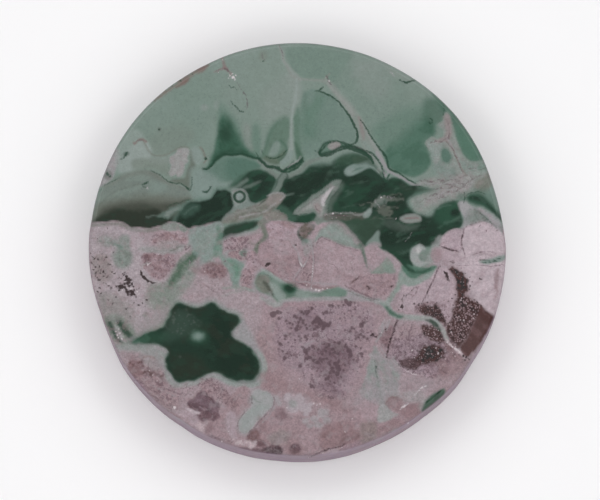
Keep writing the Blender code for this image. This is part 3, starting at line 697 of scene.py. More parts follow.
    # beige thread running right from the wedge
    c.patch("umber>olive:0.45", [(323, 214.5), (329, 213), (336, 214), (346, 214), (356, 213), (366, 213.5), (364, 218), (354, 219.5), (343, 221), (336, 222), (329, 221), (324, 219)], soft=1.6, strength=0.8, rough=2.4, wave=4, fabric=(0, 0.2, 0.7))
    c.vein("cream>silver:0.3", [(330, 213.5, 1.2), (340, 213.2, 1.4), (350, 213, 1.4), (357, 214.5, 2), (364, 214, 2), (370, 212, 1.4)], soft=0.8, strength=0.65, rough=1.6, wave=4)
    c.patch("mint>milk:0.4", [(363, 216), (366, 211), (370, 208), (372, 211), (370, 215), (366, 218)], soft=1.1, strength=0.8, rough=1.6, wave=4)
    # right of the masses: the creamy web with its folds
    web = [(446, 112, 2.4), (450, 117, 1.8), (453, 126, 1.8), (455.5, 136, 1.8), (459, 146, 1.8), (463, 154, 1.8), (469, 160, 1.8), (477, 162, 1.8), (486, 159, 1.8), (491, 166, 2), (489, 176, 2.5), (483, 186, 3), (476, 190, 2), (470, 192, 2), (466, 197, 2), (460, 200, 2), (453, 199, 2), (446, 201, 2.2), (440, 204, 3), (433, 208, 4), (425, 213, 4), (418, 212, 4), (413, 206, 3), (410, 200, 2.6), (416, 197, 2), (424, 194, 2), (432, 192, 2.4), (438, 189, 2), (430, 187, 2), (423, 186, 1.6), (416, 184, 1.4), (421, 181, 1.6), (430, 178, 2), (436, 174, 2.5), (434, 165, 2.4), (432, 155, 2.2), (428, 147, 1.6), (425, 142.5, 1.2), (431, 137, 1.3), (437, 139, 1.6), (443, 136, 1.6), (443, 130, 1.6), (439, 124, 1.6), (443, 120, 1.6)]
    c.patch("haze>teal:0.4", [p[:2] + (3.2,) for p in web], grow=1.6, rough=1.8, strength=0.5)
    m = c.patch("cream>haze:0.45", web, rough=1.8, strength=0.95, kind="halo")
    c.veil(m, "stone>mint:0.4", size=5, share=0.5, turn=-30, stretch=2.4, seed=24)
    c.patch("cream>ash:0.4", [(444, 186, 3), (454, 178, 4), (462, 172, 4), (470, 174, 4), (474, 182, 4), (466, 190, 3), (456, 194, 3), (446, 196, 3), (434, 202, 3), (424, 206, 3), (428, 198, 3), (438, 193, 3)], strength=0.75, fabric=(0.9, 0, 0.2))
    c.patch("cream>stone:0.3", [(418, 178, 3), (436, 176, 3), (456, 174, 3), (476, 172, 3), (480, 184, 4), (466, 194, 3), (444, 198, 3), (424, 196, 3), (430, 188, 3)], strength=0.35, fabric=(1.0, 0, 0.2))
    c.patch("mint>teal:0.35", [(432, 152, 3), (438, 158, 4), (448, 166, 5), (456, 170, 4), (452, 177, 4), (440, 176, 4), (434, 172, 3)], strength=0.6)
    c.patch("mint>haze:0.5", [(456, 160, 3), (466, 163, 3), (478, 166, 3), (488, 164, 3), (484, 172, 4), (470, 174, 4), (460, 170, 3)], strength=0.6)
    c.patch("clay>cream:0.45", [(444, 116), (449, 114), (452, 126), (452, 134), (448, 140), (441, 142), (438, 146), (434, 142), (442, 138), (447, 132), (445, 125)], soft=1.6, strength=0.75, rough=2.2, wave=4, fabric=(0, 0.2, 0.5))
    c.patch("milk>mint:0.4", [(430, 140), (437, 142), (442, 146), (440, 156), (436, 164), (433, 154), (428, 146)], soft=1.8, strength=0.6)
    c.blob("teal>fresh:0.3", 446, 155, 5.2, 8.2, turn=-12, soft=2.0, strength=0.9, kind="green", rough=1.6)
    c.vein("rust>cream:0.3", [(447, 140, 1), (452, 146, 1.4), (456, 155, 1.6), (459, 163, 1.6), (463, 170, 1.4), (467, 176, 0.9)], soft=0.9, strength=0.6, rough=1.2, wave=4)
    c.patch("green>sage:0.4", [(478, 163, 2), (484, 161, 2), (488, 165, 2), (487, 170, 2), (480, 170, 2)], strength=0.65)
    c.patch("sage>mint:0.4", [(484, 176, 4), (492, 172, 4), (499, 190, 4), (502, 208, 3), (494, 204, 3), (486, 196, 3), (482, 186, 3)], strength=0.85)
    c.patch("olive>rust:0.3", [(475, 184, 2.5), (482, 178, 2.5), (490, 172, 2.5), (494, 178, 2.5), (490, 188, 3), (480, 194, 3)], strength=0.6, rough=2.4, wave=5)
    # dark streak that leaves the stone at the right
    c.patch("sage>flame:0.35", [(456, 198, 3), (466, 192, 4), (478, 188, 5), (488, 192, 5), (498, 204, 4), (503, 220, 3), (496, 216, 3), (484, 208, 3), (470, 204, 3), (460, 204, 3)], strength=0.75)
    streak = [(467, 197, 2.5), (472, 193.5, 3), (479, 193.5, 3), (485, 197, 2.6), (491, 203.5, 2), (497, 210, 2), (502, 217, 2), (502, 222, 1.6), (496, 216, 1.6), (489, 209.5, 1.6), (482, 206, 1.6), (474, 203.5, 2), (468, 201, 2)]
    m = c.patch("deep>flame:0.3", streak, strength=0.92)
    c.vein("black", [(471, 198, 3), (478, 198.6, 4.4), (485, 201.5, 3.6), (493, 210, 2.4), (501, 218, 1.8)], soft=1.6, strength=0.75)
    c.veil(m, "flame>sage:0.3", size=3, share=0.4, turn=40, stretch=3.5, seed=25, lo=0.1, hi=0.35)
    # pale ground below that streak
    c.patch("fog>mint:0.25", [(461, 203, 1.5), (466, 203, 2), (471, 206, 2), (480, 208, 2), (488, 211, 2), (496, 217, 1.6), (502, 224, 1.6), (503, 236, 2), (496, 230, 2), (488, 224, 2), (478, 222, 2), (468, 226, 2), (462, 230, 2), (464, 222, 1.5), (462, 214, 1.5), (461, 208, 1.5)], strength=0.95, kind="halo")
    c.patch("silver", [(458, 203, 1.2), (464, 201, 1.6), (470, 205, 2), (472, 211, 2.5), (468, 215, 2.5), (462, 213, 1.5)], strength=0.8)
    c.patch("stone>haze:0.4", [(469, 211, 3), (477, 209, 3), (485, 213, 3), (489, 219, 3), (480, 222, 3), (468, 222, 3)], strength=0.7, rough=2.4, wave=4)
    c.veil(c.patch(None, [(468, 208), (482, 207), (494, 216), (502, 228), (502, 234), (490, 228), (478, 224), (467, 224)], soft=2), "bottle>stone:0.4", size=3, share=0.4, turn=35, stretch=2.5, seed=26, lo=0.08, hi=0.3)
    c.vein("silver>lilac:0.3", [(479, 208, 1.5), (485, 213, 2), (491, 218, 2.2), (496, 224, 2), (500, 230, 1.5)], soft=1.0, strength=0.7, rough=1.4, wave=5)


def draw_lower_ground(c):
    """The pinkish matrix under the dark band."""
    border = [(80, 222, 1), (93, 222.5, 1), (100, 222, 0.9), (108, 221.5, 0.9), (113, 221, 0.9), (120, 221.5, 0.9), (126, 224, 0.9), (131, 227, 0.9), (138, 227, 0.9), (145, 228, 0.9), (151, 228, 0.9), (157, 226.5, 0.9), (163, 225.3, 0.9), (168, 222.3, 0.9), (173, 222, 0.9), (179, 223.3, 0.9), (185, 227, 1), (190, 228.3, 1.2), (194, 226.3, 1.4), (200, 226.5, 1.6), (206, 224.3, 1.6), (213, 223, 1.6), (218, 222.3, 1.8), (222, 226, 3), (222, 240, 4), (240, 236, 3), (258, 230, 3), (264, 222, 2.5), (276, 220.5, 1.5), (288, 221.5, 1.2), (296, 223, 1.2), (306, 223.4, 1.4), (314, 221.5, 1.6), (322, 222.5, 1.6), (334, 221, 2), (344, 225, 2.5), (351, 233, 3), (358, 241, 3), (364, 247, 3), (372, 249, 3), (386, 252, 2), (394, 257, 1.6), (402, 265, 1.6), (409, 270, 1.6), (420, 270, 3), (432, 262, 4), (438, 250, 3), (441, 238, 1.3), (446, 233, 1.3), (453, 229.6, 1.3), (460, 228.6, 1.3), (468, 224, 3), (480, 219, 3), (492, 221, 2), (502, 231, 2), (520, 236, 2), (540, 500, 3), (300, 560, 3), (50, 500, 3), (50, 230, 1)]
    mask = c.patch("pink>ash:0.3", border, rough=0.9, wave=7, kind="matrix", detail=(0, 0.10, 0.0), sink=0.35)
    # slow changes: greyer to the left, rosier in the middle, lilac at the right
    q = c.p
    cloud = fractal(q / 38.0, 91, 3)
    c.paint(mask * smooth(0.5 + 1.3 * cloud) * 0.30, "ash")
    cloud = fractal(q / 24.0, 97, 3)
    c.paint(mask * smooth(0.4 + 1.4 * cloud) * 0.28, "mauve")
    c.patch("silver>lilac:0.5", [(92, 226, 3), (112, 225, 3), (136, 232, 4), (152, 250, 6), (166, 280, 9), (184, 300, 9), (170, 322, 9), (150, 340, 9), (112, 330, 9), (94, 290, 6), (88, 256, 4)], strength=0.75)
    c.patch("ash>rose:0.5", [(172, 272, 5), (196, 262, 6), (222, 272, 6), (252, 286, 5), (262, 300, 6), (258, 330, 7), (262, 360, 8), (246, 388, 6), (206, 390, 6), (176, 388, 6), (166, 366, 5), (170, 330, 5), (176, 300, 6)], strength=0.6)
    c.patch("lilac>white:0.28", [(440, 252, 3), (460, 254, 4), (484, 254, 3), (506, 258, 3), (508, 290, 4), (500, 316, 3), (490, 312, 3), (476, 300, 3), (468, 286, 4), (452, 262, 4)], strength=0.95)
    c.patch("lilac>rose:0.2", [(404, 280, 5), (416, 278, 4), (434, 270, 3), (446, 262, 3), (454, 280, 4), (456, 302, 4), (446, 312, 3), (430, 306, 4), (412, 312, 4), (400, 306, 4)], strength=0.85)
    c.patch("clay", [(252, 338, 8), (270, 326, 8), (282, 350, 8), (288, 380, 8), (280, 396, 8), (262, 396, 6), (258, 372, 4), (256, 356, 5)], strength=0.7)
    c.patch("pink>mauve:0.5", [(270, 300, 4), (300, 299, 2.5), (340, 299, 2.5), (372, 301, 3), (390, 320, 5), (386, 350, 6), (372, 380, 6), (350, 400, 8), (300, 396, 10), (276, 372, 10), (268, 340, 8), (264, 316, 5)], strength=0.75)
    # the band along the lower rim, from the right round to the bottom: the matrix's mauve, with painted shade and
    # painted lilac reflection making it darker and pinker there
    c.patch("mauve", [(250, 396, 8), (290, 410, 8), (350, 404, 8), (390, 410, 8), (430, 396, 8), (470, 366, 8), (500, 330, 6), (500, 380, 8), (430, 450, 8), (330, 480, 8), (250, 470, 8), (200, 440, 8), (220, 410, 8)], strength=0.7)


def draw_left_lower(c):
    # fringe of the dark border above the matrix
    c.vein("olive>stone:0.5", [(92, 225), (104, 224.5), (120, 224), (132, 229.5), (146, 230.5), (158, 229), (168, 225), (176, 225.5), (186, 230)], width=3.6, soft=1.6, strength=0.7, rough=1.2, wave=6)
    c.patch("haze>stone:0.3", [(160, 229), (166, 224), (174, 222.5), (182, 225), (188, 230), (182, 233), (170, 232)], soft=1.6, strength=0.75)
    # green hazes in the matrix
    c.patch("olive>ash:0.35", [(96, 236, 4), (108, 234, 4), (124, 238, 4), (126, 246, 4), (112, 248, 4), (98, 246, 4)], strength=0.4)
    m = c.blob("stone>haze:0.5", 123, 257.5, 10, 11, soft=4.0, strength=0.9, rough=2.4)
    c.patch("stone>haze:0.5", [(117, 250), (119, 240), (122, 235), (129, 236), (131, 243), (128, 251)], soft=2.4, strength=0.75, rough=2)
    c.veil(m, "olive>bottle:0.3", size=4, share=0.4, turn=50, stretch=1.6, seed=31, lo=0.1, hi=0.35)
    c.patch("olive>ash:0.45", [(98, 292, 4), (114, 294, 6), (126, 300, 8), (134, 312, 8), (136, 328, 6), (128, 338, 4), (112, 336, 4), (104, 330, 4), (100, 312, 4)], strength=0.8, rough=3)
    c.patch("olive>haze:0.4", [(148, 285, 4), (160, 284, 4), (172, 290, 5), (176, 302, 5), (166, 310, 5), (152, 309, 5), (146, 298, 5)], strength=0.75, rough=3)
    c.patch("haze>ash:0.4", [(170, 282, 3), (182, 272, 3), (196, 262, 3), (206, 264, 3), (200, 272, 3), (192, 280, 4), (184, 290, 4), (176, 296, 4)], strength=0.6, rough=2.4)
    c.patch("plum>ash:0.35", [(190, 262, 3), (198, 256, 3), (208, 256, 3), (209, 266, 3), (202, 272, 3), (194, 270, 3)], strength=0.5, rough=2.4)
    c.patch("olive>clay:0.4", [(92, 258, 3), (104, 254, 3), (112, 262, 4), (112, 276, 4), (104, 284, 4), (95, 276, 3)], strength=0.6, rough=3)
    c.patch("mint>haze:0.4", [(100, 237.5), (108, 237), (116, 240), (122, 243), (118, 246), (110, 247), (101, 243)], soft=2.5, strength=0.45, rough=2)
    c.vein("flame>olive:0.3", [(100, 241), (106, 242.5), (112, 242)], width=0.9, soft=0.8, strength=0.5, rough=1.4)
    c.vein("teal", [(111, 243), (116, 244.5), (121, 247.5)], width=2.2, soft=1.0, strength=0.6, rough=2, wave=4)
    c.blob("stone>olive:0.5", 146.5, 315, 3.4, 2.8, soft=1.6, strength=0.65, rough=2)
    # mauve clasts, one above the other, with a green-grey rim
    c.patch("haze>ash:0.5", [(138, 248, 2), (148, 246, 2), (160, 247, 2), (172, 247, 2), (184, 243, 2), (192, 238, 2), (190, 246, 2), (180, 252, 2), (168, 254, 2), (154, 254, 2), (142, 252, 2)], strength=0.7)
    clast = [(149, 240), (151, 237), (156, 233.5), (165, 231.5), (175, 230.5), (182, 231.5), (187, 235.5), (189.5, 240), (186.5, 244), (180, 243.5), (172, 245.5), (163, 246.5), (157, 245.5), (152, 243.5)]
    m = c.patch("rose>pink:0.3", clast, soft=1.1, strength=0.97, rough=2.0, wave=5, kind="matrix", detail=(0, 0.35, 0))
    c.veil(m, "russet>clay:0.4", size=4, share=0.75, turn=-10, stretch=1.8, seed=32, lo=-0.05, hi=0.2)
    c.patch("pearl>rose:0.5", [(157, 243), (165, 240.5), (176, 240.5), (180, 243), (172, 248), (160, 249)], soft=1.5, strength=0.7, rough=2, wave=4, fabric=(0, 0.2, 0.7))
    c.vein("olive>bottle:0.4", [(169, 251.4, 0.9), (174, 249.6, 1.6), (181, 246, 1.0)], soft=0.8, strength=0.75)
    clast = [(141, 257), (144, 253.5), (150, 252.8), (158, 253.4), (164, 255), (171, 254), (176, 256.5), (175.5, 264), (170.5, 271), (165, 277.5), (158, 280.5), (151, 276), (146, 271), (142, 264)]
    m = c.patch("pink>mauve:0.2", clast, soft=1.1, strength=0.97, rough=2.0, wave=5, kind="matrix", detail=(0, 0.45, 0))
    c.veil(m, "russet>clay:0.3", size=4.5, share=0.6, turn=40, stretch=1.4, seed=33, lo=-0.05, hi=0.2)
    for x, y, r in ((147.5, 257, 3.0), (149, 261, 2.2), (160, 257.6, 2.4), (162, 261, 1.8), (168, 263, 1.8), (156, 269, 1.8)):
        c.blob("russet>ember:0.4", x, y, r, soft=1.0, strength=0.7, rough=1.8, wave=3)
    c.vein("pearl>rose:0.4", [(142, 266, 1.4), (146, 264, 2.2), (151, 263, 1.4)], soft=0.9, strength=0.8, rough=1.6, wave=3)
    # the green stringer between matrix and mint
    stringer = [(170, 286, 3), (174.5, 279, 6), (179, 271, 7.4), (184.5, 263.6, 7.8), (191, 257.5, 7.6), (198, 252.5, 5.6)]
    c.patch("haze>olive:0.35", [(152, 300, 5), (158, 290, 5), (168, 281, 4.6), (177, 270, 4), (187, 262, 4), (197, 266, 4), (194, 279, 5), (185, 291, 5), (174, 302, 5), (160, 306, 5)], strength=0.72, rough=2.8)
    c.vein("haze>olive:0.3", [p[:2] + (p[2] + 5,) for p in stringer], soft=3, strength=0.65, rough=2)
    m = c.vein("moss>flame:0.2", stringer, soft=3.4, strength=0.9, rough=3.0, wave=5, kind="halo")
    c.veil(m, "flame>moss:0.4", size=3.4, share=0.8, turn=-52, stretch=2.6, seed=34, lo=-0.02, hi=0.25)
    c.blob("deep>green:0.25", 196, 253.6, 3.6, 2.6, turn=-35, soft=1.6, strength=0.85)
    # mint tongue hanging from the dark band
    c.patch("mint", [(188, 236, 2), (190, 229, 1.6), (197, 227, 1.4), (204, 226, 1.4), (212, 223.5, 1.5), (218, 222, 1.5), (223, 225, 2), (222, 232, 2), (219, 240, 2), (219, 250, 2), (212, 257, 2.4), (206, 262, 2.4), (198, 258, 2.4), (192, 248, 2.2)], strength=0.88, rough=3.2, wave=6, kind="halo")
    c.patch("haze", [(196, 234, 3), (206, 232, 4), (214, 236, 4), (212, 246, 4), (204, 252, 4), (197, 246, 3)], strength=0.5)
    c.patch("green>fresh:0.3", [(216, 227), (219, 225), (222.6, 232), (222.6, 246), (221, 256), (216, 257), (213.6, 248), (217, 238)], soft=2.2, strength=0.85, rough=1.8)
    c.patch("jade>mint:0.4", [(216, 240), (219, 243), (222, 247), (222, 252), (218, 257), (213, 258), (210, 262), (212, 254), (215, 248)], soft=1.4, strength=0.6)
    c.patch("mint>haze:0.3", [(200, 258, 2), (210, 255, 2), (216, 262, 2), (222, 266, 2), (214, 266, 2), (206, 264, 2), (200, 264, 2)], strength=0.5)
    # a browner patch under it
    m = c.patch("russet>clay:0.35", [(202, 267), (207, 264), (214, 262), (222, 264), (227, 268), (227, 275), (222, 280), (214, 279), (209, 275), (204, 274)], soft=2.2, strength=0.8, rough=3.6, wave=4, kind="matrix", detail=(0, 0.4, 0))
    c.veil(m, "ember>russet:0.3", size=3, share=0.7, turn=20, stretch=1.5, seed=35, lo=0.0, hi=0.22)
    c.patch("clay>pink:0.3", [(190, 268), (198, 266), (206, 272), (204, 276), (196, 274)], soft=2.4, strength=0.5, rough=2)
    # dark green folia at the left rim, two streaks with a speckled pale band between
    c.patch("haze>olive:0.3", [(106, 318, 2.5), (118, 314, 3), (128, 322, 3), (138, 334, 2.5), (138, 345, 2.5), (122, 346, 2.5), (110, 334, 2)], strength=0.75)
    c.patch("olive>flame:0.4", [(104, 318), (110, 318), (116, 326), (122, 336), (124, 344), (117, 343), (111, 334)], soft=2.4, strength=0.6)
    m = c.patch("deep>umber:0.3", [(107, 321), (111, 322), (115, 328), (119, 334), (123, 341.5), (118.5, 341.5), (113.5, 335), (110, 329)], soft=1.2, strength=0.92, rough=1.8, wave=4)
    c.patch("olive>flame:0.4", [(115, 318), (122, 318), (130, 327), (138, 336), (140, 343), (132, 343), (124, 336), (118, 326)], soft=2.2, strength=0.55)
    m = c.patch("deep>umber:0.3", [(116, 319), (120.5, 320.5), (126, 326.5), (131, 333), (138, 339.5), (133, 341), (127, 336.5), (121, 329), (117.5, 324)], soft=1.3, strength=0.92, rough=1.8, wave=4)
    c.patch("silver", [(114, 325), (118, 327), (122, 334), (126, 341), (122, 341), (118, 335)], soft=1.1, strength=0.55, rough=1.8, wave=3, fabric=(0, 0, 1.0))
    c.vein("olive>stone:0.3", [(103, 297), (105, 300), (106, 304)], width=1.4, soft=0.9, strength=0.6, rough=1.2)


def draw_big_patch(c):
    """The dark green mass at the lower left with its milky rim."""
    line = [(133, 341.5), (140, 337.5), (146, 333.5), (152, 331), (158, 329.2), (164, 326.2), (166.5, 321), (170, 316), (171, 310.5), (174, 306.5), (177.5, 303), (181, 302.5), (186, 305), (192, 307), (199, 307.5), (204, 306), (208, 303), (212, 302), (215, 303), (218, 306), (222, 309), (228, 312.5), (232, 313.5), (237, 315.5), (240, 319.5), (239, 323), (235, 327), (231.5, 331), (231, 335), (233.5, 338), (239, 341), (245, 343.5), (251, 348), (255, 354), (259, 361), (260, 366.5), (259, 372), (256, 377), (252, 380.5), (245, 380), (237, 380.5), (230, 378.5), (224, 376), (220, 373), (215, 372), (209, 373), (204, 375.5), (199, 378.5), (194, 380.5), (189, 380), (184, 381.5), (178, 382), (174, 379), (172, 374.5), (170, 371), (167, 368), (166, 363), (165, 359), (168, 354), (169, 351), (164, 346.5), (158, 343.5), (150, 342.8), (143, 342.6), (135, 342.3)]
    halo = [p + (3.0,) for p in line]
    c.patch("fog>haze:0.3", halo, grow=4.5, rough=1.6, wave=12, strength=0.75, kind="halo")
    c.patch("fog", [(236, 318, 2.5), (246, 322, 3), (252, 334, 3), (260, 348, 2.2), (266, 362, 1.4), (263, 376, 2), (256, 388, 2.2), (244, 386, 2.4), (226, 384, 2.4), (212, 379, 2), (204, 382, 2), (192, 386, 2.4), (178, 388, 2.4), (168, 384, 2.4), (162, 372, 2), (164, 352, 2), (210, 352, 3), (230, 340, 3)], strength=0.85, kind="halo")
    c.patch("fog>haze:0.2", [(232, 330, 2), (240, 326, 3), (250, 332, 3), (252, 340, 3), (244, 342, 2), (234, 338, 1.5)], strength=0.7)
    c.patch("haze>fog:0.45", [(116, 344, 2.4), (132, 345, 2), (146, 345, 2), (160, 348, 2), (166, 354, 2), (164, 362, 2.5), (156, 358, 3), (144, 353, 3), (130, 351, 3), (120, 350, 3)], strength=0.85, kind="halo", rough=1.8)
    c.patch("ash>olive:0.35", [(136, 332, 2.4), (142, 322, 4), (154, 314, 5), (164, 306, 4), (170, 302, 3), (168, 312, 2), (164, 322, 2), (154, 328, 2), (144, 332, 2), (138, 337, 2)], strength=0.75, kind="halo")
    c.patch("olive>haze:0.4", [(134, 341, 2), (142, 335, 3), (152, 328, 3.4), (162, 323, 3), (167, 314, 3), (172, 303, 3), (180, 299, 2), (178, 308, 3), (172, 322, 3), (160, 332, 3), (146, 338, 3)], strength=0.7, kind="halo")
    c.patch("haze>fog:0.5", [(176, 301, 2), (186, 302, 2), (198, 304, 2), (206, 302, 2), (216, 301, 2), (226, 308, 2), (240, 312, 2.4), (244, 320, 2.4), (220, 320, 3), (190, 318, 3), (174, 312, 2)], strength=0.6, kind="halo")
    c.patch("flame>haze:0.25", [p + (1.8,) for p in line], grow=0.8, rough=1.5, wave=7, strength=0.9, kind="green", sink=0.0)
    mass = c.patch("bottle>black:0.55", [p + (1.35,) for p in line], grow=-0.5, rough=1.7, wave=6, kind="green", detail=(0, 0, 0), sink=0.0)
    c.patch("black", [(216, 312, 4), (232, 318, 3), (232, 330, 3), (234, 344, 3), (248, 352, 4), (256, 366, 3), (248, 376, 3), (228, 374, 3), (214, 366, 5), (204, 350, 7), (208, 330, 7)], strength=0.85)
    c.patch("umber", [(172, 356, 3), (186, 354, 5), (200, 358, 6), (206, 368, 4), (196, 376, 3), (178, 379, 2), (172, 370, 2)], strength=0.7)
    c.veil(mass, "umber", size=10, share=0.6, turn=25, stretch=1.6, seed=41)
    c.veil(mass, "bottle", size=7, share=0.5, turn=15, stretch=2.0, seed=42, lo=0.05, hi=0.35)
    c.patch("bottle>sage:0.12", [(166, 330, 3), (172, 318, 3), (182, 312, 5), (192, 322, 6), (186, 336, 6), (172, 342, 5), (160, 340, 3)], strength=0.7, rough=3)
    m = c.patch("bottle>stone:0.2", [(166, 320, 3), (172, 312, 3), (182, 310, 3), (194, 314, 3), (200, 322, 3), (194, 332, 3), (180, 334, 3), (168, 332, 3)], strength=0.35, rough=5.0, wave=5)
    c.veil(m, "stone", size=2.6, share=0.6, turn=70, stretch=1.3, seed=43, lo=0.12, hi=0.32)
    c.blob("flame>deep:0.4", 150, 338, 16, 6, turn=-6, soft=4, strength=0.55)
    c.patch("flame>green:0.2", [(132, 341.3), (140, 338), (147, 334), (150, 338), (146, 343), (138, 343)], soft=1.6, strength=0.6)
    c.blob("flame>deep:0.4", 199, 336.6, 9, 8, soft=5, strength=0.6, rough=1.8)
    c.blob("teal>sage:0.4", 198.6, 336, 6.0, 5.0, soft=3.4, strength=0.8, rough=2.0)
    c.blob("mint>haze:0.3", 198.6, 335.6, 3.8, 2.9, soft=2.6, strength=0.75, rough=1.6)
    c.blob("stone>bottle:0.5", 180.5, 356.5, 1.2, soft=0.9, strength=0.4)
    # mint band inside the lower right rim
    c.vein("flame>mint:0.3", [(254, 351, 1), (259, 359, 2.0), (261.5, 366.5, 2.4), (260.5, 373, 2.4), (256.5, 379, 2.2), (251, 382, 2.0), (243, 382, 2.0), (232, 381, 1.8), (224, 377.5, 1.2)], soft=1.0, strength=0.6)
    c.vein("milk>haze:0.4", [(257, 350, 2), (263, 358, 4.4), (265, 367, 5), (263, 376, 5), (258, 383, 4.6), (250, 385, 4.2), (240, 385, 4), (230, 383, 3.6), (222, 378.5, 3), (214, 376, 2.6), (206, 378, 2.6), (198, 382.5, 3), (188, 384.5, 3.4), (178, 386, 3.6), (171, 382, 3), (166.5, 372, 3)], soft=1.3, strength=0.7, kind="halo", rough=1.4)
    c.patch("flame>mint:0.3", [(128, 342), (134, 339.5), (142, 342), (142, 344.5), (132, 344)], soft=1.2, strength=0.55)


def draw_centre_lower(c):
    # clast A under the dark mass
    m = c.patch("lilac>pink:0.55", [(266, 223.5), (272, 222), (280, 221), (287, 221.5), (291, 225), (296, 229), (298.5, 233), (296, 237), (290, 238.5), (283, 239.5), (276, 239.5), (270, 238.5), (267.5, 232), (266.5, 228)], soft=1.1, strength=0.95, detail=(0, 0.2, 0), kind="matrix", rough=1.4, wave=5)
    c.veil(m, "clay", size=4, share=0.45, turn=10, stretch=1.8, seed=51, lo=0.08, hi=0.3)
    c.patch("rust>clay:0.4", [(280, 222), (287, 221), (292, 224), (296, 228), (290, 228), (284, 226)], soft=1.6, strength=0.55, rough=2)
    # orange-brown crumb with its green tail
    c.patch("deep>umber:0.3", [(297, 233), (301, 226), (306, 223.5), (312, 223.5), (315, 227), (312, 232), (308, 237), (307, 242), (303, 243), (299, 238)], soft=1.2, strength=0.85, rough=1.6, wave=4)
    c.patch("olive>ember:0.5", [(299, 230), (303, 225), (308, 224), (313, 226), (312, 230), (308, 233), (306, 238), (301, 236)], soft=1.0, strength=0.9, rough=1.8, wave=3.5, kind="matrix")
    c.patch("haze>mint:0.5", [(302, 241), (308, 238), (312, 240), (311, 246), (306, 247), (302, 245)], soft=1.5, strength=0.6, kind="halo")
    # clast B, speckled
    m = c.patch("pink>rose:0.3", [(223, 244), (226, 240), (232, 237), (240, 236.5), (249, 237.5), (247.5, 243), (243.5, 247.5), (237, 250.5), (230, 250), (225, 248)], soft=1.1, strength=0.95, detail=(0, 0.7, 0.0), kind="matrix", rough=1.4, wave=5)
    c.veil(m, "clay>russet:0.3", size=3.4, share=0.55, turn=-15, stretch=1.8, seed=52)
    c.patch("pink>rose:0.4", [(250, 236), (257, 234), (263, 234), (261, 240), (256, 243), (251, 240)], soft=1.0, strength=0.9, kind="matrix", rough=1.2)
    c.patch("ash>fog:0.4", [(222, 240, 2), (228, 234.5, 1.5), (240, 233.5, 1.5), (252, 231, 1.5), (251, 235.5, 1.5), (238, 236, 1.5), (228, 238, 1.5)], strength=0.6)
    c.patch("olive>moss:0.4", [(257, 222), (261, 223), (266, 232), (264, 238), (260, 246), (257, 255), (254, 254), (256, 245), (262, 236), (262, 230)], soft=1.3, strength=0.75, rough=1.8, wave=5, kind="halo")
    c.patch("fog>mint:0.3", [(224, 252, 1.4), (230, 250.5, 1.4), (237, 249, 1.4), (246, 249, 1.4), (251, 254, 1.4), (248, 260, 1.4), (240, 263, 1.4), (232, 262, 1.4), (226, 258, 1.4)], strength=0.8, kind="halo")
    c.patch("clay>mauve:0.5", [(228, 252), (236, 250), (243, 249), (248.5, 253), (248, 258), (243, 261), (236, 259), (230, 257)], soft=1.0, strength=0.85, detail=(0, 0.5, 0), kind="matrix", rough=1.4, wave=4)
    c.blob("pearl>fog:0.4", 243, 253.3, 4.5, 4.0, soft=0.8, strength=0.85, rough=1.2)
    c.blob("stone>flame:0.35", 243.4, 253.4, 3.7, 3.1, soft=0.9, strength=0.95, rough=1.0)
    c.blob("haze>stone:0.4", 243.2, 253.2, 1.9, 1.5, soft=0.9, strength=0.8)
    m = c.patch("lilac>mauve:0.5", [(247, 254), (251, 250), (256, 253), (258, 260), (263, 267), (265, 274), (258, 277), (251, 272), (247, 264)], soft=1.1, strength=0.92, detail=(0, 0.35, 0), kind="matrix", rough=1.6, wave=4)
    c.veil(m, "clay>russet:0.3", size=3.4, share=0.5, turn=50, stretch=1.8, seed=53)
    m = c.patch("pink>mauve:0.4", [(240, 272), (245, 269), (252, 272), (256, 279), (255, 286), (247, 288), (241, 283)], soft=1.2, strength=0.85, rough=2, wave=4, detail=(0, 0.4, 0), kind="matrix")
    c.veil(m, "russet", size=3, share=0.6, turn=20, stretch=1.5, seed=54)
    # mint that runs down between them
    m = c.patch("mint>jade:0.25", [(220, 252, 2), (226, 257, 1.5), (232, 258, 1.5), (239, 261, 1.5), (245, 264, 1.5), (242, 271, 1.8), (240, 280, 2), (236, 290, 2), (231, 281, 2), (228, 269, 2), (222, 262, 2)], strength=0.95, rough=1.6, kind="halo")
    c.vein("jade>green:0.3", [(229, 260, 3), (234, 264, 5), (238, 270, 5), (236, 277, 2)], soft=1.6, strength=0.8, rough=1.4)
    c.vein("haze", [(224, 288, 2), (236, 287, 3), (246, 289, 3), (256, 291, 3)], soft=1.8, strength=0.7, rough=2, kind="halo")
    # clast C, the pink blade right of them
    blade = [(260, 244), (266, 240.5), (273, 240.5), (282, 240.5), (289, 240), (292, 243), (296, 249), (298.5, 255), (299.5, 262), (300.5, 268), (297.5, 275), (300, 281), (306, 286), (300, 287.5), (294, 285), (288, 281), (279, 276.5), (271, 272.5), (265, 267.5), (260.5, 262), (258, 256), (258.5, 249)]
    m = c.patch("pink>mauve:0.3", blade, soft=1.0, strength=0.97, detail=(0, 0.25, 0), kind="matrix")
    c.veil(m, "mauve>clay:0.5", size=7, share=0.6, turn=35, stretch=2.2, seed=55)
    c.veil(m, "rose", size=6, share=0.5, turn=35, stretch=2.2, seed=56, lo=0.05, hi=0.3)
    c.patch("clay>mauve:0.3", [(266, 254), (276, 256), (288, 264), (293, 273), (288, 276), (276, 269), (266, 262)], soft=3, strength=0.5)
    c.patch("rose>lilac:0.4", [(270, 242), (282, 242), (290, 246), (292, 254), (284, 254), (274, 250)], soft=2.6, strength=0.5)
    c.vein("russet>ember:0.3", [(257, 258, 0.8), (264, 266.5, 1.2), (272, 272.5, 1.2), (284, 280, 1.3), (295, 286, 1.0)], soft=0.8, strength=0.65, rough=1.0)
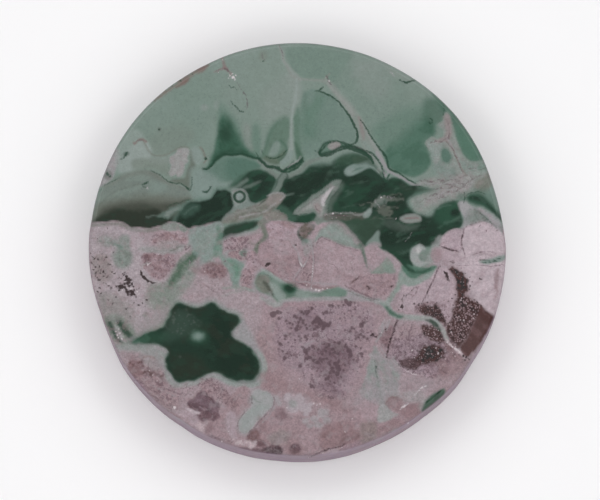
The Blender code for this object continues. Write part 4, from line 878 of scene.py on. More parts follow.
    # strip C-D and clast D
    c.patch("pink>clay:0.4", [(301, 250, 1.4), (308, 244, 1.6), (315, 243, 1.6), (316, 256, 1.6), (314, 270, 1.4), (313, 284, 1.4), (304, 283, 1.4), (299, 275, 1.4), (303, 266, 1.2)], strength=0.9, detail=(0, 0.45, 0), kind="matrix", fabric=(0, 0.2, 0.3))
    c.patch("pearl>fog:0.5", [(303, 250), (308, 243), (315, 237), (320, 236), (316, 244), (311, 250), (306, 257)], soft=1.3, strength=0.75, kind="halo", rough=1.4, wave=5)
    clast_d = [(313.5, 258, 1.1), (314.5, 248, 1.1), (317.5, 240, 1.2), (321, 236, 1.2), (330, 240.5, 1.3), (342, 245.5, 1.3), (352, 248, 1.2), (359, 250.5, 1.1), (362.5, 258, 1.1), (365.5, 266, 1.1), (368, 273, 1.2), (363, 276, 1.2), (357, 282, 1.2), (350, 290, 1.2), (334, 283.5, 1.2), (322, 281.5, 1.2), (313, 280, 1.2), (312.8, 270, 1.2)]
    m = c.patch("pink>rose:0.3", clast_d, strength=0.97, detail=(0, 0.15, 0), kind="matrix")
    c.veil(m, "mauve", size=10, share=0.5, turn=30, stretch=1.8, seed=57)
    c.patch("rose>lilac:0.3", [(322, 242, 4), (336, 245, 4), (350, 251, 4), (358, 262, 4), (344, 272, 5), (326, 262, 5)], strength=0.5)
    # clast F with its brown ovals
    clast_f = [(349, 290), (357, 282), (363, 276), (372, 273.5), (385, 273), (396.5, 273), (400, 280), (396, 290), (390, 299), (380, 299.5), (368, 297), (358, 294)]
    m = c.patch("pink>mauve:0.45", clast_f, soft=1.1, strength=0.96, detail=(0, 0.3, 0), kind="matrix", rough=1.3)
    c.veil(m, "clay", size=6, share=0.5, turn=-30, stretch=1.8, seed=58)
    for x, y, rx, ry, turn in ((368, 287.5, 2.4, 3.2, 20), (390, 286.5, 3.0, 1.2, -10), (377, 281, 1.4, 1.0, 0), (384, 293, 1.2, 0.9, 0)):
        c.blob("russet>ember:0.3", x, y, rx, ry, turn=turn, soft=0.9, strength=0.6, rough=1.6, wave=3)
    c.vein("russet>ember:0.3", [(350, 283.5, 1.0), (355, 280, 1.8), (359, 276, 1.2)], soft=0.8, strength=0.75, rough=1.2)
    # the grey triangle between them, and clast E on top
    c.patch("haze>olive:0.2", [(371, 273.2), (377, 267), (384, 260), (388, 256), (392, 260), (394.5, 268), (396, 272.5), (385, 273.5)], soft=1.1, strength=0.92, kind="halo", rough=1.2)
    c.patch("haze>sage:0.5", [(378, 271.5), (385, 265), (390, 266), (392, 271.5), (385, 272.5)], soft=1.6, strength=0.5)
    c.vein("flame>moss:0.4", [(360, 245, 4), (363, 251, 3.6), (365.5, 260, 2.6), (367, 268, 1.2)], soft=1.1, strength=0.85, rough=1.4, wave=5, kind="halo")
    c.vein("haze>stone:0.4", [(363.5, 247, 1.2), (366, 256, 1.4), (369, 266, 1.6), (371, 271, 1.2)], soft=1.0, strength=0.7)
    c.patch("pink>rose:0.4", [(365.5, 248), (370, 245), (376, 245), (380, 249), (385, 254), (378, 260), (372, 265), (368.5, 269.5), (366.5, 258)], soft=1.0, strength=0.95, kind="matrix", rough=1.2)
    c.patch("rose>fog:0.4", [(383, 252, 1.2), (387, 252.5, 1.2), (393, 256, 1.2), (399, 261, 1.2), (403, 267, 1.2), (399, 273, 1.6), (395, 269, 1.2), (391, 261, 1.2), (386, 256, 1.2)], strength=0.9, kind="halo", rough=2.4, wave=4)
    c.patch("haze>mint:0.4", [(366, 246), (368.5, 241.5), (374, 235), (378, 230.5), (380, 233), (379, 238.5), (381.5, 246), (375, 244.5)], soft=1.2, strength=0.85)
    c.patch("pink>fog:0.4", [(368, 245.5), (373, 242), (379, 242.5), (381, 246), (374, 246)], soft=1.1, strength=0.7)
    edge = [(316, 240, 1.6), (320, 231, 2), (328, 225, 3.4), (337, 222, 5), (346, 229, 6), (353, 237, 5), (359, 245, 3), (362, 250, 1.6), (352, 247.5, 1.3), (341, 244, 1.3), (330, 239.5, 1.3), (321, 237, 1.3)]
    c.patch("haze>stone:0.3", edge, strength=0.9, rough=1.8, kind="halo")
    c.patch("milk>mint:0.4", [(316, 238, 2), (321, 230, 3), (330, 226, 4), (340, 230, 5), (350, 240, 4), (356, 246, 2), (344, 242, 2), (332, 238, 2), (322, 236, 2)], strength=0.65, kind="halo")
    # white-mint ring and the green lobe under the far dark tail
    c.patch("milk>silver:0.4", [(410.5, 256), (412, 250), (416, 245.5), (420, 244), (424.5, 247), (426, 251), (428, 258), (427, 263), (420, 266.5), (414, 264.5), (411, 260)], soft=1.1, strength=0.97, kind="halo")
    c.patch("sage>stone:0.4", [(419.5, 252), (424, 249.5), (430, 251), (431.5, 257), (428, 261.5), (422, 261), (419, 257)], soft=1.2, strength=0.9, kind="halo", rough=1.4)
    c.blob("white>milk:0.5", 418.4, 250, 2.6, 3.4, turn=15, soft=1.0, strength=0.9)
    c.patch("milk>sage:0.4", [(398, 278, 1.6), (401, 270, 1.6), (405, 268, 1.4), (412, 274, 1.4), (420, 277, 1.3), (430, 270, 1.4), (436, 268, 1.6), (432, 275, 1.6), (426, 280, 1.5), (418, 284, 1.4), (410, 287, 1.5), (403, 284, 1.6)], strength=0.95, kind="halo", rough=1.4)
    m = c.patch("fresh>jade:0.2", [(401, 266), (407, 264), (414, 267), (424, 267.5), (435, 265.5), (437, 268), (430, 272), (424, 275), (416, 278), (409, 277), (403, 272)], soft=1.4, strength=0.95, kind="green", rough=1.4)
    c.vein("deep>flame:0.4", [(402, 262, 2), (407, 268, 3), (413, 272, 3), (421, 272, 3), (430, 269, 2)], soft=1.3, strength=0.8, rough=1.4, wave=5)
    c.patch("pearl>fog:0.4", [(425, 262, 1.6), (430, 250, 2), (436, 238, 2), (441, 235, 1.6), (442, 244, 2), (438, 254, 2), (432, 263, 1.6)], strength=0.7, kind="halo", rough=1.8, wave=5)
    c.vein("deep>black:0.3", [(392, 252, 4), (398, 257, 4), (404, 263, 4), (409, 268, 3), (413, 271, 2)], soft=1.6, strength=0.8, rough=1.6, wave=5)


def draw_green_seam(c):
    """The seam that crosses the lower half: green, with dark cores and pale rims."""
    c.patch("fog", [(254, 276, 2), (262, 267, 1.6), (270, 272, 1.5), (280, 279, 1.4), (290, 285, 1.4), (298, 287.5, 1.4), (310, 289, 1.4), (322, 289, 1.4), (334, 285.5, 1.4), (346, 288, 1.4), (356, 292, 1.6), (368, 297, 1.6), (382, 299, 1.6), (386, 303, 1.6), (370, 302, 1.4), (350, 300.5, 1.2), (322, 301, 1.2), (300, 301.5, 1.2), (288, 302, 1.4), (280, 306, 1.6), (272, 304, 2), (262, 296, 2), (252, 290, 2)], strength=0.85, kind="halo", rough=1.4)
    green = c.patch("haze>sage:0.6", [(260, 272, 1.8), (266, 270.5, 1.6), (275, 276.5, 1.5), (284, 282, 1.4), (292, 286.5, 1.4), (300, 289.5, 1.4), (310, 291.5, 1.4), (320, 291.5, 1.4), (328, 288, 1.4), (335, 286.5, 1.4), (346, 290, 1.6), (346, 296, 1.4), (334, 297, 1.4), (320, 297, 1.4), (305, 297, 1.5), (292, 297.5, 1.6), (284, 300, 1.8), (278, 302, 1.8), (271, 296, 2), (262, 292, 2), (256, 288, 2), (255, 280, 2)], strength=0.97, rough=1.5, kind="green", sink=0.1)
    c.veil(green, "moss", size=5, share=0.45, turn=25, stretch=2.2, seed=61)
    c.vein("milk", [(262, 269.5, 2), (270, 274, 3), (278, 279.5, 3), (286, 284, 2)], soft=1.0, strength=0.75, rough=1.0)
    c.patch("olive", [(256, 279), (262, 275), (268, 277), (271, 284), (273, 292), (266, 293), (260, 289), (256, 285)], soft=1.8, strength=0.85, rough=2, kind="halo")
    c.vein("umber>olive:0.3", [(264, 282, 2.4), (268, 286.5, 4.0), (272.5, 294, 2.6)], soft=1.3, strength=0.85, rough=1.4, wave=4)
    c.patch("milk>haze:0.4", [(269, 284), (274, 283), (281, 288), (286, 294), (284, 300), (278, 300), (273, 293)], soft=1.5, strength=0.85, rough=1.6)
    c.blob("flame>green:0.2", 289.5, 288.5, 9, 6, turn=15, soft=3, strength=0.85, rough=1.6)
    c.blob("deep", 289.5, 288.2, 6.0, 4.4, turn=12, soft=1.6, strength=0.97, rough=1.4)
    c.blob("black", 289.5, 288.2, 3.6, 2.4, turn=12, soft=1.4, strength=0.7)
    c.patch("milk>haze:0.3", [(298, 290, 2), (306, 291.5, 2.4), (316, 293, 2.4), (318, 297, 1.6), (304, 298, 1.6), (296, 296, 2)], strength=0.6)
    c.patch("green>haze:0.4", [(331, 288), (337, 286.8), (344, 289.5), (345, 295.5), (336, 296.4), (330, 294)], soft=1.3, strength=0.85, rough=1.4)
    c.blob("stone>green:0.4", 318, 294, 6, 2.2, soft=1.4, strength=0.6, rough=1.6)
    c.vein("pearl>silver:0.4", [(280, 301, 1.8), (290, 299.6, 1.8), (304, 299.2, 2.2), (320, 299, 2.2), (336, 298.4, 2.0), (350, 299.6, 1.6)], soft=0.8, strength=0.8, rough=1.2, kind="halo")
    c.vein("russet>clay:0.3", [(297, 280.5, 1.2), (303, 284, 1.6), (311, 286, 2.4), (320, 288, 3.0), (329, 287.6, 2.4), (338, 285.4, 1.4)], soft=1.0, strength=0.85, rough=1.4, wave=4, kind="matrix")
    c.patch("pink>mauve:0.4", [(281, 304.5), (288, 302, ), (300, 301.5), (318, 301.5), (340, 301), (340, 305), (312, 306), (290, 307), (282, 308)], soft=1.5, strength=0.8, kind="matrix")
    # toward the left: faint strings
    c.vein("haze>ash:0.4", [(222, 296, 1.4), (234, 292, 2), (246, 290, 2), (256, 288, 2.4)], soft=1.4, strength=0.55, rough=2)
    c.vein("pearl>silver:0.3", [(261, 297, 2.5), (267, 301, 4), (274, 305, 5), (281, 303.5, 3)], soft=1.2, strength=0.85, kind="halo", rough=1.8, wave=5)
    c.vein("pearl>silver:0.4", [(270, 292, 1.4), (272, 298, 2.4), (276, 303, 2)], soft=1.0, strength=0.6, rough=1.6, wave=4)
    # right-hand seams V1 to V3
    c.vein("fog>haze:0.5", [(348, 291, 2), (360, 296, 2.6), (370, 299.5, 3), (379, 301, 4)], soft=1.2, strength=0.75, kind="halo")
    c.vein("silver>cream:0.45", [(376, 302, 4), (383, 303, 6), (388, 307, 7), (391, 312, 7), (397, 315.5, 6.6), (404, 317, 6.4), (413, 317.5, 6.4), (422, 318.5, 6.2), (430, 320, 6), (436, 323, 5.4), (441, 328, 4.8), (444, 334, 4.0), (447, 341, 3.6)], soft=1.0, strength=0.97, kind="halo", sink=0.0, detail=(0, 0, 0), rough=1.2, wave=5)
    c.vein("pearl>milk:0.5", [(400, 316.5, 3), (410, 317, 3.4), (420, 317.8, 3.4), (428, 318, 2.6)], soft=1.0, strength=0.8, rough=1.2)
    c.vein("mint>sage:0.4", [(381, 303, 2), (387, 307, 4), (392, 313, 4.4), (400, 317.5, 3)], soft=1.4, strength=0.7, kind="green")
    c.vein("flame>green:0.35", [(384.5, 305, 1.6), (387.5, 309, 3.6), (391, 312.6, 4), (396, 315.4, 4), (402, 316.6, 2.4)], soft=1.4, strength=0.88, rough=1.8, wave=4)
    c.vein("umber>flame:0.35", [(426, 319.6, 2), (431, 321.2, 4.6), (436, 325.4, 4.6), (440, 330, 2)], soft=1.1, strength=0.92, rough=1.2, wave=4)
    c.vein("milk", [(428, 317.4, 1.2), (434, 319.4, 1.4), (439, 323.6, 1.4)], soft=0.8, strength=0.75)
    c.vein("cream>silver:0.3", [(440, 324, 1.4), (443, 329, 2.4), (445.5, 335, 2.8), (448, 341, 2.8)], soft=0.8, strength=0.85, rough=1.0)
    c.vein("bone", [(446, 339.5, 1.6), (450, 344.4, 2.6), (454.6, 348, 3.0), (458.5, 351, 3.4), (461.4, 354, 2.6)], soft=0.8, strength=0.95, kind="matrix", rough=1.6, wave=3)
    c.vein("haze>milk:0.5", [(386, 303, 5), (391, 297, 5.4), (396, 290, 5.6), (400, 283, 6), (404, 277, 7)], soft=1.5, strength=0.88, kind="halo", rough=1.4)
    c.vein("sage>haze:0.4", [(390, 300, 2), (395, 292, 2.4), (400, 284, 2.4), (404, 279, 3)], soft=1.6, strength=0.5)


def draw_plum(c):
    """The big speckled plum clast."""
    m = c.patch("plum>lilac:0.38", [(284, 308, 4), (298, 304, 3), (316, 302, 3), (336, 301, 3), (352, 302, 4), (368, 308, 5), (374, 322, 5), (370, 340, 6), (362, 362, 7), (350, 384, 7), (336, 396, 6), (322, 396, 6), (312, 384, 8), (300, 374, 8), (284, 362, 8), (275, 344, 7), (276, 326, 5), (280, 316, 4)], strength=0.8, kind="matrix", detail=(0, 0.55, 0), rough=4, wave=16)
    c.veil(m, "pink", size=9, share=0.45, turn=-20, stretch=1.5, seed=71)
    c.patch("pink>clay:0.3", [(282, 305, 3), (296, 302, 2.5), (312, 302, 2.5), (314, 309, 3), (300, 311, 4), (286, 312, 4)], strength=0.6, detail=(0, 0.3, 0))
    c.patch("plum>damson:0.2", [(290, 318, 4), (300, 310, 4), (312, 308, 4), (320, 316, 4), (316, 326, 5), (304, 334, 5), (290, 334, 5)], strength=0.5, rough=4)
    c.patch("damson>plum:0.5", [(318, 344, 4), (326, 340, 4), (340, 341, 4), (346, 350, 4), (342, 358, 4), (330, 357, 4), (320, 352, 4)], strength=0.7, rough=4, wave=7)
    c.patch("damson>plum:0.35", [(306, 352, 4), (322, 346, 5), (342, 344, 5), (354, 354, 5), (348, 370, 5), (338, 384, 5), (326, 380, 5), (314, 364, 5)], strength=0.72, rough=4)
    c.patch("plum>damson:0.3", [(318, 382, 3), (332, 384, 4), (346, 392, 4), (336, 398, 3), (322, 392, 4)], strength=0.5, rough=3)
    c.patch("olive>plum:0.6", [(336, 342, 3), (342, 344, 3), (342, 350, 3), (335, 349, 3)], strength=0.5, rough=2)
    m = c.patch("damson>coffee:0.2", [(312, 320), (316, 316), (321, 318), (325, 322), (331, 322.5), (331, 327), (324, 329.5), (317, 327), (311, 326)], soft=1.8, strength=0.5, rough=3.6, wave=3.5)
    # dark spots, many of them run together
    spots = (
        (273.1, 314.1, 3.3), (277.7, 312, 2.2), (279.1, 318.1, 1.5), (281, 312.7, 1.2), (294.4, 315.6, 1.4), (296.3, 317.7, 1.2), (301.3, 312, 1.6), (303.7, 313.4, 1.6), (305.6, 311.3, 1.5), (308.4, 311.3, 1.8), (312, 308.4, 1.7), (307, 313.4, 1.3),
        (300.6, 319.1, 1.6), (303.4, 320.6, 1.6), (302.7, 322.7, 1.6), (298.4, 322, 1.5), (289.9, 322.7, 1.4), (286.3, 320.6, 1.2), (292.7, 324.1, 1.1), (297.7, 325.6, 2.0), (296.3, 329.1, 2.4), (300.6, 327, 1.4), (291.3, 327.7, 1.2), (305.6, 324.9, 1.2), (307, 328.4, 1.3),
        (317.7, 319.1, 3.2), (314.9, 321.3, 2.2), (320.6, 322.7, 2.8), (324.1, 324.1, 2.8), (327.7, 324.9, 2.4), (329.9, 322.7, 1.3), (323.4, 327.7, 2.2), (314.1, 329.1, 1.4), (317.7, 327, 1.7), (312.7, 322.7, 1.4), (309.9, 325.6, 1.0),
        (326.3, 312, 2.2), (323.4, 313.4, 1.4), (329.9, 305.6, 1.8), (332.7, 305.9, 1.3), (338.4, 305.6, 1.1), (346.3, 301.3, 2.2), (349.1, 304.1, 2.2), (344.9, 299.9, 1.3), (350.6, 302, 1.4), (354.9, 309.1, 1.2), (343.4, 304.9, 1.0), (354.9, 302.7, 0.9),
        (361.3, 324.9, 2.6), (363.4, 322.7, 1.5), (366.3, 321.3, 0.9), (352, 327.7, 1.7), (349.9, 331.3, 1.4), (344.9, 329.9, 1.2), (354.5, 329, 1.1), (360.6, 334.1, 1.6), (363.4, 336.3, 1.6), (367, 338.4, 1.3), (372.7, 334.9, 1.7), (376.3, 336.6, 0.9), (355.6, 338.4, 1.1), (358.5, 337, 1.0),
        (305.6, 336.3, 1.7), (307, 338.4, 1.2), (285.6, 335.6, 1.7), (284.9, 338.4, 1.1), (289.9, 333.4, 1.1), (294.9, 339.9, 1.2), (279.9, 343.4, 1.7), (281.3, 344.9, 1.2), (278, 341, 1.0), (299.1, 336.3, 1.0), (301.3, 338.4, 0.9), (302, 346.3, 1.1), (282.7, 350.6, 1.2), (284.9, 357.7, 2.0), (287, 353.4, 1.1), (291.3, 354.9, 1.0), (279, 349, 0.9),
        (305.6, 350.6, 2.4), (309.1, 348.4, 2.0), (312.7, 346.3, 1.6), (314.1, 348.4, 1.2), (307, 353.4, 1.4), (304, 347.8, 1.2), (306.3, 358.4, 1.8), (309.1, 357, 1.8), (313.4, 359.9, 1.8), (317, 362, 1.8), (319.9, 358.4, 1.4), (323.4, 359.1, 1.4), (321.3, 361.3, 1.3), (327, 358.4, 1.3), (311, 357.6, 1.2),
        (318.4, 349.1, 1.3), (325.6, 350.6, 1.5), (329.9, 353.4, 1.5), (337.7, 353.4, 1.7), (339.1, 342.7, 1.7), (329.1, 344.9, 1.4), (332.7, 349.1, 1.5), (334.9, 352, 1.4), (324, 343.8, 1.1), (334.6, 342, 1.2), (322, 354, 1.2), (326.4, 347, 1.1),
        (349.1, 350.6, 2.7), (347, 347, 1.6), (350.6, 354.1, 2.2), (344.9, 346.3, 1.1), (353.4, 359.1, 1.4), (349.1, 357.7, 1.3), (346, 343.6, 1.0), (361.3, 353.4, 1.8), (362, 356.3, 1.2), (360.6, 347.7, 0.9), (366, 351, 0.8),
        (337.7, 366.3, 2.7), (336.3, 363.4, 2.2), (332, 367.7, 1.8), (339.1, 369.1, 1.8), (337, 373.4, 2.2), (329.9, 372, 1.6), (333.4, 371.3, 1.6), (338.4, 360.6, 1.6), (343.4, 369.9, 1.1), (329.9, 364.1, 1.4), (334.1, 362.7, 1.4), (341, 376, 1.0), (345, 365, 0.9), (327.7, 377.7, 1.8), (325.6, 378.4, 1.4), (334.1, 382, 1.2), (330, 381, 0.9),
        (299.9, 365.6, 1.6), (301.3, 363.4, 1.0), (304.1, 374.9, 0.9), (311.3, 385.6, 1.9), (309.9, 383.4, 1.2), (314, 387, 1.0), (317, 367, 0.9), (321, 371, 0.8), (312, 374, 0.8), (292, 346, 0.9), (288, 342, 0.8), (313, 336, 0.9), (318, 334, 0.9), (334, 330, 1.0), (340, 318, 0.9), (352, 316, 0.9), (356, 346, 0.9),
    )
    for x, y, r in spots:
        c.fleck("spot", x, y, r * 0.92, rough=1.0, wave=2.4)
    for line in (
        [(317, 383.4, 0.2), (321, 384.2, 1.0), (327, 385.6, 0.6), (331, 385, 0.2)], [(321, 390.4, 0.2), (326, 391, 1.1), (332, 390.6, 0.8), (336, 389.4, 0.3)], [(324, 395.4, 0.3), (329, 396.6, 1.2), (334, 396.4, 0.9), (337, 394.6, 0.2)],
        [(337, 389.4, 0.2), (341, 391.4, 0.9), (345, 394.6, 0.6), (347, 397, 0.1)], [(314, 356.6, 0.4), (318, 359.6, 1.0), (325, 358.2, 1.0), (330, 360.6, 0.4)],
    ):
        c.stroke("spot", line, rough=3.0, wave=2.6)
    # warmer margin, and pale threads that cross it
    c.patch("pink>mauve:0.5", [(350, 312, 5), (366, 316, 5), (370, 330, 5), (358, 330, 5), (346, 326, 5), (338, 314, 5)], strength=0.3, rough=3)
    c.patch("mauve>pink:0.5", [(356, 340, 5), (370, 336, 5), (372, 356, 5), (362, 370, 5), (356, 356, 5)], strength=0.4, rough=3)


def draw_brown(c):
    """The dark brown ironstone at the right, part of it sandy."""
    c.patch("mauve>pink:0.3", [(384, 322, 4), (400, 324, 3), (418, 325, 3), (430, 332, 4), (428, 342, 4), (410, 346, 5), (394, 350, 5), (386, 340, 4)], strength=0.55, detail=(0, 0.5, 0.0))
    c.patch("plum>lilac:0.35", [(390, 344, 4), (408, 336, 4), (424, 336, 3), (448, 344, 3), (456, 354, 4), (450, 368, 4), (432, 376, 4), (410, 374, 4), (394, 364, 4), (386, 354, 4)], strength=0.8, detail=(0.1, 0.9, 0.45), rough=3)
    c.patch("russet>plum:0.3", [(377, 336, 1.6), (383, 330, 1.6), (386, 326, 1.6), (393, 326, 1.6), (392, 336, 1.6), (390, 346, 1.6), (385, 348, 2), (379, 341, 2)], strength=0.85, detail=(0.1, 0.6, 0.3), rough=2, wave=5)
    c.patch("clay>russet:0.3", [(430, 362, 4), (446, 356, 3), (462, 357, 3), (470, 360, 3), (462, 370, 4), (446, 378, 5), (430, 376, 5), (424, 370, 4)], strength=0.6, detail=(0.1, 0.4, 0.05), rough=3)
    # upper tail: black-brown, ragged
    tail = [(449, 268), (453, 267.5), (457, 270), (462, 272), (465, 276.5), (468, 280), (467, 286), (468, 291), (465, 294), (468, 298), (474, 301.5), (479, 304.5), (484, 309), (478, 312), (468, 310), (460, 308), (456, 304), (457.5, 298), (457, 290), (457, 284), (455, 278), (452, 273)]
    c.patch("russet>ember:0.4", tail, soft=1.8, grow=1.2, rough=2.6, wave=4, strength=0.45)
    m = c.patch("ember>coffee:0.6", tail, soft=1.0, rough=2.6, wave=4, strength=0.97, kind="brown", detail=(0.2, 0, 1.0), sink=0.6)
    c.veil(m, "night", size=3, share=0.8, turn=60, stretch=1.6, seed=81, lo=-0.05, hi=0.15)
    # sandy middle
    m = c.patch("coffee>brown:0.45", [(457, 299), (466, 297), (474, 301), (480, 305), (482, 310), (477, 318), (472, 326), (468, 335), (463, 342), (459, 348), (455, 344), (449, 338), (445.5, 331), (447, 324), (451, 318), (452, 311), (455, 304)], soft=1.3, rough=2.4, wave=5, strength=0.97, kind="brown", detail=(1.0, 0, 0.7), sink=0.9)
    c.veil(m, "night", size=5, share=0.45, turn=60, stretch=1.4, seed=82, lo=0.0, hi=0.25)
    # solid right part
    solid = [(480, 306), (484, 309.5), (489, 313), (494.5, 318), (493.5, 323), (489.5, 329), (484, 338), (478, 346), (472, 352.5), (467, 356.5), (461.5, 352), (460, 347), (464, 341), (468, 335), (471, 328), (474, 322), (478, 313)]
    m = c.patch("ember>brown:0.6", solid, soft=1.2, rough=1.6, wave=5, strength=0.97, kind="brown", detail=(0, 0, 0.1), sink=0.6)
    c.patch("coffee>ember:0.4", [(481, 308), (488, 312), (494, 318), (491, 323), (484, 321), (479, 315)], soft=2.4, strength=0.6)
    c.veil(m, "russet", size=5, share=0.3, turn=55, stretch=1.8, seed=83, lo=0.08, hi=0.3)
    c.patch("lilac>pink:0.4", [(441, 309), (445.5, 305.5), (449.5, 309.5), (452, 314), (450, 320), (445.5, 321.5), (442, 316)], soft=1.1, rough=1.8, wave=4, strength=0.97, kind="matrix", detail=(0, 0.5, 0.3), sink=0.3)
    # left of the seam
    left = [(419, 306), (424, 303.5), (430, 306), (434, 305), (439, 307), (442, 313), (445, 319), (446, 325), (443, 324.5), (438, 320), (432, 317), (425, 315.5), (420, 312), (418.5, 309)]
    m = c.patch("coffee>brown:0.4", left, soft=1.1, rough=2.6, wave=4, strength=0.95, kind="brown", detail=(0.4, 0, 1.0), sink=0.6)
    c.veil(m, "night", size=3, share=0.7, turn=20, stretch=1.5, seed=84)
    c.patch("russet>plum:0.4", [(414, 308), (419, 303), (428, 301), (438, 303), (446, 304), (440, 307), (430, 304), (420, 308), (418, 314), (414, 312)], soft=1.5, rough=2.6, wave=4, strength=0.6, detail=(0.4, 0.6, 0.7))
    lower = [(421, 325), (428, 325.5), (434, 327.5), (440, 331), (444, 337), (446, 342), (438, 341.5), (431, 340), (425, 336), (421.5, 331)]
    m = c.patch("coffee>brown:0.35", lower, soft=1.3, rough=2.8, wave=4, strength=0.95, kind="brown", detail=(0.75, 0, 1.0), sink=0.6)
    c.veil(m, "night", size=3.4, share=0.7, turn=30, stretch=1.5, seed=85)
    m = c.patch("brown>plum:0.3", [(440, 325), (446, 332), (452, 341), (457, 348), (448, 350), (443, 343), (441, 335)], soft=1.3, rough=2.4, wave=4, strength=0.85, kind="brown", detail=(0.8, 0, 0.8), sink=0.6)
    # two more masses under it, broken into specks at their edges
    m = c.patch("coffee>brown:0.4", [(414, 358), (418, 350), (424, 345.5), (432, 344), (438, 343.5), (442, 347), (444, 353), (441, 358), (436, 361.5), (428, 363), (420, 365)], soft=1.6, rough=3.6, wave=3.5, strength=0.97, kind="brown", detail=(0.36, 0, 1.0), sink=0.5)
    c.veil(m, "night", size=3.2, share=0.85, turn=-40, stretch=1.5, seed=86, lo=-0.05, hi=0.2)
    m = c.patch("brown>damson:0.4", [(400, 360), (406, 357), (413, 358), (420, 361), (419, 367), (411, 369), (403, 366.5), (399, 364)], soft=1.8, rough=3.4, wave=3.5, strength=0.9, kind="brown", detail=(0.25, 0, 1.0), sink=0.5)
    c.veil(m, "night", size=3, share=0.5, turn=10, stretch=1.6, seed=87)
    c.patch("plum>lilac:0.5", [(408, 349, 1.6), (416, 348, 1.6), (418, 354, 1.6), (412, 358, 1.6), (407, 355, 1.6)], strength=0.75, rough=2.4, wave=4, detail=(0, 0.9, 0.6))
    c.patch("plum>lilac:0.35", [(420, 366, 2), (430, 364, 2), (438, 367, 2), (435, 374, 2.4), (424, 375, 2.4)], strength=0.75, rough=2.4, wave=4, detail=(0.1, 1.0, 0.5))
    c.patch("plum>lilac:0.4", [(428, 341.4, 1.3), (436, 341.6, 1.3), (441, 345, 1.3), (434, 344.6, 1.3)], strength=0.6)
    c.patch("russet>clay:0.4", [(445, 343, 2), (452, 349, 2), (460, 354, 2), (462, 359, 2), (454, 360, 2), (447, 354, 2)], strength=0.7, rough=2.6, wave=4, detail=(0.8, 0.2, 0.6))
    c.patch("russet>ember:0.3", [(440, 360, 1.6), (446, 362, 1.6), (448, 370, 1.6), (442, 374, 1.6), (438, 367, 1.6)], strength=0.45, rough=2.6, wave=4, detail=(0.3, 0.4, 0.6))
    # lilac clasts toward the rim, a brown smear and a spot in them
    m = c.patch("lilac>white:0.24", [(458, 266, 2), (470, 266, 2), (486, 267, 2), (500, 265, 2), (504, 280, 2), (500, 300, 2), (492, 311, 2), (484, 306, 2), (476, 298, 2), (471, 288, 2), (468, 276, 2)], strength=0.75, kind="halo")
    c.veil(m, "pink", size=8, share=0.5, turn=-60, stretch=1.8, seed=88)
    c.vein("russet>clay:0.5", [(498, 269, 2), (496, 280, 3.4), (496.5, 290, 3), (494, 300, 1.6)], soft=1.5, strength=0.6, rough=2.4, wave=5)
    c.patch("fog", [(380, 326, 1.6), (386, 320, 1.6), (390, 321, 1.4), (386, 330, 1.4), (380, 336, 1.4), (376, 342, 1.4), (378, 334, 1.4)], strength=0.55, rough=1.6)
    # grey island beside it
    island = [(370, 354, 1.6), (374, 346, 1.6), (378, 349, 1.6), (381, 355, 1.6), (385, 357, 1.6), (392, 358, 3), (398, 364, 3), (400, 376, 3), (398, 390, 3), (394, 402, 3), (386, 406, 2), (380, 405, 2), (374, 400, 3), (364, 397, 3), (361, 389, 3), (364, 380, 1.6), (367, 366, 1.4)]
    m = c.patch("fog>haze:0.15", island, strength=0.82, rough=3.6, wave=5, kind="halo", detail=(0, 0.1, 0))
    c.veil(m, "haze>stone:0.3", size=5, share=0.6, turn=75, stretch=2.2, seed=89, lo=0.0, hi=0.25)
    c.veil(m, "pink>ash:0.4", size=4, share=0.55, turn=70, stretch=2.2, seed=90, lo=0.05, hi=0.28)
    c.patch("mint>haze:0.5", [(369.5, 361), (373, 357), (376, 362), (373, 372), (368, 378), (367, 370)], soft=1.6, strength=0.5, rough=2.4)
    c.vein("stone>bottle:0.2", [(376, 360, 1), (377, 368, 2), (376, 376, 1.6), (379, 384, 0.8)], soft=1.0, strength=0.45, rough=2.4, wave=4)
    c.patch("fog>ash:0.4", [(360, 388, 3), (372, 388, 3), (384, 394, 3), (376, 402, 3), (362, 398, 3)], strength=0.5, rough=2)
    c.patch("pearl>ash:0.4", [(398, 392, 3), (410, 390, 3), (424, 394, 3), (424, 402, 3), (412, 401, 3), (400, 400, 3)], strength=0.5, rough=2.4)


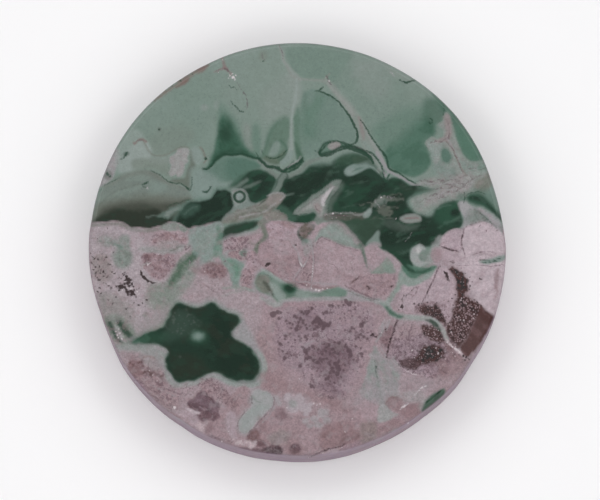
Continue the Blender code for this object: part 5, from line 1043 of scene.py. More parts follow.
def draw_bottom(c):
    # left foot of the face
    c.patch("clay", [(126, 356, 4), (140, 354, 4), (156, 362, 4), (166, 376, 3), (170, 392, 4), (180, 402, 5), (170, 412, 5), (150, 398, 4), (134, 380, 3)], strength=0.6, detail=(0, 0.45, 0.05), rough=2.6, fabric=(0, 0.5, 0.3))
    c.patch("ash>haze:0.3", [(140, 352), (150, 348), (160, 352), (164, 362), (158, 370), (150, 368), (144, 362)], soft=2.4, strength=0.6, rough=2.4, kind="halo")
    c.vein("rust>clay:0.4", [(142, 360), (146, 356.6), (151, 356.4), (156, 359)], width=1.4, soft=1.0, strength=0.55, rough=2, wave=4)
    m = c.patch("russet>ember:0.15", [(128.5, 367), (129, 361.5), (133, 360), (139, 360), (143.5, 361.5), (144, 367), (143, 374), (139, 378), (134, 376), (130, 373)], soft=1.3, rough=2.0, wave=4, strength=0.85, detail=(0, 0.2, 0.1), kind="matrix")
    c.veil(m, "russet>clay:0.5", size=3.5, share=0.5, turn=60, stretch=1.6, seed=91)
    # painted reflection: violet of the lilac surroundings on the lower left rim
    c.patch("violet>russet:0.4", [(129, 374), (136, 378), (144, 384), (150, 394), (146, 398), (138, 389), (131, 380)], soft=2.0, strength=0.6, rough=1.6, kind="halo")
    for x, y, r in ((131, 362, 1.9), (133.5, 364.5, 1.3), (139, 362.4, 1.5), (141.6, 362, 1.4), (143.4, 366, 1.5), (146, 371.4, 1.6), (149.4, 370.4, 1.8), (151, 373.4, 1.8), (153.6, 371.2, 1.6), (156, 374, 2.0), (158.6, 374.6, 1.8), (161, 376, 1.8), (163, 374.6, 1.2), (162.4, 378, 1.2), (152, 376.6, 1.2), (147.4, 374.4, 1.1), (144, 372.6, 1.0), (148.6, 368, 0.9)):
        c.blob("ember>coffee:0.5", x, y, r, soft=0.7, strength=0.8, rough=1.4, wave=2.6)
    c.patch("pink>clay:0.4", [(146, 378, 3), (164, 380, 3), (178, 388, 3), (184, 398, 3), (176, 402, 3), (160, 394, 3), (148, 386, 3)], strength=0.6, detail=(0, 0.6, 0.05), fabric=(0, 0.5, 0.5))
    # painted reflection: a lilac band along the lower left rim, with rust-clay streaks running parallel to it
    m = c.patch("mauve>lilac:0.35", [(130, 384, 2), (142, 394, 2.4), (158, 404, 3), (176, 412, 3), (196, 424, 3), (204, 436, 3), (186, 430, 2), (162, 416, 2), (140, 402, 2), (128, 388, 2)], strength=0.6)
    c.veil(m, "rust>clay:0.4", size=3.4, share=0.65, turn=35, stretch=4, seed=92)
    c.veil(m, "lilac", size=3.0, share=0.5, turn=35, stretch=4, seed=93, lo=0.05, hi=0.3)
    # pink body right of it, and the ground of the lower face
    c.patch("pink>rose:0.4", [(180, 386, 4), (200, 384, 4), (222, 386, 4), (232, 396, 4), (228, 408, 4), (214, 396, 4), (196, 392, 4), (184, 396, 4)], strength=0.6, detail=(0, 0.5, 0))
    m = c.patch("mauve>russet:0.25", [(200, 381, 3), (212, 378, 3), (222, 384, 3), (228, 392, 3), (224, 400, 3), (214, 396, 3), (202, 390, 3)], strength=0.6, rough=2.6, detail=(0, 0.9, 0.15), fabric=(0, 0.5, 0))
    # brown vug, crisp and ragged
    vug = [(188, 402), (190, 399), (195, 397.5), (197, 393.5), (200, 391.5), (204, 390), (207.5, 391), (209, 396), (213, 397), (217, 402), (220, 405), (218.5, 409), (219.5, 414), (221, 417), (214, 419.5), (208, 419), (202, 420.5), (197, 418), (200, 413), (195, 410.5), (190, 407.5)]
    c.patch("russet>clay:0.4", vug, soft=1.6, grow=1.0, rough=2.2, wave=3.5, strength=0.5)
    m = c.patch("damson>plum:0.45", vug, soft=0.9, rough=2.2, wave=3.2, strength=0.95, detail=(0, 0.1, 0.05), kind="matrix", sink=0.8)
    c.veil(m, "damson", size=3.6, share=0.85, turn=20, stretch=1.8, seed=94, lo=-0.05, hi=0.2)
    c.patch("damson>coffee:0.25", [(188, 402.5), (193, 401.5), (199, 403.5), (206, 405.5), (210, 409), (208, 413), (200, 410.5), (194, 408.5), (189, 406)], soft=1.0, strength=0.75, rough=1.4, wave=4)
    c.patch("damson>ember:0.3", [(198, 413), (206, 411), (214, 412), (219, 413), (217, 418), (208, 418.5), (202, 419.5), (198, 417)], soft=1.1, strength=0.7, rough=1.8, wave=4)
    c.vein("lilac>plum:0.4", [(200, 406.5), (204, 408.6), (207, 409)], width=1.2, soft=0.8, strength=0.6)
    c.vein("coffee", [(206, 392, 0.8), (208, 396, 1.4), (212, 399, 1.2)], soft=0.7, strength=0.7, rough=1.2)
    c.patch("rose>lilac:0.6", [(182, 411), (188, 410), (196, 414), (199, 419), (196, 424), (188, 420), (183, 416)], soft=1.8, strength=0.7, kind="halo", rough=1.6)
    # painted highlights: a whitish sliver and a pale pink triangle, glints on the lower face
    c.patch("lilac>white:0.35", [(186.5, 407.2), (190, 407.6), (195, 409.6), (201, 412), (198, 413.3), (193, 412.4), (189, 410.4)], soft=0.7, rough=0.8, wave=4, strength=0.97, kind="matrix")
    m = c.patch("rose>bone:0.5", [(196, 424), (199.5, 422.4), (203, 423), (206, 420.6), (209.4, 422), (206.6, 425.4), (205.8, 429), (203.6, 434), (202, 435.4), (199.6, 431.4), (197.4, 428.6)], soft=0.8, rough=1.4, wave=3, strength=0.95, kind="matrix")
    c.patch("damson>russet:0.5", [(205, 426), (211, 422), (214, 427), (209, 433), (205, 432)], soft=1.4, strength=0.5, rough=2, wave=4)
    c.vein("plum>damson:0.4", [(208, 434, 2), (216, 437, 3), (222, 439, 2)], soft=1.3, strength=0.5, rough=2, wave=4)
    # rounded clast against the rod
    m = c.patch("rose>clay:0.5", [(231, 396), (235, 390.5), (241, 386), (247, 386.5), (251, 391), (252.5, 398), (250, 405), (246, 409), (241, 415), (236.5, 411), (233, 404)], soft=1.2, strength=0.92, detail=(0, 0.2, 0.0), rough=1.6, kind="matrix")
    c.veil(m, "mauve>clay:0.5", size=4, share=0.6, turn=60, stretch=1.6, seed=95)
    m = c.patch("clay>russet:0.4", [(224, 398), (230, 394), (236, 398), (238, 404), (232, 408), (226, 405)], soft=1.8, strength=0.6, rough=2.4, wave=4, detail=(0, 0.7, 0.2))
    # mint rod
    c.patch("lilac>ash:0.4", [(228, 412, 1.5), (234, 411, 1.5), (237, 420, 1.4), (236, 430, 1.5), (238, 438, 1.6), (229, 434, 1.6), (226, 422, 1.6)], strength=0.75, kind="halo")
    rod = [(252.5, 393), (255, 389.5), (259, 388), (262, 390), (266, 390.5), (270, 393), (273.3, 397.5), (273.5, 402), (271.5, 406.5), (267, 410.5), (262, 415.5), (257, 421), (253, 426), (249, 430.5), (245, 433), (241, 431.5), (239, 427.5), (239, 420), (242.5, 415), (248, 409.5), (252, 405), (250.5, 401), (251, 396.5)]
    c.patch("fog>rose:0.3", [p + (1.6,) for p in rod], grow=3.0, strength=0.65, kind="halo")
    m = c.patch("silver>milk:0.2", rod, soft=0.9, strength=0.97, rough=0.9, kind="green", sink=0.0)
    c.veil(m, "pearl>milk:0.3", size=4, share=0.5, turn=-45, stretch=2.2, seed=96)
    c.patch("milk>mint:0.4", [(243, 424), (246, 415), (254, 407), (262, 404), (266, 406), (258, 414), (250, 422), (246, 429)], soft=2.0, strength=0.35)
    c.vein("stone>haze:0.3", [(253, 396, 1), (256, 400, 1.4), (261, 402, 1)], soft=1.0, strength=0.6)
    m = c.patch("ember>russet:0.35", [(248, 434, 1.4), (252, 430, 1.4), (256, 427, 2), (260, 432, 2), (262, 440, 2.4), (267, 445, 2), (258, 446, 2), (250, 443, 2), (247, 438, 1.6)], strength=0.8, rough=2.2, wave=4, detail=(0, 0.3, 0.2))
    c.patch("russet>clay:0.3", [(258, 416, 2), (266, 420, 2.4), (268, 430, 2.6), (262, 430, 2.4), (258, 424, 2)], strength=0.5, rough=2.4)
    # grey lobed cloud
    m = c.patch("mauve>clay:0.5", [(262, 372, 5), (284, 380, 5), (304, 388, 5), (330, 396, 5), (350, 404, 5), (344, 412, 5), (318, 404, 4), (300, 394, 4), (280, 392, 4), (264, 388, 4)], strength=0.7, rough=3)
    c.veil(m, "russet", size=5, share=0.5, turn=20, stretch=2.4, seed=97, lo=0.02, hi=0.28)
    c.patch("damson>clay:0.35", [(276, 410, 2), (280, 407, 2), (286, 410, 2), (287, 417, 2), (281, 420, 2), (275, 416, 2)], strength=0.75, rough=1.8)
    lobes = ((288, 397, 4.4, 4.2), (293, 406, 6.6, 6), (299.5, 399, 5, 6), (303, 406, 5, 5), (308, 409, 4, 3.4), (311, 404, 3, 2.6), (306, 413, 3, 2.4), (314, 418, 4, 3.4), (306, 420, 3.4, 3), (321, 413, 4.4, 5), (327, 420, 4.4, 3.6), (318, 424, 5, 3.4), (326, 411, 3, 3.4), (310, 425, 3.4, 2.4), (276, 398, 2.8, 3), (279.5, 402, 2.4, 2.4))
    for k, (x, y, rx, ry) in enumerate(lobes):
        c.blob("silver>ash:0.4" if k > 6 else "silver>lilac:0.55", x, y, rx, ry, soft=1.1, strength=0.78 if k > 6 else 0.95, rough=2.2, wave=4, kind="halo")
    c.blob("haze>fog:0.4", 293, 403, 4.4, 4, soft=2, strength=0.6)
    c.vein("rose>bone:0.4", [(284, 411), (290, 412.4), (297, 412), (303, 410)], width=1.1, soft=0.8, strength=0.5, rough=1.6, wave=4)
    c.vein("rose>bone:0.5", [(310, 401, 1), (314, 402, 1.6), (319, 404, 0.8)], soft=0.8, strength=0.7, rough=1.4, wave=4)
    m = c.patch("russet>clay:0.45", [(318, 440, 4), (326, 424, 4), (340, 420, 4), (354, 424, 4), (360, 436, 4), (352, 444, 3), (336, 448, 3), (324, 450, 3)], strength=0.75, rough=3)
    c.veil(m, "ember", size=4, share=0.35, turn=-30, stretch=2, seed=98, lo=0.08, hi=0.3)
    m = c.patch("clay>russet:0.3", [(262, 432, 3), (286, 428, 4), (306, 434, 4), (316, 444, 4), (300, 450, 3), (284, 446, 3), (266, 444, 3)], strength=0.45, rough=3)
    c.patch("olive>ash:0.5", [(268, 436, 2), (276, 430, 3), (286, 430, 3), (290, 438, 3), (282, 443, 2), (272, 444, 2)], strength=0.55, rough=3, wave=5)
    c.patch("pink>rose:0.4", [(298, 436, 2), (306, 432, 3), (314, 436, 3), (312, 446, 3), (302, 446, 2)], strength=0.5, rough=2.4, wave=5)
    # ovals at the rim
    c.patch("damson>night:0.6", [(259.6, 452), (262, 447.6), (268, 445.4), (276, 444), (281.6, 446), (283, 450.6), (280, 455), (273, 457), (265, 456.4)], soft=1.0, rough=1.2, wave=5, strength=0.95, sink=0.5, detail=(0, 0, 0))
    c.patch("damson>russet:0.25", [(238, 447.6), (246, 446.6), (256, 447.6), (264, 449), (268, 455), (262, 457), (252, 456), (244, 452.6)], soft=1.2, strength=0.9, rough=1.6)
    c.patch("damson>night:0.12", [(289, 448.6), (291, 444.4), (295, 442.4), (299, 444), (300.4, 449), (296.6, 452.6), (291.6, 452.2)], soft=1.0, rough=1.2, strength=0.9, sink=0.5)
    c.patch("russet>ember:0.4", [(286, 450), (292, 446), (300, 450), (302, 456), (292, 455)], soft=1.6, strength=0.4)
    c.patch("damson>russet:0.4", [(255, 441), (260, 439.5), (266, 441.5), (266, 446), (259, 446.4), (255, 445)], soft=1.3, rough=1.4, strength=0.75)
    c.patch("haze>plum:0.4", [(284, 453, 1.6), (292, 455, 1.6), (306, 455, 1.6), (306, 460, 1.6), (292, 460, 1.6), (280, 458, 1.6)], strength=0.55)
    # sliver with the crack: a lilac sliver and a violet patch on the bottom rim, painted reflection of the lilac
    # surroundings
    c.patch("lilac>rose:0.3", [(308, 460), (316, 455), (324, 451.5), (331, 447.6), (336.4, 448.4), (338, 451.4), (330, 457), (322, 461), (314, 462)], soft=1.0, strength=0.9, kind="halo")
    c.patch("clay>violet:0.5", [(340, 448, 2), (352, 442, 2), (360, 442, 2), (352, 452, 2), (340, 456, 2)], strength=0.5)
    # right foot: islands
    c.patch("pearl>silver:0.5", [(377, 420), (376, 414), (378, 408), (381, 404.6), (386, 405.4), (389.6, 409), (394, 411.8), (398, 413.5), (394, 416.5), (389, 419), (383, 421), (379, 422)], soft=1.0, strength=0.93, rough=1.0, kind="halo")
    m = c.patch("rose>pink:0.4", [(360, 404, 2), (366, 400, 2), (374, 403, 2), (378, 409, 1.6), (377, 417, 1.6), (370, 420, 2), (362, 417, 2)], strength=0.8, rough=1.8, kind="halo")
    c.patch("olive>clay:0.45", [(360, 425, 3), (368, 421, 2.4), (376, 424, 2.4), (376, 436, 3), (370, 446, 3), (362, 444, 3)], strength=0.7, rough=2.4)
    m = c.patch("russet>mauve:0.4", [(400, 410), (404, 405), (411, 402.6), (419, 402.8), (425, 405), (424, 411), (417, 416), (408, 418), (401, 415)], soft=1.6, strength=0.8, rough=1.8, detail=(0, 0.15, 0.0), kind="halo")
    c.patch("clay>russet:0.4", [(386, 398, 2), (394, 396, 2), (402, 400, 2), (402, 407, 2), (394, 411, 2), (388, 406, 2)], strength=0.65, rough=2.4, wave=5, detail=(0, 0.2, 0))
    c.vein("rust>russet:0.4", [(386, 404, 1), (389, 398, 1.4), (396, 396, 1.4), (402, 400, 1)], soft=0.8, strength=0.6, rough=1.6, wave=4)
    c.patch("fog>haze:0.4", [(418, 404, 2), (426, 398, 2), (436, 392, 1.8), (432, 402, 1.8), (426, 413, 2), (420, 411, 2)], strength=0.55, kind="halo")
    green = [(421.6, 411.5), (423, 404.6), (427, 398.6), (433, 393.4), (439, 389.4), (444.4, 388), (444.4, 396), (441, 402.6), (435, 409), (428, 414)]
    c.patch("flame>fog:0.4", green, soft=1.2, grow=0.7, strength=0.8, rough=1.0, kind="green")
    m = c.patch("deep>moss:0.3", green, soft=1.0, grow=-0.6, strength=0.92, rough=1.0, wave=6, kind="green")
    c.veil(m, "black", size=3, share=0.6, turn=-50, stretch=2.5, seed=99)
    c.patch("clay>lilac:0.3", [(394, 418, 4), (416, 416, 4), (434, 410, 4), (420, 430, 4), (400, 438, 4)], strength=0.4)
    m = c.patch("russet>clay:0.3", [(378, 428, 2), (390, 420, 2), (404, 420, 2.4), (404, 430, 2.4), (390, 434, 2.4), (380, 438, 2)], strength=0.5, rough=2.6, detail=(0, 0.3, 0))


def draw_lines(c):
    """Fine dark borders, brown cracks and pale threads."""
    ink, rust, pale, white, dark = "ink", "rust", "pale", "white", "dark"
    # borders of the right-hand pane and of the lens at its foot
    c.stroke(ink, [(315, 90, 0.8), (322, 91.5, 1.2), (330, 95, 1.6), (337, 100, 1.6), (343, 107, 1.7), (349, 115, 1.8), (354, 124, 2.0), (357.3, 132, 2.2), (357.3, 139, 2.2), (355, 143, 1.6), (350, 144.5, 1.0), (342, 142, 0.9), (335, 141, 0.9), (329, 143, 1.1), (323, 148, 1.5), (319.5, 153, 1.9), (321, 155.5, 1.6), (326, 156, 1.2), (332, 154, 1.2), (338, 150.5, 1.8), (346, 148, 2.4), (353, 149, 2.8), (360, 151, 3.2), (366, 154, 3.2), (371, 158, 3.0), (373, 163, 1.8)], rough=1.2, wave=4)
    c.stroke(ink, [(360, 119, 0.8), (366, 127, 1.3), (371, 136, 1.6), (376, 143, 1.6), (381, 150, 1.8), (385, 155, 2.0), (387, 160, 1.8), (388, 165, 1.8), (391, 170, 1.8), (399, 173, 1.6), (407, 179, 1.6), (413, 182, 1.4), (420, 186, 1.0)], rough=1.0, wave=4)
    c.stroke(ink, [(366, 150, 0.9), (372, 153, 1.6), (377, 158, 1.8), (380, 163, 1.6), (383, 169, 1.8), (384, 175, 2.2), (385.5, 181, 1.8), (388, 178, 1.6), (390, 174, 1.2)], rough=1.4, wave=4)
    c.stroke(pale, [(377, 152, 2.4), (381, 158, 3.0), (385, 166, 3.0), (389, 171, 2.4), (396, 175, 2.2), (403, 178, 2.0), (409, 182.5, 1.8), (415, 184.5, 1.6), (421, 184, 1.2)], rough=1.2, wave=4)
    c.stroke(pale, [(383, 170, 0.9), (386, 176, 1.4), (388, 172, 1.0)], rough=1.2, wave=4)
    # scalloped dark borders at the foot of the pale seam, with a pale thread in them
    c.stroke(ink, [(204, 169, 1.2), (208, 168.4, 1.8), (212, 165, 1.8), (215, 160.5, 1.6), (219, 156.8, 1.8), (224, 154.4, 2.0), (229, 154, 2.0), (234, 154.6, 1.6), (241, 153.8, 1.6), (247, 155.2, 1.6), (252, 157, 1.8), (257, 158.6, 1.6)], rough=1.6, wave=3.5)
    c.stroke(ink, [(258, 157.5, 1.2), (262, 161, 2.4), (265.5, 165, 2.6), (270, 166.6, 2.0), (275, 166.4, 2.4), (279, 168.6, 2.6), (283, 171.4, 2.2), (287.5, 168, 1.8), (292, 166.4, 2.0), (296.5, 164, 2.2), (300.5, 161, 2.2), (302.6, 157, 1.4)], rough=2.4, wave=3.2)
    c.stroke(ink, [(284, 172, 1.0), (289, 171.6, 1.5), (294, 169.4, 1.5), (299, 165.6, 1.5), (303, 161, 1.2)], rough=1.6, wave=3.5)
    c.stroke(ink, [(262, 150, 0.6), (265, 155, 1.0), (270, 158, 1.2), (277, 157.6, 1.2), (283, 154, 1.2), (287, 149, 0.8)], rough=2.0, wave=3.5)
    c.stroke(ink, [(255, 152, 0.5), (258.6, 156, 1.0)], rough=1.2)
    c.stroke(pale, [(288, 167.4, 0.8), (291, 164, 1.0), (295, 162.6, 1.0), (298.6, 159.4, 1.0), (300.4, 156, 0.7)], rough=1.6, wave=3)
    c.stroke(ink, [(202.6, 191.4, 1.4), (206, 191.8, 2.2), (209, 189.6, 1.4), (210.6, 187, 1.6)], rough=1.6, wave=3)
    c.stroke(ink, [(300, 214.6, 0.8), (307, 213.5, 0.8)])
    # the eye
    c.stroke(ink, [(239.4, 191.4, 1.9), (243, 192.8, 2.0), (244.8, 196.6, 1.9), (243.4, 200.4, 2.0), (239.6, 202.2, 2.0), (235.8, 200.6, 2.1), (234.2, 196.8, 1.9), (235.6, 193, 1.9), (239.4, 191.4, 1.9)], rough=0.9, wave=4)
    # cracks in the green
    c.stroke(ink, [(231, 100.5, 0.8), (234, 105, 1.3), (236, 106.5, 1.2), (239, 110.5, 1.1), (243.5, 111.3, 0.8)], rough=1.2, wave=3)
    c.stroke(ink, [(228.6, 84, 0.5), (231, 87, 0.9), (234, 86, 0.9), (236, 89, 0.6)], rough=1.6, wave=3)
    c.stroke(ink, [(400, 79, 0.8), (404, 81, 1.6), (409, 81.8, 1.8), (413, 80.4, 1.4), (416, 80, 0.8)], rough=1.6, wave=3.5)
    c.stroke(ink, [(443.6, 104, 0.6), (444.6, 109, 1.0), (444, 114.5, 0.9)], rough=1.0)
    c.stroke(ink, [(430, 117.6, 1.0), (432.4, 118.6, 1.1), (432.6, 122, 1.1), (430.6, 123.6, 1.0), (429.4, 120.6, 0.9)], rough=0.9, wave=3)
    c.stroke(ink, [(318.4, 90.6, 1.2), (321, 88.4, 1.6), (323, 86, 0.8)], rough=1.0)
    c.stroke(ink, [(314.6, 149.6, 0.7), (316, 151, 0.8)])
    c.stroke(ink, [(119, 160, 0.5), (123, 157.5, 1.1), (125.5, 154, 1.5), (127.6, 152.6, 0.8)], rough=1.6, wave=3)
    c.stroke(ink, [(99, 192, 0.4), (105, 184.5, 0.6), (113, 181, 0.5), (120, 177, 0.4)], rough=1.6)
    c.stroke(ink, [(150, 171, 0.2), (158, 173.6, 0.5), (164, 178, 0.7), (169, 181.6, 0.9), (175, 183.4, 1.0), (181, 183.6, 1.1), (185.6, 186.4, 1.3), (189, 190, 1.6), (191, 187, 1.1), (192, 183, 0.9), (192, 177, 0.5)], rough=1.2, wave=4)
    c.stroke(ink, [(141.6, 184.4, 0.9), (145, 183.4, 1.3), (148.4, 181.2, 0.7)], rough=1.4, wave=3)
    c.stroke(ink, [(142.4, 186.4, 0.5), (146, 187.2, 0.8)], rough=1.2, wave=3)
    c.stroke(ink, [(166, 207, 0.3), (178, 203, 0.6), (190, 199, 0.5)], rough=1.8, wave=4)
    for x, y, r in ((159, 129, 0.8), (205.6, 158.6, 0.9), (107, 173.6, 1.4), (109.4, 176.4, 1.0), (171.6, 85, 0.6), (180, 80, 0.7), (192, 73.6, 0.6), (263.4, 60, 0.6)):
        c.fleck(ink, x, y, r, rough=1.4)
    c.stroke(rust, [(237, 82, 0.3), (241, 88, 0.5), (245, 95, 0.6), (247.5, 103, 0.6), (246, 109, 0.3)], rough=1.6, wave=3)
    c.vein("clay>rust:0.4", [(221.6, 56, 1.6), (223, 61, 2.4), (224.6, 66.5, 3.0)], soft=0.9, strength=0.6, rough=2.0, wave=3.5)
    c.vein("clay>rust:0.3", [(213, 71, 1.2), (217, 70, 2.0), (221, 68, 2.2), (225, 67.4, 2.8), (228.4, 70.6, 2.4), (231, 74, 2.0)], soft=0.9, strength=0.6, rough=2.0, wave=3.5)
    c.stroke(rust, [(216, 70.5, 0.4), (220, 68.8, 0.7), (224, 67.4, 0.9), (228.6, 71, 0.8)], rough=2.0, wave=3)
    c.vein("rust>clay:0.3", [(133.6, 143.4), (137.6, 140.3), (142.4, 139.3), (146, 141.4)], width=2.0, soft=0.9, strength=0.65, rough=1.6, wave=3.5)
    c.stroke(rust, [(135.4, 141.4, 0.4), (139, 139.8, 0.8), (143, 139.6, 0.4)], rough=1.2)
    c.stroke(rust, [(262, 52, 0.3), (263, 56.5, 0.6), (265, 60, 0.3)], rough=1.4)
    c.stroke(rust, [(279, 44, 0.4), (282.5, 52, 0.5), (283, 58, 0.3)])
    for x, y, r in ((229.6, 74.6, 0.8), (232.6, 76.4, 1.2), (234.6, 78.6, 0.8), (232, 72.6, 0.6), (228.6, 77.6, 0.5), (217.6, 71.6, 0.5), (222, 58.6, 0.4), (147.5, 187.8, 0.5), (326, 77, 0.4), (329, 80.5, 0.5), (393, 72, 0.3), (236, 74.6, 0.4)):
        c.fleck(white, x, y, r, rough=1.4, wave=2)
    c.stroke(rust, [(325.4, 74, 0.4), (327.6, 77.6, 0.9), (329, 81, 0.9), (331.6, 84, 0.5)], rough=1.6, wave=3)
    # upper right web
    c.stroke(rust, [(446.5, 118, 0.4), (449, 126, 0.6), (450, 133, 0.6), (449, 138, 0.6)], rough=1.8, wave=3)
    c.stroke(rust, [(431, 142.6, 0.5), (436, 140.6, 0.9), (441, 141.8, 1.0), (445.6, 138.8, 1.0), (449.6, 138.2, 0.8)], rough=2.0, wave=3)
    c.stroke(rust, [(447, 141, 0.5), (452, 147, 0.8), (455, 154, 0.9), (458, 160, 0.8), (460.6, 166, 0.8), (463, 172, 0.5)], rough=2.0, wave=3)
    c.stroke(pale, [(446, 137, 0.6), (451, 143, 0.9), (456, 152, 0.9), (460, 160, 0.8)], rough=1.8, wave=3)
    for line in (
        [(417, 181.5, 0.3), (424, 180, 0.7), (431, 181.6, 0.8), (438, 179.6, 0.8), (446, 181.4, 0.8), (454, 179.2, 0.7), (461, 181, 0.4)],
        [(425, 184, 0.3), (433, 184.6, 0.6), (440, 182.4, 0.6), (448, 185, 0.7), (456, 182.6, 0.6), (463, 185, 0.7), (469, 182, 0.4)],
        [(434, 190, 0.3), (441, 187.6, 0.6), (447, 188.6, 0.6), (454, 186, 0.6), (461, 188, 0.5), (466, 186, 0.3)],
        [(428, 196.6, 0.3), (436, 194, 0.6), (443, 195, 0.6), (449, 191.4, 0.6), (455, 191.6, 0.5), (460, 189, 0.3)],
        [(418, 203.4, 0.3), (425, 199.4, 0.5), (433, 199.8, 0.6), (440, 197, 0.6), (447, 197.4, 0.3)],
        [(450, 176, 0.3), (456, 174, 0.6), (461, 177, 0.6), (466, 174.6, 0.5), (472, 177, 0.3)],
        [(462, 188, 0.3), (466.6, 183, 0.6), (471, 180.6, 0.6), (476, 177, 0.5), (482, 175.6, 0.3)],
        [(466, 170, 0.3), (474, 168, 0.5), (481, 170, 0.5), (486, 167.6, 0.3)],
    ):
        c.stroke(rust, line, rough=2.4, wave=3.2)
    for line in (
        [(420, 182.6, 0.3), (430, 183, 0.7), (440, 184, 0.7), (450, 182.8, 0.7), (460, 184, 0.6), (467, 181, 0.4)],
        [(436, 192, 0.4), (445, 190.6, 0.8), (454, 188.6, 0.8), (463, 190.4, 0.5)],
        [(424, 201.6, 0.3), (434, 197.6, 0.7), (444, 193.6, 0.7), (452, 193.8, 0.4)],
        [(464, 186.6, 0.4), (468.6, 187.6, 0.8), (472, 184.4, 0.6), (470, 180, 0.4)],
    ):
        c.stroke(pale, line, rough=2.4, wave=3.2)
    c.stroke(ink, [(464.6, 192, 0.5), (465, 198, 0.9), (464, 203, 0.5)], rough=1.2)
    c.stroke(ink, [(466, 197, 0.5), (470, 193, 0.8), (478, 191.6, 0.7), (486, 194, 0.4)], rough=1.2)
    c.stroke(rust, [(315, 205, 0.4), (317, 209, 0.6), (320, 212.5, 0.4)], rough=1.6, wave=3)
    c.stroke(rust, [(331, 215.6, 0.4), (338, 214.8, 0.6), (346, 215.6, 0.5), (352, 214.6, 0.3)], rough=1.8, wave=3)
    for x, y, r in ((326.6, 214.6, 0.5), (333, 213.4, 0.6), (341, 213.8, 0.5), (355, 212.8, 0.4), (372, 203, 0.4), (381, 197.6, 0.5), (396, 218.4, 0.4), (352, 262, 0.3)):
        c.fleck(white, x, y, r, rough=1.4, wave=2)
    # scratches in the far dark mass, and under the lens
    for line in ([(405, 241, 0.1), (409, 238, 0.2), (412, 233, 0.1)], [(374, 199, 0.3), (377, 204, 0.6), (381, 209, 0.4)], [(384, 195, 0.2), (390, 198, 0.5), (396, 197, 0.2)]):
        c.stroke(pale, line, rough=2.4, wave=3)
    # the middle lower half: cracks between the clasts
    c.stroke(rust, [(244, 246.5, 0.5), (248, 243.5, 0.8), (252, 240.5, 0.6)], rough=1.4, wave=3)
    c.stroke(pale, [(291, 242, 0.6), (295, 247, 1.0), (297.4, 252, 1.4), (299, 258, 1.6), (300.6, 264, 1.6), (303, 266.4, 1.6), (306, 262, 1.4), (308.4, 256, 0.8)], rough=1.4, wave=3)
    c.stroke(white, [(299, 260, 0.1), (300.6, 264, 0.4), (303, 266.4, 0.6), (305.2, 263.4, 0.2)], rough=1.4, wave=2.6)
    c.stroke(rust, [(295.8, 250.5, 0.3), (297.6, 258, 0.5), (299.3, 265, 0.6), (303, 268.6, 0.5), (307.4, 263, 0.4)], rough=1.4, wave=3)
    c.stroke(rust, [(268, 246, 0.3), (274, 248, 0.5), (280, 251, 0.5), (287, 250, 0.3)], rough=1.8)
    c.stroke(pale, [(300, 268, 0.6), (298, 272, 1.0), (295.4, 276.6, 1.0), (293, 280, 0.7)], rough=1.4, wave=3)
    c.stroke(rust, [(300.6, 271, 0.5), (297, 276.6, 0.8), (294.6, 280.4, 0.7), (299, 283, 0.9), (305, 285, 0.8), (309, 286, 0.5)], rough=1.4, wave=3)
    c.stroke(pale, [(310.4, 238, 0.5), (311.6, 245, 0.8), (313, 254, 1.0), (313.4, 265, 1.1), (312.4, 276, 1.1), (311, 288, 0.7)], rough=1.2, wave=4)
    c.stroke(white, [(312.8, 262, 0.2), (313, 269, 0.4), (312.4, 276, 0.3)], rough=1.2, wave=3)
    c.stroke(rust, [(314.4, 254, 0.3), (314.8, 266, 0.5), (313.8, 277, 0.4)], rough=1.2)
    c.stroke(rust, [(316, 247, 0.5), (318, 241, 0.8), (321, 237, 0.8), (326, 239, 0.6), (336, 243.6, 0.5), (348, 248, 0.5), (358, 251, 0.3)], rough=1.4, wave=4)
    c.stroke(rust, [(344, 285, 0.4), (350, 288, 0.9), (357, 291.4, 1.1), (365, 295, 1.1), (372, 298, 0.9), (379, 300, 0.5)], rough=1.4, wave=4)
    c.stroke(rust, [(347, 290.4, 0.3), (356, 294.4, 0.6), (366, 298, 0.6), (374, 300.6, 0.3)], rough=1.4, wave=4)
    c.stroke(dark, [(351, 283.4, 0.3), (355, 280.4, 0.8), (358.6, 276.8, 0.8)], rough=1.4, wave=3)
    c.stroke(rust, [(326, 262, 0.2), (334, 266, 0.4), (340, 272, 0.2)], rough=1.6)
    c.stroke(pale, [(284, 279.4, 0.4), (295, 281.6, 0.8), (308, 282.2, 0.8), (322, 283.6, 0.8), (336, 284.6, 0.7), (346, 289, 0.4)], rough=1.4, wave=4)
    for x, y, r in ((267.6, 264.4, 1.5), (269.4, 263.4, 1.0), (266, 266, 0.9), (303, 250, 0.5), (300, 235, 0.8), (258, 243, 0.6), (367.4, 286, 0.9), (369, 288.6, 0.8), (391.4, 286.4, 0.9), (393, 285.4, 0.6), (296, 244.6, 0.7)):
        c.fleck(dark, x, y, r, rough=1.4, wave=2.4)
    for x, y, r in ((231.5, 247, 0.9), (235, 239, 0.8), (229, 245, 0.6), (238, 246, 0.6), (295, 244.5, 0.8), (309, 257, 0.9), (356, 279, 0.6), (273, 229, 0.6), (277, 233, 0.5), (281, 227, 0.5), (289, 232, 0.6), (327, 250, 0.4), (343, 261, 0.4), (352, 268, 0.5), (246, 247, 0.9), (226, 243.5, 0.7), (241, 241, 0.6), (233, 243.4, 0.5)):
        c.fleck(rust, x, y, r, rough=1.2, wave=2.4)
    for x, y, r in ((316, 289.4, 0.8), (319, 290.6, 0.9), (322.4, 289, 0.6), (312, 288.4, 0.5), (276, 226, 0.4), (259, 268, 0.5), (306.4, 285.4, 0.5), (327, 288.4, 0.4)):
        c.fleck(white, x, y, r, rough=1.4, wave=2)
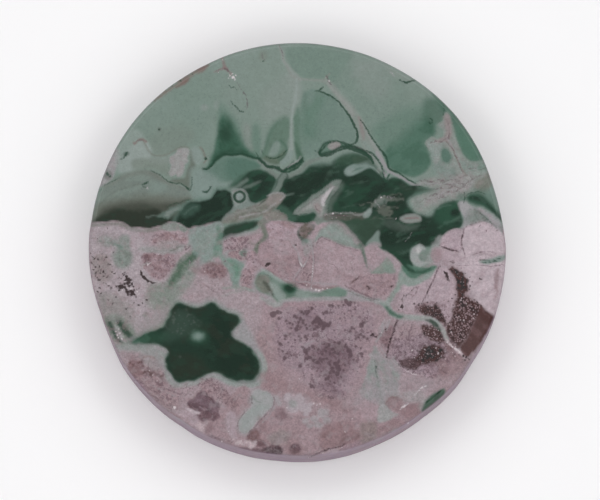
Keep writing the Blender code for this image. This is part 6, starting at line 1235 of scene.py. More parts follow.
    # left lower: curved dark mark, a broken black cluster and strings of specks
    c.stroke(dark, [(140.8, 271.5, 1.2), (142.6, 275.4, 2.8), (145.4, 278.6, 3.0), (148.6, 280.4, 1.8), (151.4, 282.6, 1.6), (156, 283, 0.7)], rough=2.2, wave=2.8)
    c.stroke(pale, [(146.6, 276.2, 0.1), (149.4, 278.6, 0.4), (153.4, 280.4, 0.2)], rough=1.6, wave=2)
    cluster = (
        (127, 277, 1.5), (128.6, 279.4, 1.7), (129.2, 282, 1.6), (127.4, 283.4, 1.3), (124.6, 284, 1.2), (122.4, 285.4, 1.4), (119.8, 286.2, 1.3), (117.6, 287, 1.0), (121.4, 287.8, 1.4), (124.4, 287.6, 1.4), (126.4, 289.6, 1.4),
        (123.2, 274.4, 0.9), (125, 272.8, 0.7), (131.6, 284.4, 1.1), (129.4, 286.2, 1.1), (133.4, 286.4, 0.8), (128.4, 292, 1.4), (130.6, 291, 1.4), (132.8, 292.6, 1.5), (134.6, 294.6, 1.4), (131, 294.6, 1.2), (134.4, 290.4, 0.9), (128.4, 294.8, 0.9),
        (125.4, 292.2, 0.9), (119.4, 289.8, 0.9), (116, 284.8, 0.7), (121, 282.4, 0.8), (126, 279.6, 0.8), (124, 280.6, 0.6), (131.4, 279.6, 0.7), (137, 289, 0.5), (136.4, 297, 0.5),
    )
    for x, y, r in cluster:
        c.fleck(dark, x, y, r, rough=2.2, wave=2.0)
    strings = (
        (90.6, 253.6), (92.4, 256), (94, 258.2), (96.4, 257), (98.6, 259.4), (91.4, 262.4), (93.4, 265), (95.6, 266.4), (97.4, 264), (99.6, 266.8), (101.6, 265), (101, 269.4), (103, 271.6), (105.2, 274), (103.4, 276.4), (106.4, 277.8), (108.6, 276),
        (100, 273), (98.4, 270.6), (96.4, 272.4), (95, 275.6), (97.6, 277.6), (99.4, 280), (102, 279.6), (104, 282.6), (106.8, 283.4), (109.4, 286.2), (111.6, 288), (107.6, 262.4), (109.6, 264.6), (111.4, 266.6), (104.6, 259.4), (106.6, 257),
        (102.4, 253.8), (99.8, 251.6), (108.4, 268.4), (112.6, 271.6), (115, 273.4), (113, 277.6), (117.4, 278.4), (119.4, 276), (121.6, 278.6), (99.6, 288), (97.6, 291), (100.6, 293.8), (98.8, 296.4), (95, 285.6), (93.6, 270), (92, 276.6),
        (107, 228), (98, 240), (98.4, 244.4), (113.4, 252.6), (120.6, 311), (108.2, 300.4), (112.6, 303.5), (116.4, 296.6), (147.4, 299.6), (134.6, 302), (143, 303.4), (145.8, 306.4), (150.5, 285.8), (139.4, 305.4), (150, 311), (126.6, 309), (131, 316),
    )
    for k, (x, y) in enumerate(strings):
        c.fleck(dark, x, y, 0.38 + 0.48 * ((k * 7) % 5) / 4, rough=2.2, wave=2.0)
    for x, y, r in (
        (186, 249.2, 0.8), (188.6, 247.6, 0.8), (185, 246.8, 0.6), (190, 245.6, 0.5), (145, 262.4, 0.6), (148.6, 259.6, 0.7), (158.6, 259.4, 0.6), (165, 262, 0.5), (152, 270, 0.5), (161, 270.2, 0.5), (160, 237.4, 0.4), (171, 238.6, 0.4),
        (208, 267.5, 0.7), (214, 269.6, 0.8), (220, 272.4, 0.8), (217, 276.8, 0.8), (210.4, 272.8, 0.6), (225, 261, 0.5), (215.4, 274, 0.9), (222.4, 275.4, 0.7), (212, 266.4, 0.6), (219, 269, 0.6), (236, 243.4, 0.4), (251.4, 237.6, 0.4),
        (126.5, 266.3, 0.4), (163, 282.6, 0.4), (139, 288.4, 0.4), (190, 262.6, 0.6), (246, 269, 0.6), (249.6, 272.4, 0.6), (243.4, 275.6, 0.6), (250.6, 279.4, 0.6), (246, 283, 0.6), (253.4, 262, 0.6), (256, 266.4, 0.5), (268, 275.6, 0.6),
    ):
        c.fleck(rust, x, y, r + 0.15, rough=1.6, wave=2.2)
    for x, y, r in ((149.6, 263.6, 0.7), (147, 264.6, 0.6), (131.8, 288.4, 0.8), (128, 287.6, 0.5), (125, 281.6, 0.6), (122.4, 290, 0.5), (137.4, 291.4, 0.5), (130.6, 289, 0.5), (133, 297.6, 0.4), (258, 322.6, 0.4), (299.5, 378, 0.5), (251, 313, 0.3), (118.6, 337.6, 0.8), (120.4, 333, 0.6), (116.6, 331.6, 0.5), (122, 338.6, 0.5), (119, 328.6, 0.4), (117.6, 334.6, 0.5),
                    (158, 254.6, 0.4), (170, 256.6, 0.4), (205, 271.6, 0.4), (213, 282, 0.4), (98, 228, 0.3), (219, 282.4, 0.4)):
        c.fleck(white, x, y, r, rough=1.6, wave=2)
    c.stroke(rust, [(211, 280, 0.3), (216, 286, 0.6), (221, 291, 0.6), (226, 295, 0.4)], rough=1.6, wave=3)
    c.stroke(rust, [(206, 286, 0.3), (212, 290, 0.6), (218, 293, 0.3)], rough=1.6, wave=3)
    c.stroke(pale, [(186, 256, 0.3), (190, 262, 0.6), (188, 268, 0.4)], rough=1.6, wave=3)
    # around the right seam
    c.stroke(dark, [(404.3, 293, 0.5), (402.8, 297, 1.2), (402, 301, 0.9), (402.2, 305, 1.4), (402.4, 309, 0.8), (403, 313, 0.5)], rough=2.4, wave=2.6)
    c.stroke(rust, [(438.5, 266, 0.8), (436, 273, 1.0), (433.6, 279, 1.1), (430, 286, 1.2), (427, 293, 1.0), (422, 302, 0.8)], rough=1.2, wave=3)
    c.stroke(dark, [(438.5, 268, 0.2), (436, 273, 0.4), (433.6, 279, 0.5), (430, 286, 0.6), (427, 293, 0.5), (424, 299, 0.2)], rough=1.8, wave=2.6)
    c.stroke(dark, [(443.6, 270.6, 0.8), (445.6, 273.4, 2.6), (447, 277, 3.2), (449, 281, 1.6)], rough=3.0, wave=2.4)
    c.stroke(rust, [(411, 291, 0.6), (414, 288.4, 0.9), (418, 286.3, 0.5), (416, 292, 0.5), (412, 297, 0.6)], rough=1.6, wave=3)
    c.stroke(dark, [(410.6, 290.6, 0.2), (414, 288, 0.5), (417.6, 286.3, 0.2)], rough=1.6, wave=3)
    c.stroke(dark, [(405, 296, 0.3), (408, 294, 0.6), (412, 295, 0.3)], rough=1.6, wave=2.6)
    c.stroke(rust, [(397, 320, 1.6), (394.6, 327, 2.0), (392.6, 334, 1.8), (389.6, 342, 1.8), (387.4, 350, 1.8), (386.4, 356, 1.2)], rough=2.0, wave=3)
    c.stroke(dark, [(396.4, 321, 0.7), (394.2, 328, 1.1), (392, 335, 0.8), (389.2, 343, 1.1), (387, 351, 0.9), (386, 356, 0.5)], rough=2.2, wave=2.8)
    c.stroke(rust, [(412.6, 322, 0.8), (410.4, 329, 1.1), (408.4, 336, 1.1), (406.4, 341, 0.7)], rough=1.6, wave=3)
    c.stroke(rust, [(405, 326, 0.3), (402, 333, 0.5), (398, 340, 0.5), (394, 349, 0.3)], rough=1.8, wave=3)
    c.stroke(pale, [(386, 317.6, 0.8), (382.6, 323, 1.6), (382.6, 328, 1.8), (381.6, 333, 1.8), (378, 338, 1.6), (375, 343, 1.0)], rough=2.0, wave=3)
    c.stroke(pale, [(391, 317.6, 0.6), (388.6, 323, 1.0), (386, 330, 0.8)], rough=1.8, wave=3)
    for x, y, r in ((384.6, 319.4, 0.9), (382, 324.4, 0.9), (383.4, 328.6, 0.8), (381.6, 332.6, 0.9), (378.6, 337.4, 0.8), (375.4, 342, 0.8), (389.4, 319.6, 0.7), (387.4, 325, 0.7), (380, 329, 0.5), (384.6, 333, 0.5), (377, 345.6, 0.5), (386.6, 321.6, 0.5)):
        c.fleck(white, x, y, r * 0.4, rough=2.4, wave=2.4)
    c.stroke(pale, [(380, 347, 0.8), (383.6, 352, 1.2), (386, 357, 0.9)], rough=1.6, wave=3)
    for x, y, r in ((456, 289.3, 0.7), (470, 285.6, 0.7), (474, 299.6, 0.7), (477.6, 302.4, 0.7), (453, 305, 0.9), (448, 300.8, 0.6), (440.6, 266, 0.5), (470.3, 286.8, 0.5), (481.5, 278.8, 0.9), (479.6, 278.4, 0.6), (461, 268.6, 0.6), (465.4, 273.6, 0.5), (470, 277, 0.5), (471.4, 282, 0.5), (468.6, 289, 0.6), (455, 295, 0.6), (452, 298, 0.5), (449.6, 305.4, 0.6),
                    (372.6, 334.2, 1.2), (375.4, 336.4, 0.7), (370.6, 335.4, 0.6), (385.4, 329, 0.6), (401, 307, 0.7), (398.6, 309.4, 0.5), (414, 303.6, 0.7), (412.4, 291.4, 0.5), (418.6, 304.4, 0.8), (423.8, 300, 0.6), (421, 303, 0.7), (427, 302.4, 0.6), (416, 309, 0.6), (386.6, 356.8, 0.7), (436, 302.6, 0.6), (444, 300.6, 0.5),
                    (463, 355, 0.9), (466, 357, 1.0), (469, 359.4, 0.8), (464.4, 359.6, 0.6), (452, 261.6, 0.9), (454, 262.6, 0.7), (450, 262, 0.5)):
        c.fleck(dark, x, y, r, rough=1.8, wave=2.2)
    c.stroke(white, [(447, 341.5, 0.3), (451, 345.6, 0.7), (454, 348, 0.7), (457.5, 350, 1.2), (460.4, 353, 1.0)], rough=1.6, wave=2.4)
    for x, y, r in ((438, 352.4, 1.1), (445, 351.2, 0.4), (427.5, 353.6, 0.5), (431, 350.2, 0.4), (433, 357, 0.4), (441, 357.6, 0.5), (414, 357.6, 0.5), (407, 361, 0.4), (412, 350.4, 0.4), (421.4, 362.4, 0.4), (444.6, 358.2, 0.5), (448.6, 356, 0.4), (452, 352.8, 0.5), (442.6, 364, 0.4), (424, 349, 0.4), (435.4, 347.6, 0.4), (429, 359, 0.4),
                    (431, 337.6, 0.5), (434.6, 333.6, 0.4), (427.6, 331.2, 0.4), (436.8, 337.8, 0.4), (470, 305, 0.5), (466.4, 303.4, 0.4), (455, 350, 0.6), (417.6, 364.6, 0.4), (409, 365, 0.4)):
        c.fleck(white, x, y, r * 0.6, rough=1.8, wave=2)
    c.vein("lilac>bone:0.5", [(396, 364.6, 0.8), (402, 368, 1.6), (409, 371.4, 1.8), (416, 374, 1.6), (423, 374.4, 0.8)], soft=0.9, strength=0.7, rough=1.8, wave=3)
    c.stroke(white, [(404, 369.4, 0.1), (410, 372.4, 0.4), (416, 374.3, 0.2)], rough=1.8, wave=2.4)
    # pale arcs in the plum clast
    c.stroke(pale, [(300, 352, 0.3), (303.4, 348, 0.6), (307, 344.4, 0.7), (314, 340.4, 0.4)], rough=1.6, wave=3)
    c.stroke(pale, [(318, 345, 0.2), (324, 342.4, 0.5), (332, 341, 0.2)], rough=1.6, wave=3)
    # foliation and flecks at the bottom left
    for line in ([(140, 382, 0.3), (150, 388, 0.7), (160, 394, 0.6), (168, 398, 0.3)], [(148, 392, 0.3), (158, 398, 0.7), (168, 404, 0.6), (178, 409, 0.3)], [(134, 374, 0.3), (141, 381, 0.6), (148, 388, 0.4)], [(166, 388, 0.3), (176, 392, 0.5), (186, 394, 0.3)]):
        c.stroke(rust, line, rough=1.8, wave=4)
    for line in ([(150, 384.6, 0.3), (160, 388, 0.7), (170, 393, 0.7), (177, 396.6, 0.3)], [(158, 402, 0.3), (167, 408, 0.7), (176, 412.6, 0.5)], [(170, 414, 0.3), (182, 421, 0.7), (192, 428, 0.4)]):
        c.stroke(pale, line, rough=1.8, wave=4)
    # white flecks; the larger ones at (175, 407) and (408, 423) are painted glints
    for x, y, r in ((175, 407, 1.2), (171, 402, 0.4), (150, 370, 0.4), (158, 380, 0.5), (153, 375, 0.4), (222, 441, 0.7), (408, 423, 0.9), (229, 431, 0.4), (287, 407, 0.4), (313.6, 402.6, 0.5), (317, 404.4, 0.6), (320, 403.6, 0.4), (345, 431, 0.4), (352, 418, 0.4), (181, 414, 0.4), (164, 420, 0.3)):
        c.fleck(white, x, y, r, rough=1.2, wave=2.4)
    # pale pink flecks near the bottom rim, partly the stone's own flecks and partly painted glints
    for x, y, r in ((237.6, 442, 1.5), (240.6, 440.6, 1.2), (243, 443.4, 1.0), (250, 442, 1.4), (253, 444, 1.6), (255.4, 441.6, 1.1), (251, 446, 1.0), (246.6, 441, 0.7), (234, 438.6, 0.6)):
        c.blob("bone", x, y, r + 0.9, soft=0.8, strength=0.95, rough=1.8, wave=2.6)
    for x, y, r in ((213, 435, 0.7), (216, 437, 0.7), (226, 396, 0.7), (224.6, 394, 0.8), (227, 393, 0.6), (222.6, 397, 0.6), (233, 399, 0.8), (236, 401, 0.8), (234.4, 403, 0.6), (238, 398.4, 0.6), (231.6, 401.6, 0.5), (252, 398, 0.7), (252.6, 402.6, 0.7), (229, 439.6, 0.6), (232, 441, 0.5), (370.4, 434.8, 0.6), (374, 440, 0.6), (376.4, 445.4, 0.5),
                    (191, 394, 0.5), (188, 389.6, 0.4), (215, 388, 0.6), (219, 390.6, 0.6), (212, 385, 0.5), (222, 386.6, 0.5), (208, 386.4, 0.5), (203, 384, 0.4)):
        c.fleck(rust, x, y, r + 0.1, rough=1.6, wave=2.2)
    # rod outlines
    c.stroke(rust, [(238.4, 428, 0.4), (238.2, 421, 0.6), (241.6, 415.6, 0.6), (247, 409, 0.4)], rough=1.0, wave=3)
    c.stroke(rust, [(274.4, 396, 0.4), (274, 403, 0.7), (269, 410.6, 0.5), (263.2, 416.8, 0.8), (258, 422.6, 0.5), (252.6, 428.6, 0.7), (248, 433, 0.4)], rough=1.4, wave=2.6)
    c.stroke(rust, [(249.6, 391, 0.4), (252, 397, 0.6), (251.6, 404, 0.5)], rough=1.0, wave=3)
    c.stroke(pale, [(276.6, 398, 0.2), (276, 404, 0.5), (270.8, 412.6, 0.6), (265, 419, 0.6), (259, 425.6, 0.4)], rough=1.4, wave=3)
    # cracks at the foot
    c.stroke(rust, [(308, 457.6, 0.8), (315, 454, 1.2), (322, 450.6, 1.3), (330, 447.6, 1.3), (338, 446, 1.2), (345, 442.4, 1.1), (352, 438.4, 0.6)], rough=2.0, wave=3.5)
    c.stroke(dark, [(311, 456.6, 0.2), (317, 453, 0.4), (324, 449.6, 0.5), (331, 447.4, 0.4), (338, 446.4, 0.4), (344, 443.4, 0.3)], rough=2.2, wave=3)
    for x, y, r in ((323, 452.4, 0.4), (341, 446.4, 0.3), (309, 458.6, 0.4)):
        c.fleck(white, x, y, r, rough=1.8, wave=2)
    # painted highlights: white and pale strokes parallel to the lower right rim, glints where the face turns into the
    # edge
    c.stroke(white, [(399.4, 408.6, 0.6), (402, 406.4, 1.2), (405, 404.6, 0.9), (409, 402, 0.4)], rough=2.0, wave=2.4)
    c.stroke(white, [(412, 397, 0.1), (416.4, 392.2, 0.5), (420, 388.4, 0.6), (424, 385.6, 0.4), (428, 384, 0.1)], rough=2.0, wave=2.4)
    c.stroke(pale, [(400, 408.6, 0.4), (405, 404.4, 0.8), (411, 399, 0.7), (416, 392.8, 0.8), (421, 387.4, 0.8), (428, 384, 0.4)], rough=1.8, wave=3)
    c.stroke(pale, [(388, 432, 0.6), (392.4, 430.4, 1.1), (396.6, 427.8, 0.6)], rough=1.2, wave=4)
    c.stroke(pale, [(372, 443.4, 0.5), (378, 441, 1.1), (384.6, 438, 0.6)], rough=1.2, wave=4)
    c.stroke(rust, [(412.6, 397.6, 0.4), (409, 402, 0.6), (405, 406.6, 0.4)], rough=1.2, wave=4)
    c.stroke(ink, [(374, 360, 0.3), (376, 366, 0.7), (375.6, 372, 0.5), (378, 379, 0.3)], rough=1.8, wave=3)
    # right rim: lilac clast with its cracks, the thin green streak
    c.stroke(rust, [(463.6, 228.6, 0.9), (463.4, 234, 1.1), (462, 240, 1.2), (461.6, 246, 1.0), (464.2, 252, 1.0), (465, 258, 0.6)], rough=1.4, wave=3)
    c.stroke(dark, [(462.4, 232, 0.2), (461.6, 238, 0.6), (461.4, 244, 0.5), (463.6, 250, 0.3)], rough=1.6, wave=2.6)
    c.stroke(rust, [(438.6, 245, 0.9), (445, 247.6, 1.4), (452, 250, 1.5), (459, 251.6, 1.0)], rough=1.4, wave=3)
    c.stroke(dark, [(441, 246, 0.2), (447, 248.2, 0.7), (453, 250.4, 0.6), (457, 251.2, 0.2)], rough=1.6, wave=2.6)
    c.stroke(rust, [(472.6, 255, 0.4), (480, 252.4, 0.7), (488, 251.6, 0.7), (496, 253.4, 0.4)], rough=1.4, wave=3)
    c.stroke(ink, [(477, 260.6, 0.4), (483, 259.8, 0.8), (490, 260.6, 0.9), (497, 259, 0.8), (502, 258, 0.4)], rough=1.6, wave=3.5)
    c.stroke(ink, [(482, 262.8, 0.3), (489, 262.4, 0.7), (497, 261.4, 0.4)], rough=1.6, wave=3.5)
    c.stroke(rust, [(455, 265, 0.3), (465, 265.3, 0.6), (475, 264.4, 0.8), (483, 265.4, 0.8), (492, 266, 0.8), (502, 264.3, 0.5)], rough=1.4, wave=4)
    c.stroke(pale, [(477, 209, 0.5), (484, 213.4, 1.0), (490, 218.4, 1.1), (495, 223.4, 1.0), (499.6, 229.6, 0.6)], rough=1.6, wave=4)
    c.stroke(ink, [(480, 213, 0.3), (487, 218.6, 0.7), (493, 226, 0.5)], rough=1.8, wave=3)
    for x, y in ((466, 226.6), (471, 224.4), (476, 222.8), (482, 221.6), (487, 222.8), (492, 226), (497, 230.4), (480, 226), (486, 231)):
        c.fleck(rust, x, y, 0.6, rough=1.8, wave=2)


def draw_right_rim(c):
    """Lilac clasts against the right rim, drawn last, and a whiter lilac strip painted along the rim as its reflection.
    """
    c.patch("lilac>white:0.24", [(463, 230), (468, 227), (475, 224), (483, 222), (490, 223.5), (496, 228), (501, 232), (504, 240), (506, 251), (490, 254), (480, 252), (471, 254), (462, 256), (458, 251), (462, 240)], soft=1.2, strength=0.95, kind="halo", detail=(0, 0, 0))
    c.patch("lilac>white:0.32", [(466, 240), (478, 234), (490, 238), (494, 246), (484, 249), (472, 248)], soft=3, strength=0.5)
    c.patch("lilac>pink:0.1", [(441, 240), (446, 234), (453, 230), (460, 229), (462, 236), (462, 245), (462, 252), (455, 252), (448, 249), (441, 247)], soft=1.2, strength=0.92, kind="matrix", detail=(0, 0.15, 0))
    c.patch("lilac>pink:0.35", [(438, 248, 1.4), (450, 252, 1.4), (462, 256, 1.6), (462, 262, 2), (450, 262, 2.4), (440, 258, 2.4), (436, 253, 2)], strength=0.8, kind="halo")
    c.patch("mauve>pink:0.4", [(431.6, 250.6), (435, 247.6), (439.6, 248.6), (441.6, 253), (440.6, 259), (436.6, 262.6), (432.6, 260), (431, 255)], soft=1.3, strength=0.75, rough=1.6, kind="halo")
    c.vein("rose>bone:0.3", [(432, 249.4), (436, 246.8), (440.4, 248.4), (442.4, 253), (441.6, 259)], width=1.2, soft=0.8, strength=0.7, rough=1.2, wave=4)
    c.patch("lilac>white:0.2", [(464, 257, 1.6), (478, 256, 1.6), (492, 255, 1.4), (486, 259, 1.4), (476, 261, 1.4), (466, 262, 1.6)], strength=0.7)
    c.patch("mint>sage:0.25", [(478, 261.6), (485, 259.6), (493, 258), (500, 255), (505, 255), (505, 260), (495, 262.6), (486, 263.6)], soft=1.0, strength=0.9, kind="green")
    # painted reflection: a whiter lilac strip along the right rim
    c.patch("lilac>white:0.22", [(496, 232, 2), (504, 236, 2), (508, 244, 2), (507, 253, 2), (498, 254, 2)], strength=0.75)


ink_brown = "dark"


def draw_side(c):
    """The straight side: violet painted over it as reflection of the lilac surroundings and as shade, heavier toward
    the front half, and brown and lilac streaks that run round the stone.
    """
    side = (zone == 1) * smooth((SHOULDER_Z - 0.1 - shape[:, 2]) / 0.7)
    low_half = 0.45 + 0.55 * smooth((-shape[:, 1] / RADIUS + 0.1) / 0.5)
    turn = np.arctan2(shape[:, 1], shape[:, 0])
    layers = np.stack([7 * np.cos(turn), 7 * np.sin(turn), shape[:, 2] * 0.55], 1)
    # violet: painted reflection of the lilac surroundings and painted shade, weighted toward the front half (toward -y)
    c.paint(side * low_half * 0.82, "violet", "halo")
    c.paint(side * low_half * smooth(fractal(layers, 611, 3) / 0.3) * 0.42, "clay")
    c.paint(side * low_half * smooth(fractal(layers + 9.0, 617, 3) / 0.3 - 0.2) * 0.35, "lilac")
    c.paint(side * low_half * smooth(fractal(layers * 1.7 + 3.0, 619, 3) / 0.3 - 0.5) * 0.4, "plum")


for draw in (
    draw_ground,
    draw_upper_left,
    draw_upper_middle,
    draw_dark_band,
    draw_lower_ground,
    draw_seams,
    draw_web,
    draw_left_lower,
    draw_big_patch,
    draw_centre_lower,
    draw_plum,
    draw_brown,
    draw_green_seam,
    draw_bottom,
    draw_right_rim,
    draw_side,
    draw_lines,
):
    draw(chart)

# ---------------------------------------------------------------------------
# The relief: the softer matrix polishes a little lower, cracks and pits lower still
# ---------------------------------------------------------------------------
q = chart.p
matrix, brown = chart.kind[:, 1], chart.kind[:, 2]
sunk = 0.022 * matrix + 0.045 * brown
sunk += (0.012 * matrix + 0.02 * brown) * (0.5 + 0.5 * fractal(q / 4.0, 401, 2))
pits = smooth((fractal(q / 3.2, 411, 2) - 0.30) / 0.25)
sunk += 0.075 * pits * np.clip(chart.detail[:, 0] * 1.2 + 0.35 * chart.detail[:, 2], 0, 1)
for name, deep in (("dark", 0.05), ("rust", 0.03), ("ink", 0.006), ("white", -0.004)):
    sunk += deep * smooth(0.5 + chart.lines[name] / 1.4)
sunk += 0.03 * (0.5 + 0.5 * fractal(shape / 9.0, 421, 2))
# a few healed flaws on the rim
around = np.stack([shape[:, 0], shape[:, 1], shape[:, 2]], 1)
chips = smooth((fractal(around / np.array([2.6, 2.6, 1.8]), 431, 2) - 0.42) / 0.2)
edge = (zone == 1) & (shape[:, 2] > SHOULDER_Z - 2.2 * ROLL)
foot = smooth((-shape[:, 1] / RADIUS - 0.35) / 0.4)

out = np.zeros_like(shape)
r = np.maximum(np.hypot(shape[:, 0], shape[:, 1]), 1e-9)
radial = np.stack([shape[:, 0] / r, shape[:, 1] / r, np.zeros(len(r))], 1)
lift = np.where(zone == 0, 1.0, 0.0)
roll_up = np.clip((shape[:, 2] - (SHOULDER_Z - ROLL)) / ROLL, 0, 1) * (zone == 1)
lift = np.maximum(lift, np.sin(roll_up * math.pi / 2))
reach = np.sqrt(np.clip(1 - lift**2, 0, 1)) * (zone == 1)
low = np.clip(shape[:, 2] / BACK_ROLL, 0, 1)
reach = reach * np.where(shape[:, 2] < BACK_ROLL, low, 1.0)
wobble = 0.05 * (0.5 + 0.5 * perlin(shape / np.array([14.0, 14.0, 30.0]), 441))
out[:, 2] = -lift * (sunk + 0.10 * chips * edge * foot)
out[:, :2] = -(reach * (sunk * 0.8 + wobble + 0.16 * chips * edge * foot))[:, None] * radial[:, :2]
surface = shape + out
surface[zone == 2, 2] = 0.0

# ---------------------------------------------------------------------------
# The mesh and the values that its material reads
# ---------------------------------------------------------------------------
# What the polish adds as sheen is taken off the tint, so that the stone reads right.
VEIL = np.array([0.0150, 0.0136, 0.0152])
GAIN = np.array([0.988, 0.988, 0.988])
tint = np.clip((chart.tint - VEIL * (1 + 1.7 * chart.kind[:, 2:3])) * GAIN, 0.002, 1)

mesh = bpy.data.meshes.new("variscite")
mesh.from_pydata((surface * MM).tolist(), [], triangles.tolist())
mesh.validate()
mesh.polygons.foreach_set("use_smooth", np.ones(len(mesh.polygons), bool))


def keep(name, kind, values):
    layer = mesh.attributes.new(name, kind, "POINT")
    key = "color" if kind == "FLOAT_COLOR" else "vector" if kind == "FLOAT_VECTOR" else "value"
    layer.data.foreach_set(key, np.ascontiguousarray(values, dtype=np.float32).ravel())


keep("tint", "FLOAT_COLOR", np.concatenate([tint, np.ones((len(tint), 1))], 1))
keep("kind", "FLOAT_VECTOR", chart.kind)
keep("detail", "FLOAT_VECTOR", chart.detail)
keep("fabric", "FLOAT_VECTOR", chart.fabric)
keep("place", "FLOAT_VECTOR", np.concatenate([chart.p, shape[:, 2:3] / UNIT], 1))
for name in ("ink", "rust", "blush", "spot", "pale", "white", "dark"):
    keep("line_" + name, "FLOAT", chart.lines[name])
keep("back", "FLOAT", (zone == 2) * 1.0)
keep("rim", "FLOAT", (zone == 1) * 1.0)
mesh.update()

stone = bpy.data.objects.new("variscite_stone", mesh)
bpy.context.scene.collection.objects.link(stone)

# ---------------------------------------------------------------------------
# The material
# ---------------------------------------------------------------------------
mat = bpy.data.materials.new("polished_variscite")
mat.use_nodes = True
tree = mat.node_tree
tree.nodes.clear()


def node(kind, **values):
    n = tree.nodes.new(kind)
    for k, v in values.items():
        setattr(n, k, v)
    return n


def wire(a, b):
    tree.links.new(a, b)


def feed(socket, value):
    if isinstance(value, bpy.types.NodeSocket):
        wire(value, socket)
    else:
        socket.default_value = value


def attribute(name, socket="Fac"):
    return node("ShaderNodeAttribute", attribute_type="GEOMETRY", attribute_name=name).outputs[socket]


def math_node(op, a, b=0.0, c=0.0, clamp=False):
    n = node("ShaderNodeMath", operation=op, use_clamp=clamp)
    feed(n.inputs[0], a)
    feed(n.inputs[1], b)
    if len(n.inputs) > 2:
        feed(n.inputs[2], c)
    return n.outputs[0]


def ramp(value, lo, hi, to_lo=0.0, to_hi=1.0):
    n = node("ShaderNodeMapRange", interpolation_type="SMOOTHSTEP")
    feed(n.inputs["Value"], value)
    n.inputs["From Min"].default_value = lo
    n.inputs["From Max"].default_value = hi
    n.inputs["To Min"].default_value = to_lo
    n.inputs["To Max"].default_value = to_hi
    return n.outputs[0]


def mix(factor, a, b, blend="MIX"):
    n = node("ShaderNodeMix", data_type="RGBA", blend_type=blend)
    feed(n.inputs[0], factor)
    feed(n.inputs[6], a)
    feed(n.inputs[7], b)
    return n.outputs[2]


def noise(vector, scale, detail=2.0, rough=0.5, twist=0.0):
    n = node("ShaderNodeTexNoise", noise_dimensions="3D")
    wire(vector, n.inputs["Vector"])
    n.inputs["Scale"].default_value = scale
    n.inputs["Detail"].default_value = detail
    n.inputs["Roughness"].default_value = rough
    n.inputs["Distortion"].default_value = twist
    return n.outputs["Fac"]


def shade(colour, amount):
    """The colour times a value."""
    n = node("ShaderNodeVectorMath", operation="SCALE")
    feed(n.inputs[0], colour)
    feed(n.inputs["Scale"], amount)
    return n.outputs[0]


def paint(name, share=1.0):
    return (*[float(v) * share for v in (tone(name) - VEIL) * GAIN], 1.0)


place = attribute("place", "Vector")
kinds = node("ShaderNodeSeparateXYZ")
wire(attribute("kind", "Vector"), kinds.inputs[0])
is_green, is_matrix, is_brown = kinds.outputs
details = node("ShaderNodeSeparateXYZ")
wire(attribute("detail", "Vector"), details.inputs[0])
sandy, plummy, specky = details.outputs

fabrics = node("ShaderNodeSeparateXYZ")
wire(attribute("fabric", "Vector"), fabrics.inputs[0])
thready, rubbly, salty = fabrics.outputs

colour = attribute("tint", "Color")

# broad mottling, then the fine grain of the matrix
wide = noise(place, 0.10, 3.0, 0.6)
strong = math_node("MULTIPLY_ADD", is_matrix, 0.22, 0.20)
colour = shade(colour, math_node("MULTIPLY_ADD", math_node("SUBTRACT", wide, 0.5), strong, 1.0))
middle = noise(place, 0.28, 2.0, 0.6)
strong = math_node("MULTIPLY_ADD", is_matrix, 0.50, 0.24)
colour = shade(colour, math_node("MULTIPLY_ADD", math_node("SUBTRACT", middle, 0.5), strong, 1.0))
fine = noise(place, 0.62, 2.0, 0.6)
strong = math_node("MULTIPLY_ADD", is_matrix, 0.62, math_node("MULTIPLY_ADD", is_brown, 0.7, 0.22))
colour = shade(colour, math_node("MULTIPLY_ADD", math_node("SUBTRACT", fine, 0.5), strong, 1.0))

# fine dust in the green
dust = noise(place, 0.40, 2.0, 0.65)
colour = shade(colour, math_node("MULTIPLY_ADD", math_node("MULTIPLY", ramp(dust, 0.56, 0.70), is_green), -0.13, 1.0))

# rosy and grey drift inside the matrix
hue = noise(place, 0.19, 3.0, 0.6)
colour = mix(math_node("MULTIPLY", ramp(hue, 0.50, 0.66), math_node("MULTIPLY", is_matrix, 0.34)), colour, paint("mauve"))
hue = noise(place, 0.13, 3.0, 0.6, 0.4)
colour = mix(math_node("MULTIPLY", ramp(hue, 0.50, 0.66), math_node("MULTIPLY", is_matrix, 0.30)), colour, paint("ash"))

# rubble: small angular pieces of slightly different tones
chunk = node("ShaderNodeTexVoronoi", voronoi_dimensions="3D", feature="F1")
bent = node("ShaderNodeVectorMath", operation="MULTIPLY_ADD")
bend = node("ShaderNodeTexNoise", noise_dimensions="3D")
wire(place, bend.inputs["Vector"])
bend.inputs["Scale"].default_value = 0.3
wire(bend.outputs["Color"], bent.inputs[0])
bent.inputs[1].default_value = (4.0, 4.0, 4.0)
wire(place, bent.inputs[2])
wire(bent.outputs[0], chunk.inputs["Vector"])
chunk.inputs["Scale"].default_value = 0.24
chunk_rgb = node("ShaderNodeSeparateColor")
wire(chunk.outputs["Color"], chunk_rgb.inputs[0])
strong = math_node("MULTIPLY", rubbly, 0.36)
colour = shade(colour, math_node("MULTIPLY_ADD", math_node("SUBTRACT", chunk_rgb.outputs[0], 0.5), strong, 1.0))
colour = mix(math_node("MULTIPLY", ramp(chunk_rgb.outputs[1], 0.62, 0.8), math_node("MULTIPLY", rubbly, 0.55)), colour, paint("russet"))
colour = mix(math_node("MULTIPLY", ramp(chunk_rgb.outputs[2], 0.66, 0.84), math_node("MULTIPLY", rubbly, 0.6)), colour, paint("fog"))

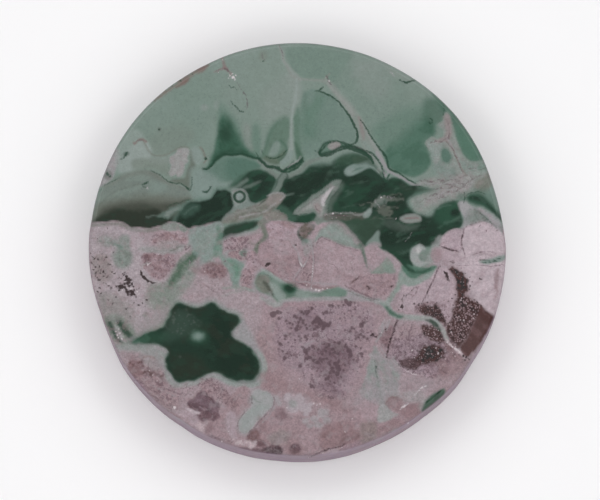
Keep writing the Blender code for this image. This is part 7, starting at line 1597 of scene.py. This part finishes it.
# plum spots, about three units across, some of them run together
spots = noise(place, 0.27, 3.0, 0.62, 0.3)
dense = noise(place, 0.075, 2.0, 0.5)
level = math_node("MULTIPLY_ADD", ramp(dense, 0.38, 0.62), 0.06, spots)
level = math_node("MULTIPLY_ADD", plummy, 0.07, level)
spot_mask = math_node("MULTIPLY", ramp(level, 0.615, 0.67), ramp(plummy, 0.02, 0.5))
colour = mix(math_node("MULTIPLY", spot_mask, 0.62), colour, paint("damson"))
small = noise(place, 0.5, 1.0, 0.5)
small_mask = math_node("MULTIPLY", ramp(small, 0.60, 0.68), ramp(plummy, 0.05, 0.9, 0.0, 0.6))
colour = mix(small_mask, colour, paint("damson", 0.9))

# black specks
specks = noise(place, 0.34, 2.0, 0.7)
speck_mask = math_node("MULTIPLY", ramp(specks, 0.53, 0.62), ramp(specky, 0.05, 0.9))
colour = mix(math_node("MULTIPLY", speck_mask, 0.85), colour, paint("coffee", 0.62))

# pale sand grains
sand = node("ShaderNodeTexVoronoi", voronoi_dimensions="3D", feature="F1")
wire(place, sand.inputs["Vector"])
sand.inputs["Scale"].default_value = 0.50
grain_size = noise(place, 0.5, 1.0, 0.5)
reach_in = math_node("MULTIPLY_ADD", grain_size, 0.7, math_node("MULTIPLY_ADD", sandy, 0.26, -0.13))
grain_mask = ramp(math_node("SUBTRACT", reach_in, sand.outputs["Distance"]), -0.06, 0.10)
grain_mask = math_node("MULTIPLY", grain_mask, ramp(sandy, 0.02, 0.4))
sand_rgb = node("ShaderNodeSeparateColor")
wire(sand.outputs["Color"], sand_rgb.inputs[0])
grain_tone = mix(ramp(sand_rgb.outputs[0], 0.1, 0.8), paint("russet", 0.75), paint("mauve"))
grain_tone = mix(ramp(sand_rgb.outputs[1], 0.90, 0.97), grain_tone, paint("bone"))
colour = mix(math_node("MULTIPLY", grain_mask, 0.75), colour, grain_tone)

# pale crumbs
crumb = node("ShaderNodeTexVoronoi", voronoi_dimensions="3D", feature="F1")
wire(place, crumb.inputs["Vector"])
crumb.inputs["Scale"].default_value = 0.27
crumb_rgb = node("ShaderNodeSeparateColor")
wire(crumb.outputs["Color"], crumb_rgb.inputs[0])
crumb_mask = math_node("MULTIPLY", ramp(math_node("SUBTRACT", 0.24, crumb.outputs["Distance"]), -0.05, 0.08), ramp(crumb_rgb.outputs[0], 0.55, 0.7))
colour = mix(math_node("MULTIPLY", crumb_mask, math_node("MULTIPLY", salty, 0.6)), colour, paint("bone"))

# fine wavy threads in the webs
weave = noise(place, 0.075, 3.0, 0.6, 1.2)
gate = ramp(noise(place, 0.12, 2.0, 0.5), 0.42, 0.55)
for level_at, wide_at, tint_to, share in ((0.50, 0.010, paint("russet"), 0.62), (0.455, 0.009, paint("clay"), 0.6), (0.545, 0.009, paint("white"), 0.34)):
    off = math_node("ABSOLUTE", math_node("SUBTRACT", weave, level_at))
    thread = math_node("MULTIPLY", ramp(off, wide_at * 0.2, wide_at, 1.0, 0.0), gate)
    colour = mix(math_node("MULTIPLY", thread, math_node("MULTIPLY", thready, share)), colour, tint_to)

# lines and flecks
jitter = math_node("MULTIPLY_ADD", noise(place, 0.55, 2.0, 0.6), 1.2, -0.6)
for name, tint_to, soft, share in (
    ("ink", paint("deep", 0.9), 0.7, 0.9),
    ("spot", paint("damson", 0.72), 0.7, 0.78),
    ("rust", paint("damson", 0.9), 0.7, 0.7),
    ("blush", paint("mauve", 1.05), 0.8, 0.72),
    ("pale", paint("fog"), 0.75, 0.75),
    ("dark", paint("night"), 0.55, 0.95),
    ("white", paint("white"), 0.55, 0.92),
):
    field = math_node("ADD", attribute("line_" + name), jitter)
    colour = mix(math_node("MULTIPLY", ramp(field, -soft, soft), share), colour, tint_to)

gloss = node("ShaderNodeBsdfPrincipled")
wire(colour, gloss.inputs["Base Color"])
rough = math_node("MULTIPLY_ADD", is_matrix, 0.10, 0.26)
rough = math_node("MULTIPLY_ADD", is_brown, 0.22, rough)
rough = math_node("MULTIPLY_ADD", attribute("back"), 0.16, rough)
rough = math_node("MULTIPLY_ADD", attribute("rim"), 0.22, rough)
rough = math_node("MULTIPLY_ADD", math_node("SUBTRACT", fine, 0.5), math_node("MULTIPLY_ADD", is_green, -0.14, 0.15), rough)
wire(rough, gloss.inputs["Roughness"])
gloss.inputs["IOR"].default_value = 1.55
gloss.inputs["Specular IOR Level"].default_value = 0.42

bump = node("ShaderNodeBump")
bump.inputs["Distance"].default_value = 0.00004
height = math_node("MULTIPLY", fine, math_node("MULTIPLY_ADD", is_matrix, 0.6, math_node("MULTIPLY_ADD", is_brown, 1.4, 0.06)))
height = math_node("MULTIPLY_ADD", grain_mask, 0.9, height)
wire(height, bump.inputs["Height"])
bump.inputs["Strength"].default_value = 0.5
wire(bump.outputs[0], gloss.inputs["Normal"])

out_node = node("ShaderNodeOutputMaterial")
wire(gloss.outputs[0], out_node.inputs["Surface"])
mesh.materials.append(mat)

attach(stone, "root")
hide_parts(NODE)

# ---------------------------------------------------------------------------
# Floor, light and camera
# ---------------------------------------------------------------------------
floor_mesh = bpy.data.meshes.new("floor")
floor_mesh.from_pydata([(-4, -4, 0), (4, -4, 0), (4, 4, 0), (-4, 4, 0)], [], [(0, 1, 2, 3)])
floor = bpy.data.objects.new("floor", floor_mesh)
bpy.context.scene.collection.objects.link(floor)
floor_mat = bpy.data.materials.new("pale_floor")
floor_mat.use_nodes = True
floor_shader = floor_mat.node_tree.nodes["Principled BSDF"]
floor_shader.inputs["Base Color"].default_value = (0.97, 0.97, 0.97, 1)
floor_shader.inputs["Roughness"].default_value = 0.9
floor_shader.inputs["Specular IOR Level"].default_value = 0.1
floor_mesh.materials.append(floor_mat)

scene = bpy.context.scene
world = bpy.data.worlds.new("soft_room")
world.use_nodes = True
world.node_tree.nodes["Background"].inputs["Color"].default_value = (0.97, 0.95, 0.98, 1)
world.node_tree.nodes["Background"].inputs["Strength"].default_value = 0.21
scene.world = world
scene.view_settings.view_transform = "Standard"


def softbox(name, azimuth, elevation, distance, size, power, colour=(1, 1, 1)):
    """A square area light that looks at the stone."""
    a, e = math.radians(azimuth), math.radians(elevation)
    data = bpy.data.lights.new(name, "AREA")
    data.shape = "SQUARE"
    data.size = size
    data.energy = power
    data.color = colour
    o = bpy.data.objects.new(name, data)
    place_at = np.array([math.sin(a) * math.cos(e), -math.cos(a) * math.cos(e), math.sin(e)]) * distance
    o.location = place_at
    back = place_at / np.linalg.norm(place_at)
    side = np.cross([0.0, 0.0, 1.0], back)
    side /= np.linalg.norm(side)
    up = np.cross(back, side)
    matrix_rows = [[side[i], up[i], back[i], place_at[i]] for i in range(3)] + [[0, 0, 0, 1]]
    from mathutils import Matrix

    o.matrix_world = Matrix([[float(v) for v in row] for row in matrix_rows])
    scene.collection.objects.link(o)


for k, power in enumerate((5.4, 5.6, 5.8, 6.0, 6.0, 5.8)):
    softbox("box_%d" % k, 60 * k, 50, 1.7, 1.3, power, (1.0, 0.995, 1.0))

WIDE = 600 * UNIT * MM
DISTANCE = 0.8
v_hat = np.array([0.0, math.cos(TILT), math.sin(TILT)])
d_hat = np.array([0.0, -math.sin(TILT), math.cos(TILT)])
look = np.array([0.387, 0.0, 0.0]) + 1.091 * v_hat
cam_data = bpy.data.cameras.new("camera")
cam_data.sensor_width = 36.0
cam_data.lens = 36.0 * DISTANCE / WIDE
cam_data.clip_start, cam_data.clip_end = 0.05, 20.0
camera = bpy.data.objects.new("camera", cam_data)
# the face, not the back, keeps the photograph's scale
at = look * MM + d_hat * DISTANCE + d_hat * (SHOULDER_Z * MM * 0.98)
from mathutils import Matrix

camera.matrix_world = Matrix([[1.0, float(v_hat[0]), float(d_hat[0]), float(at[0])], [0.0, float(v_hat[1]), float(d_hat[1]), float(at[1])], [0.0, float(v_hat[2]), float(d_hat[2]), float(at[2])], [0, 0, 0, 1]])
scene.collection.objects.link(camera)
scene.camera = camera

bpy.context.view_layer.update()
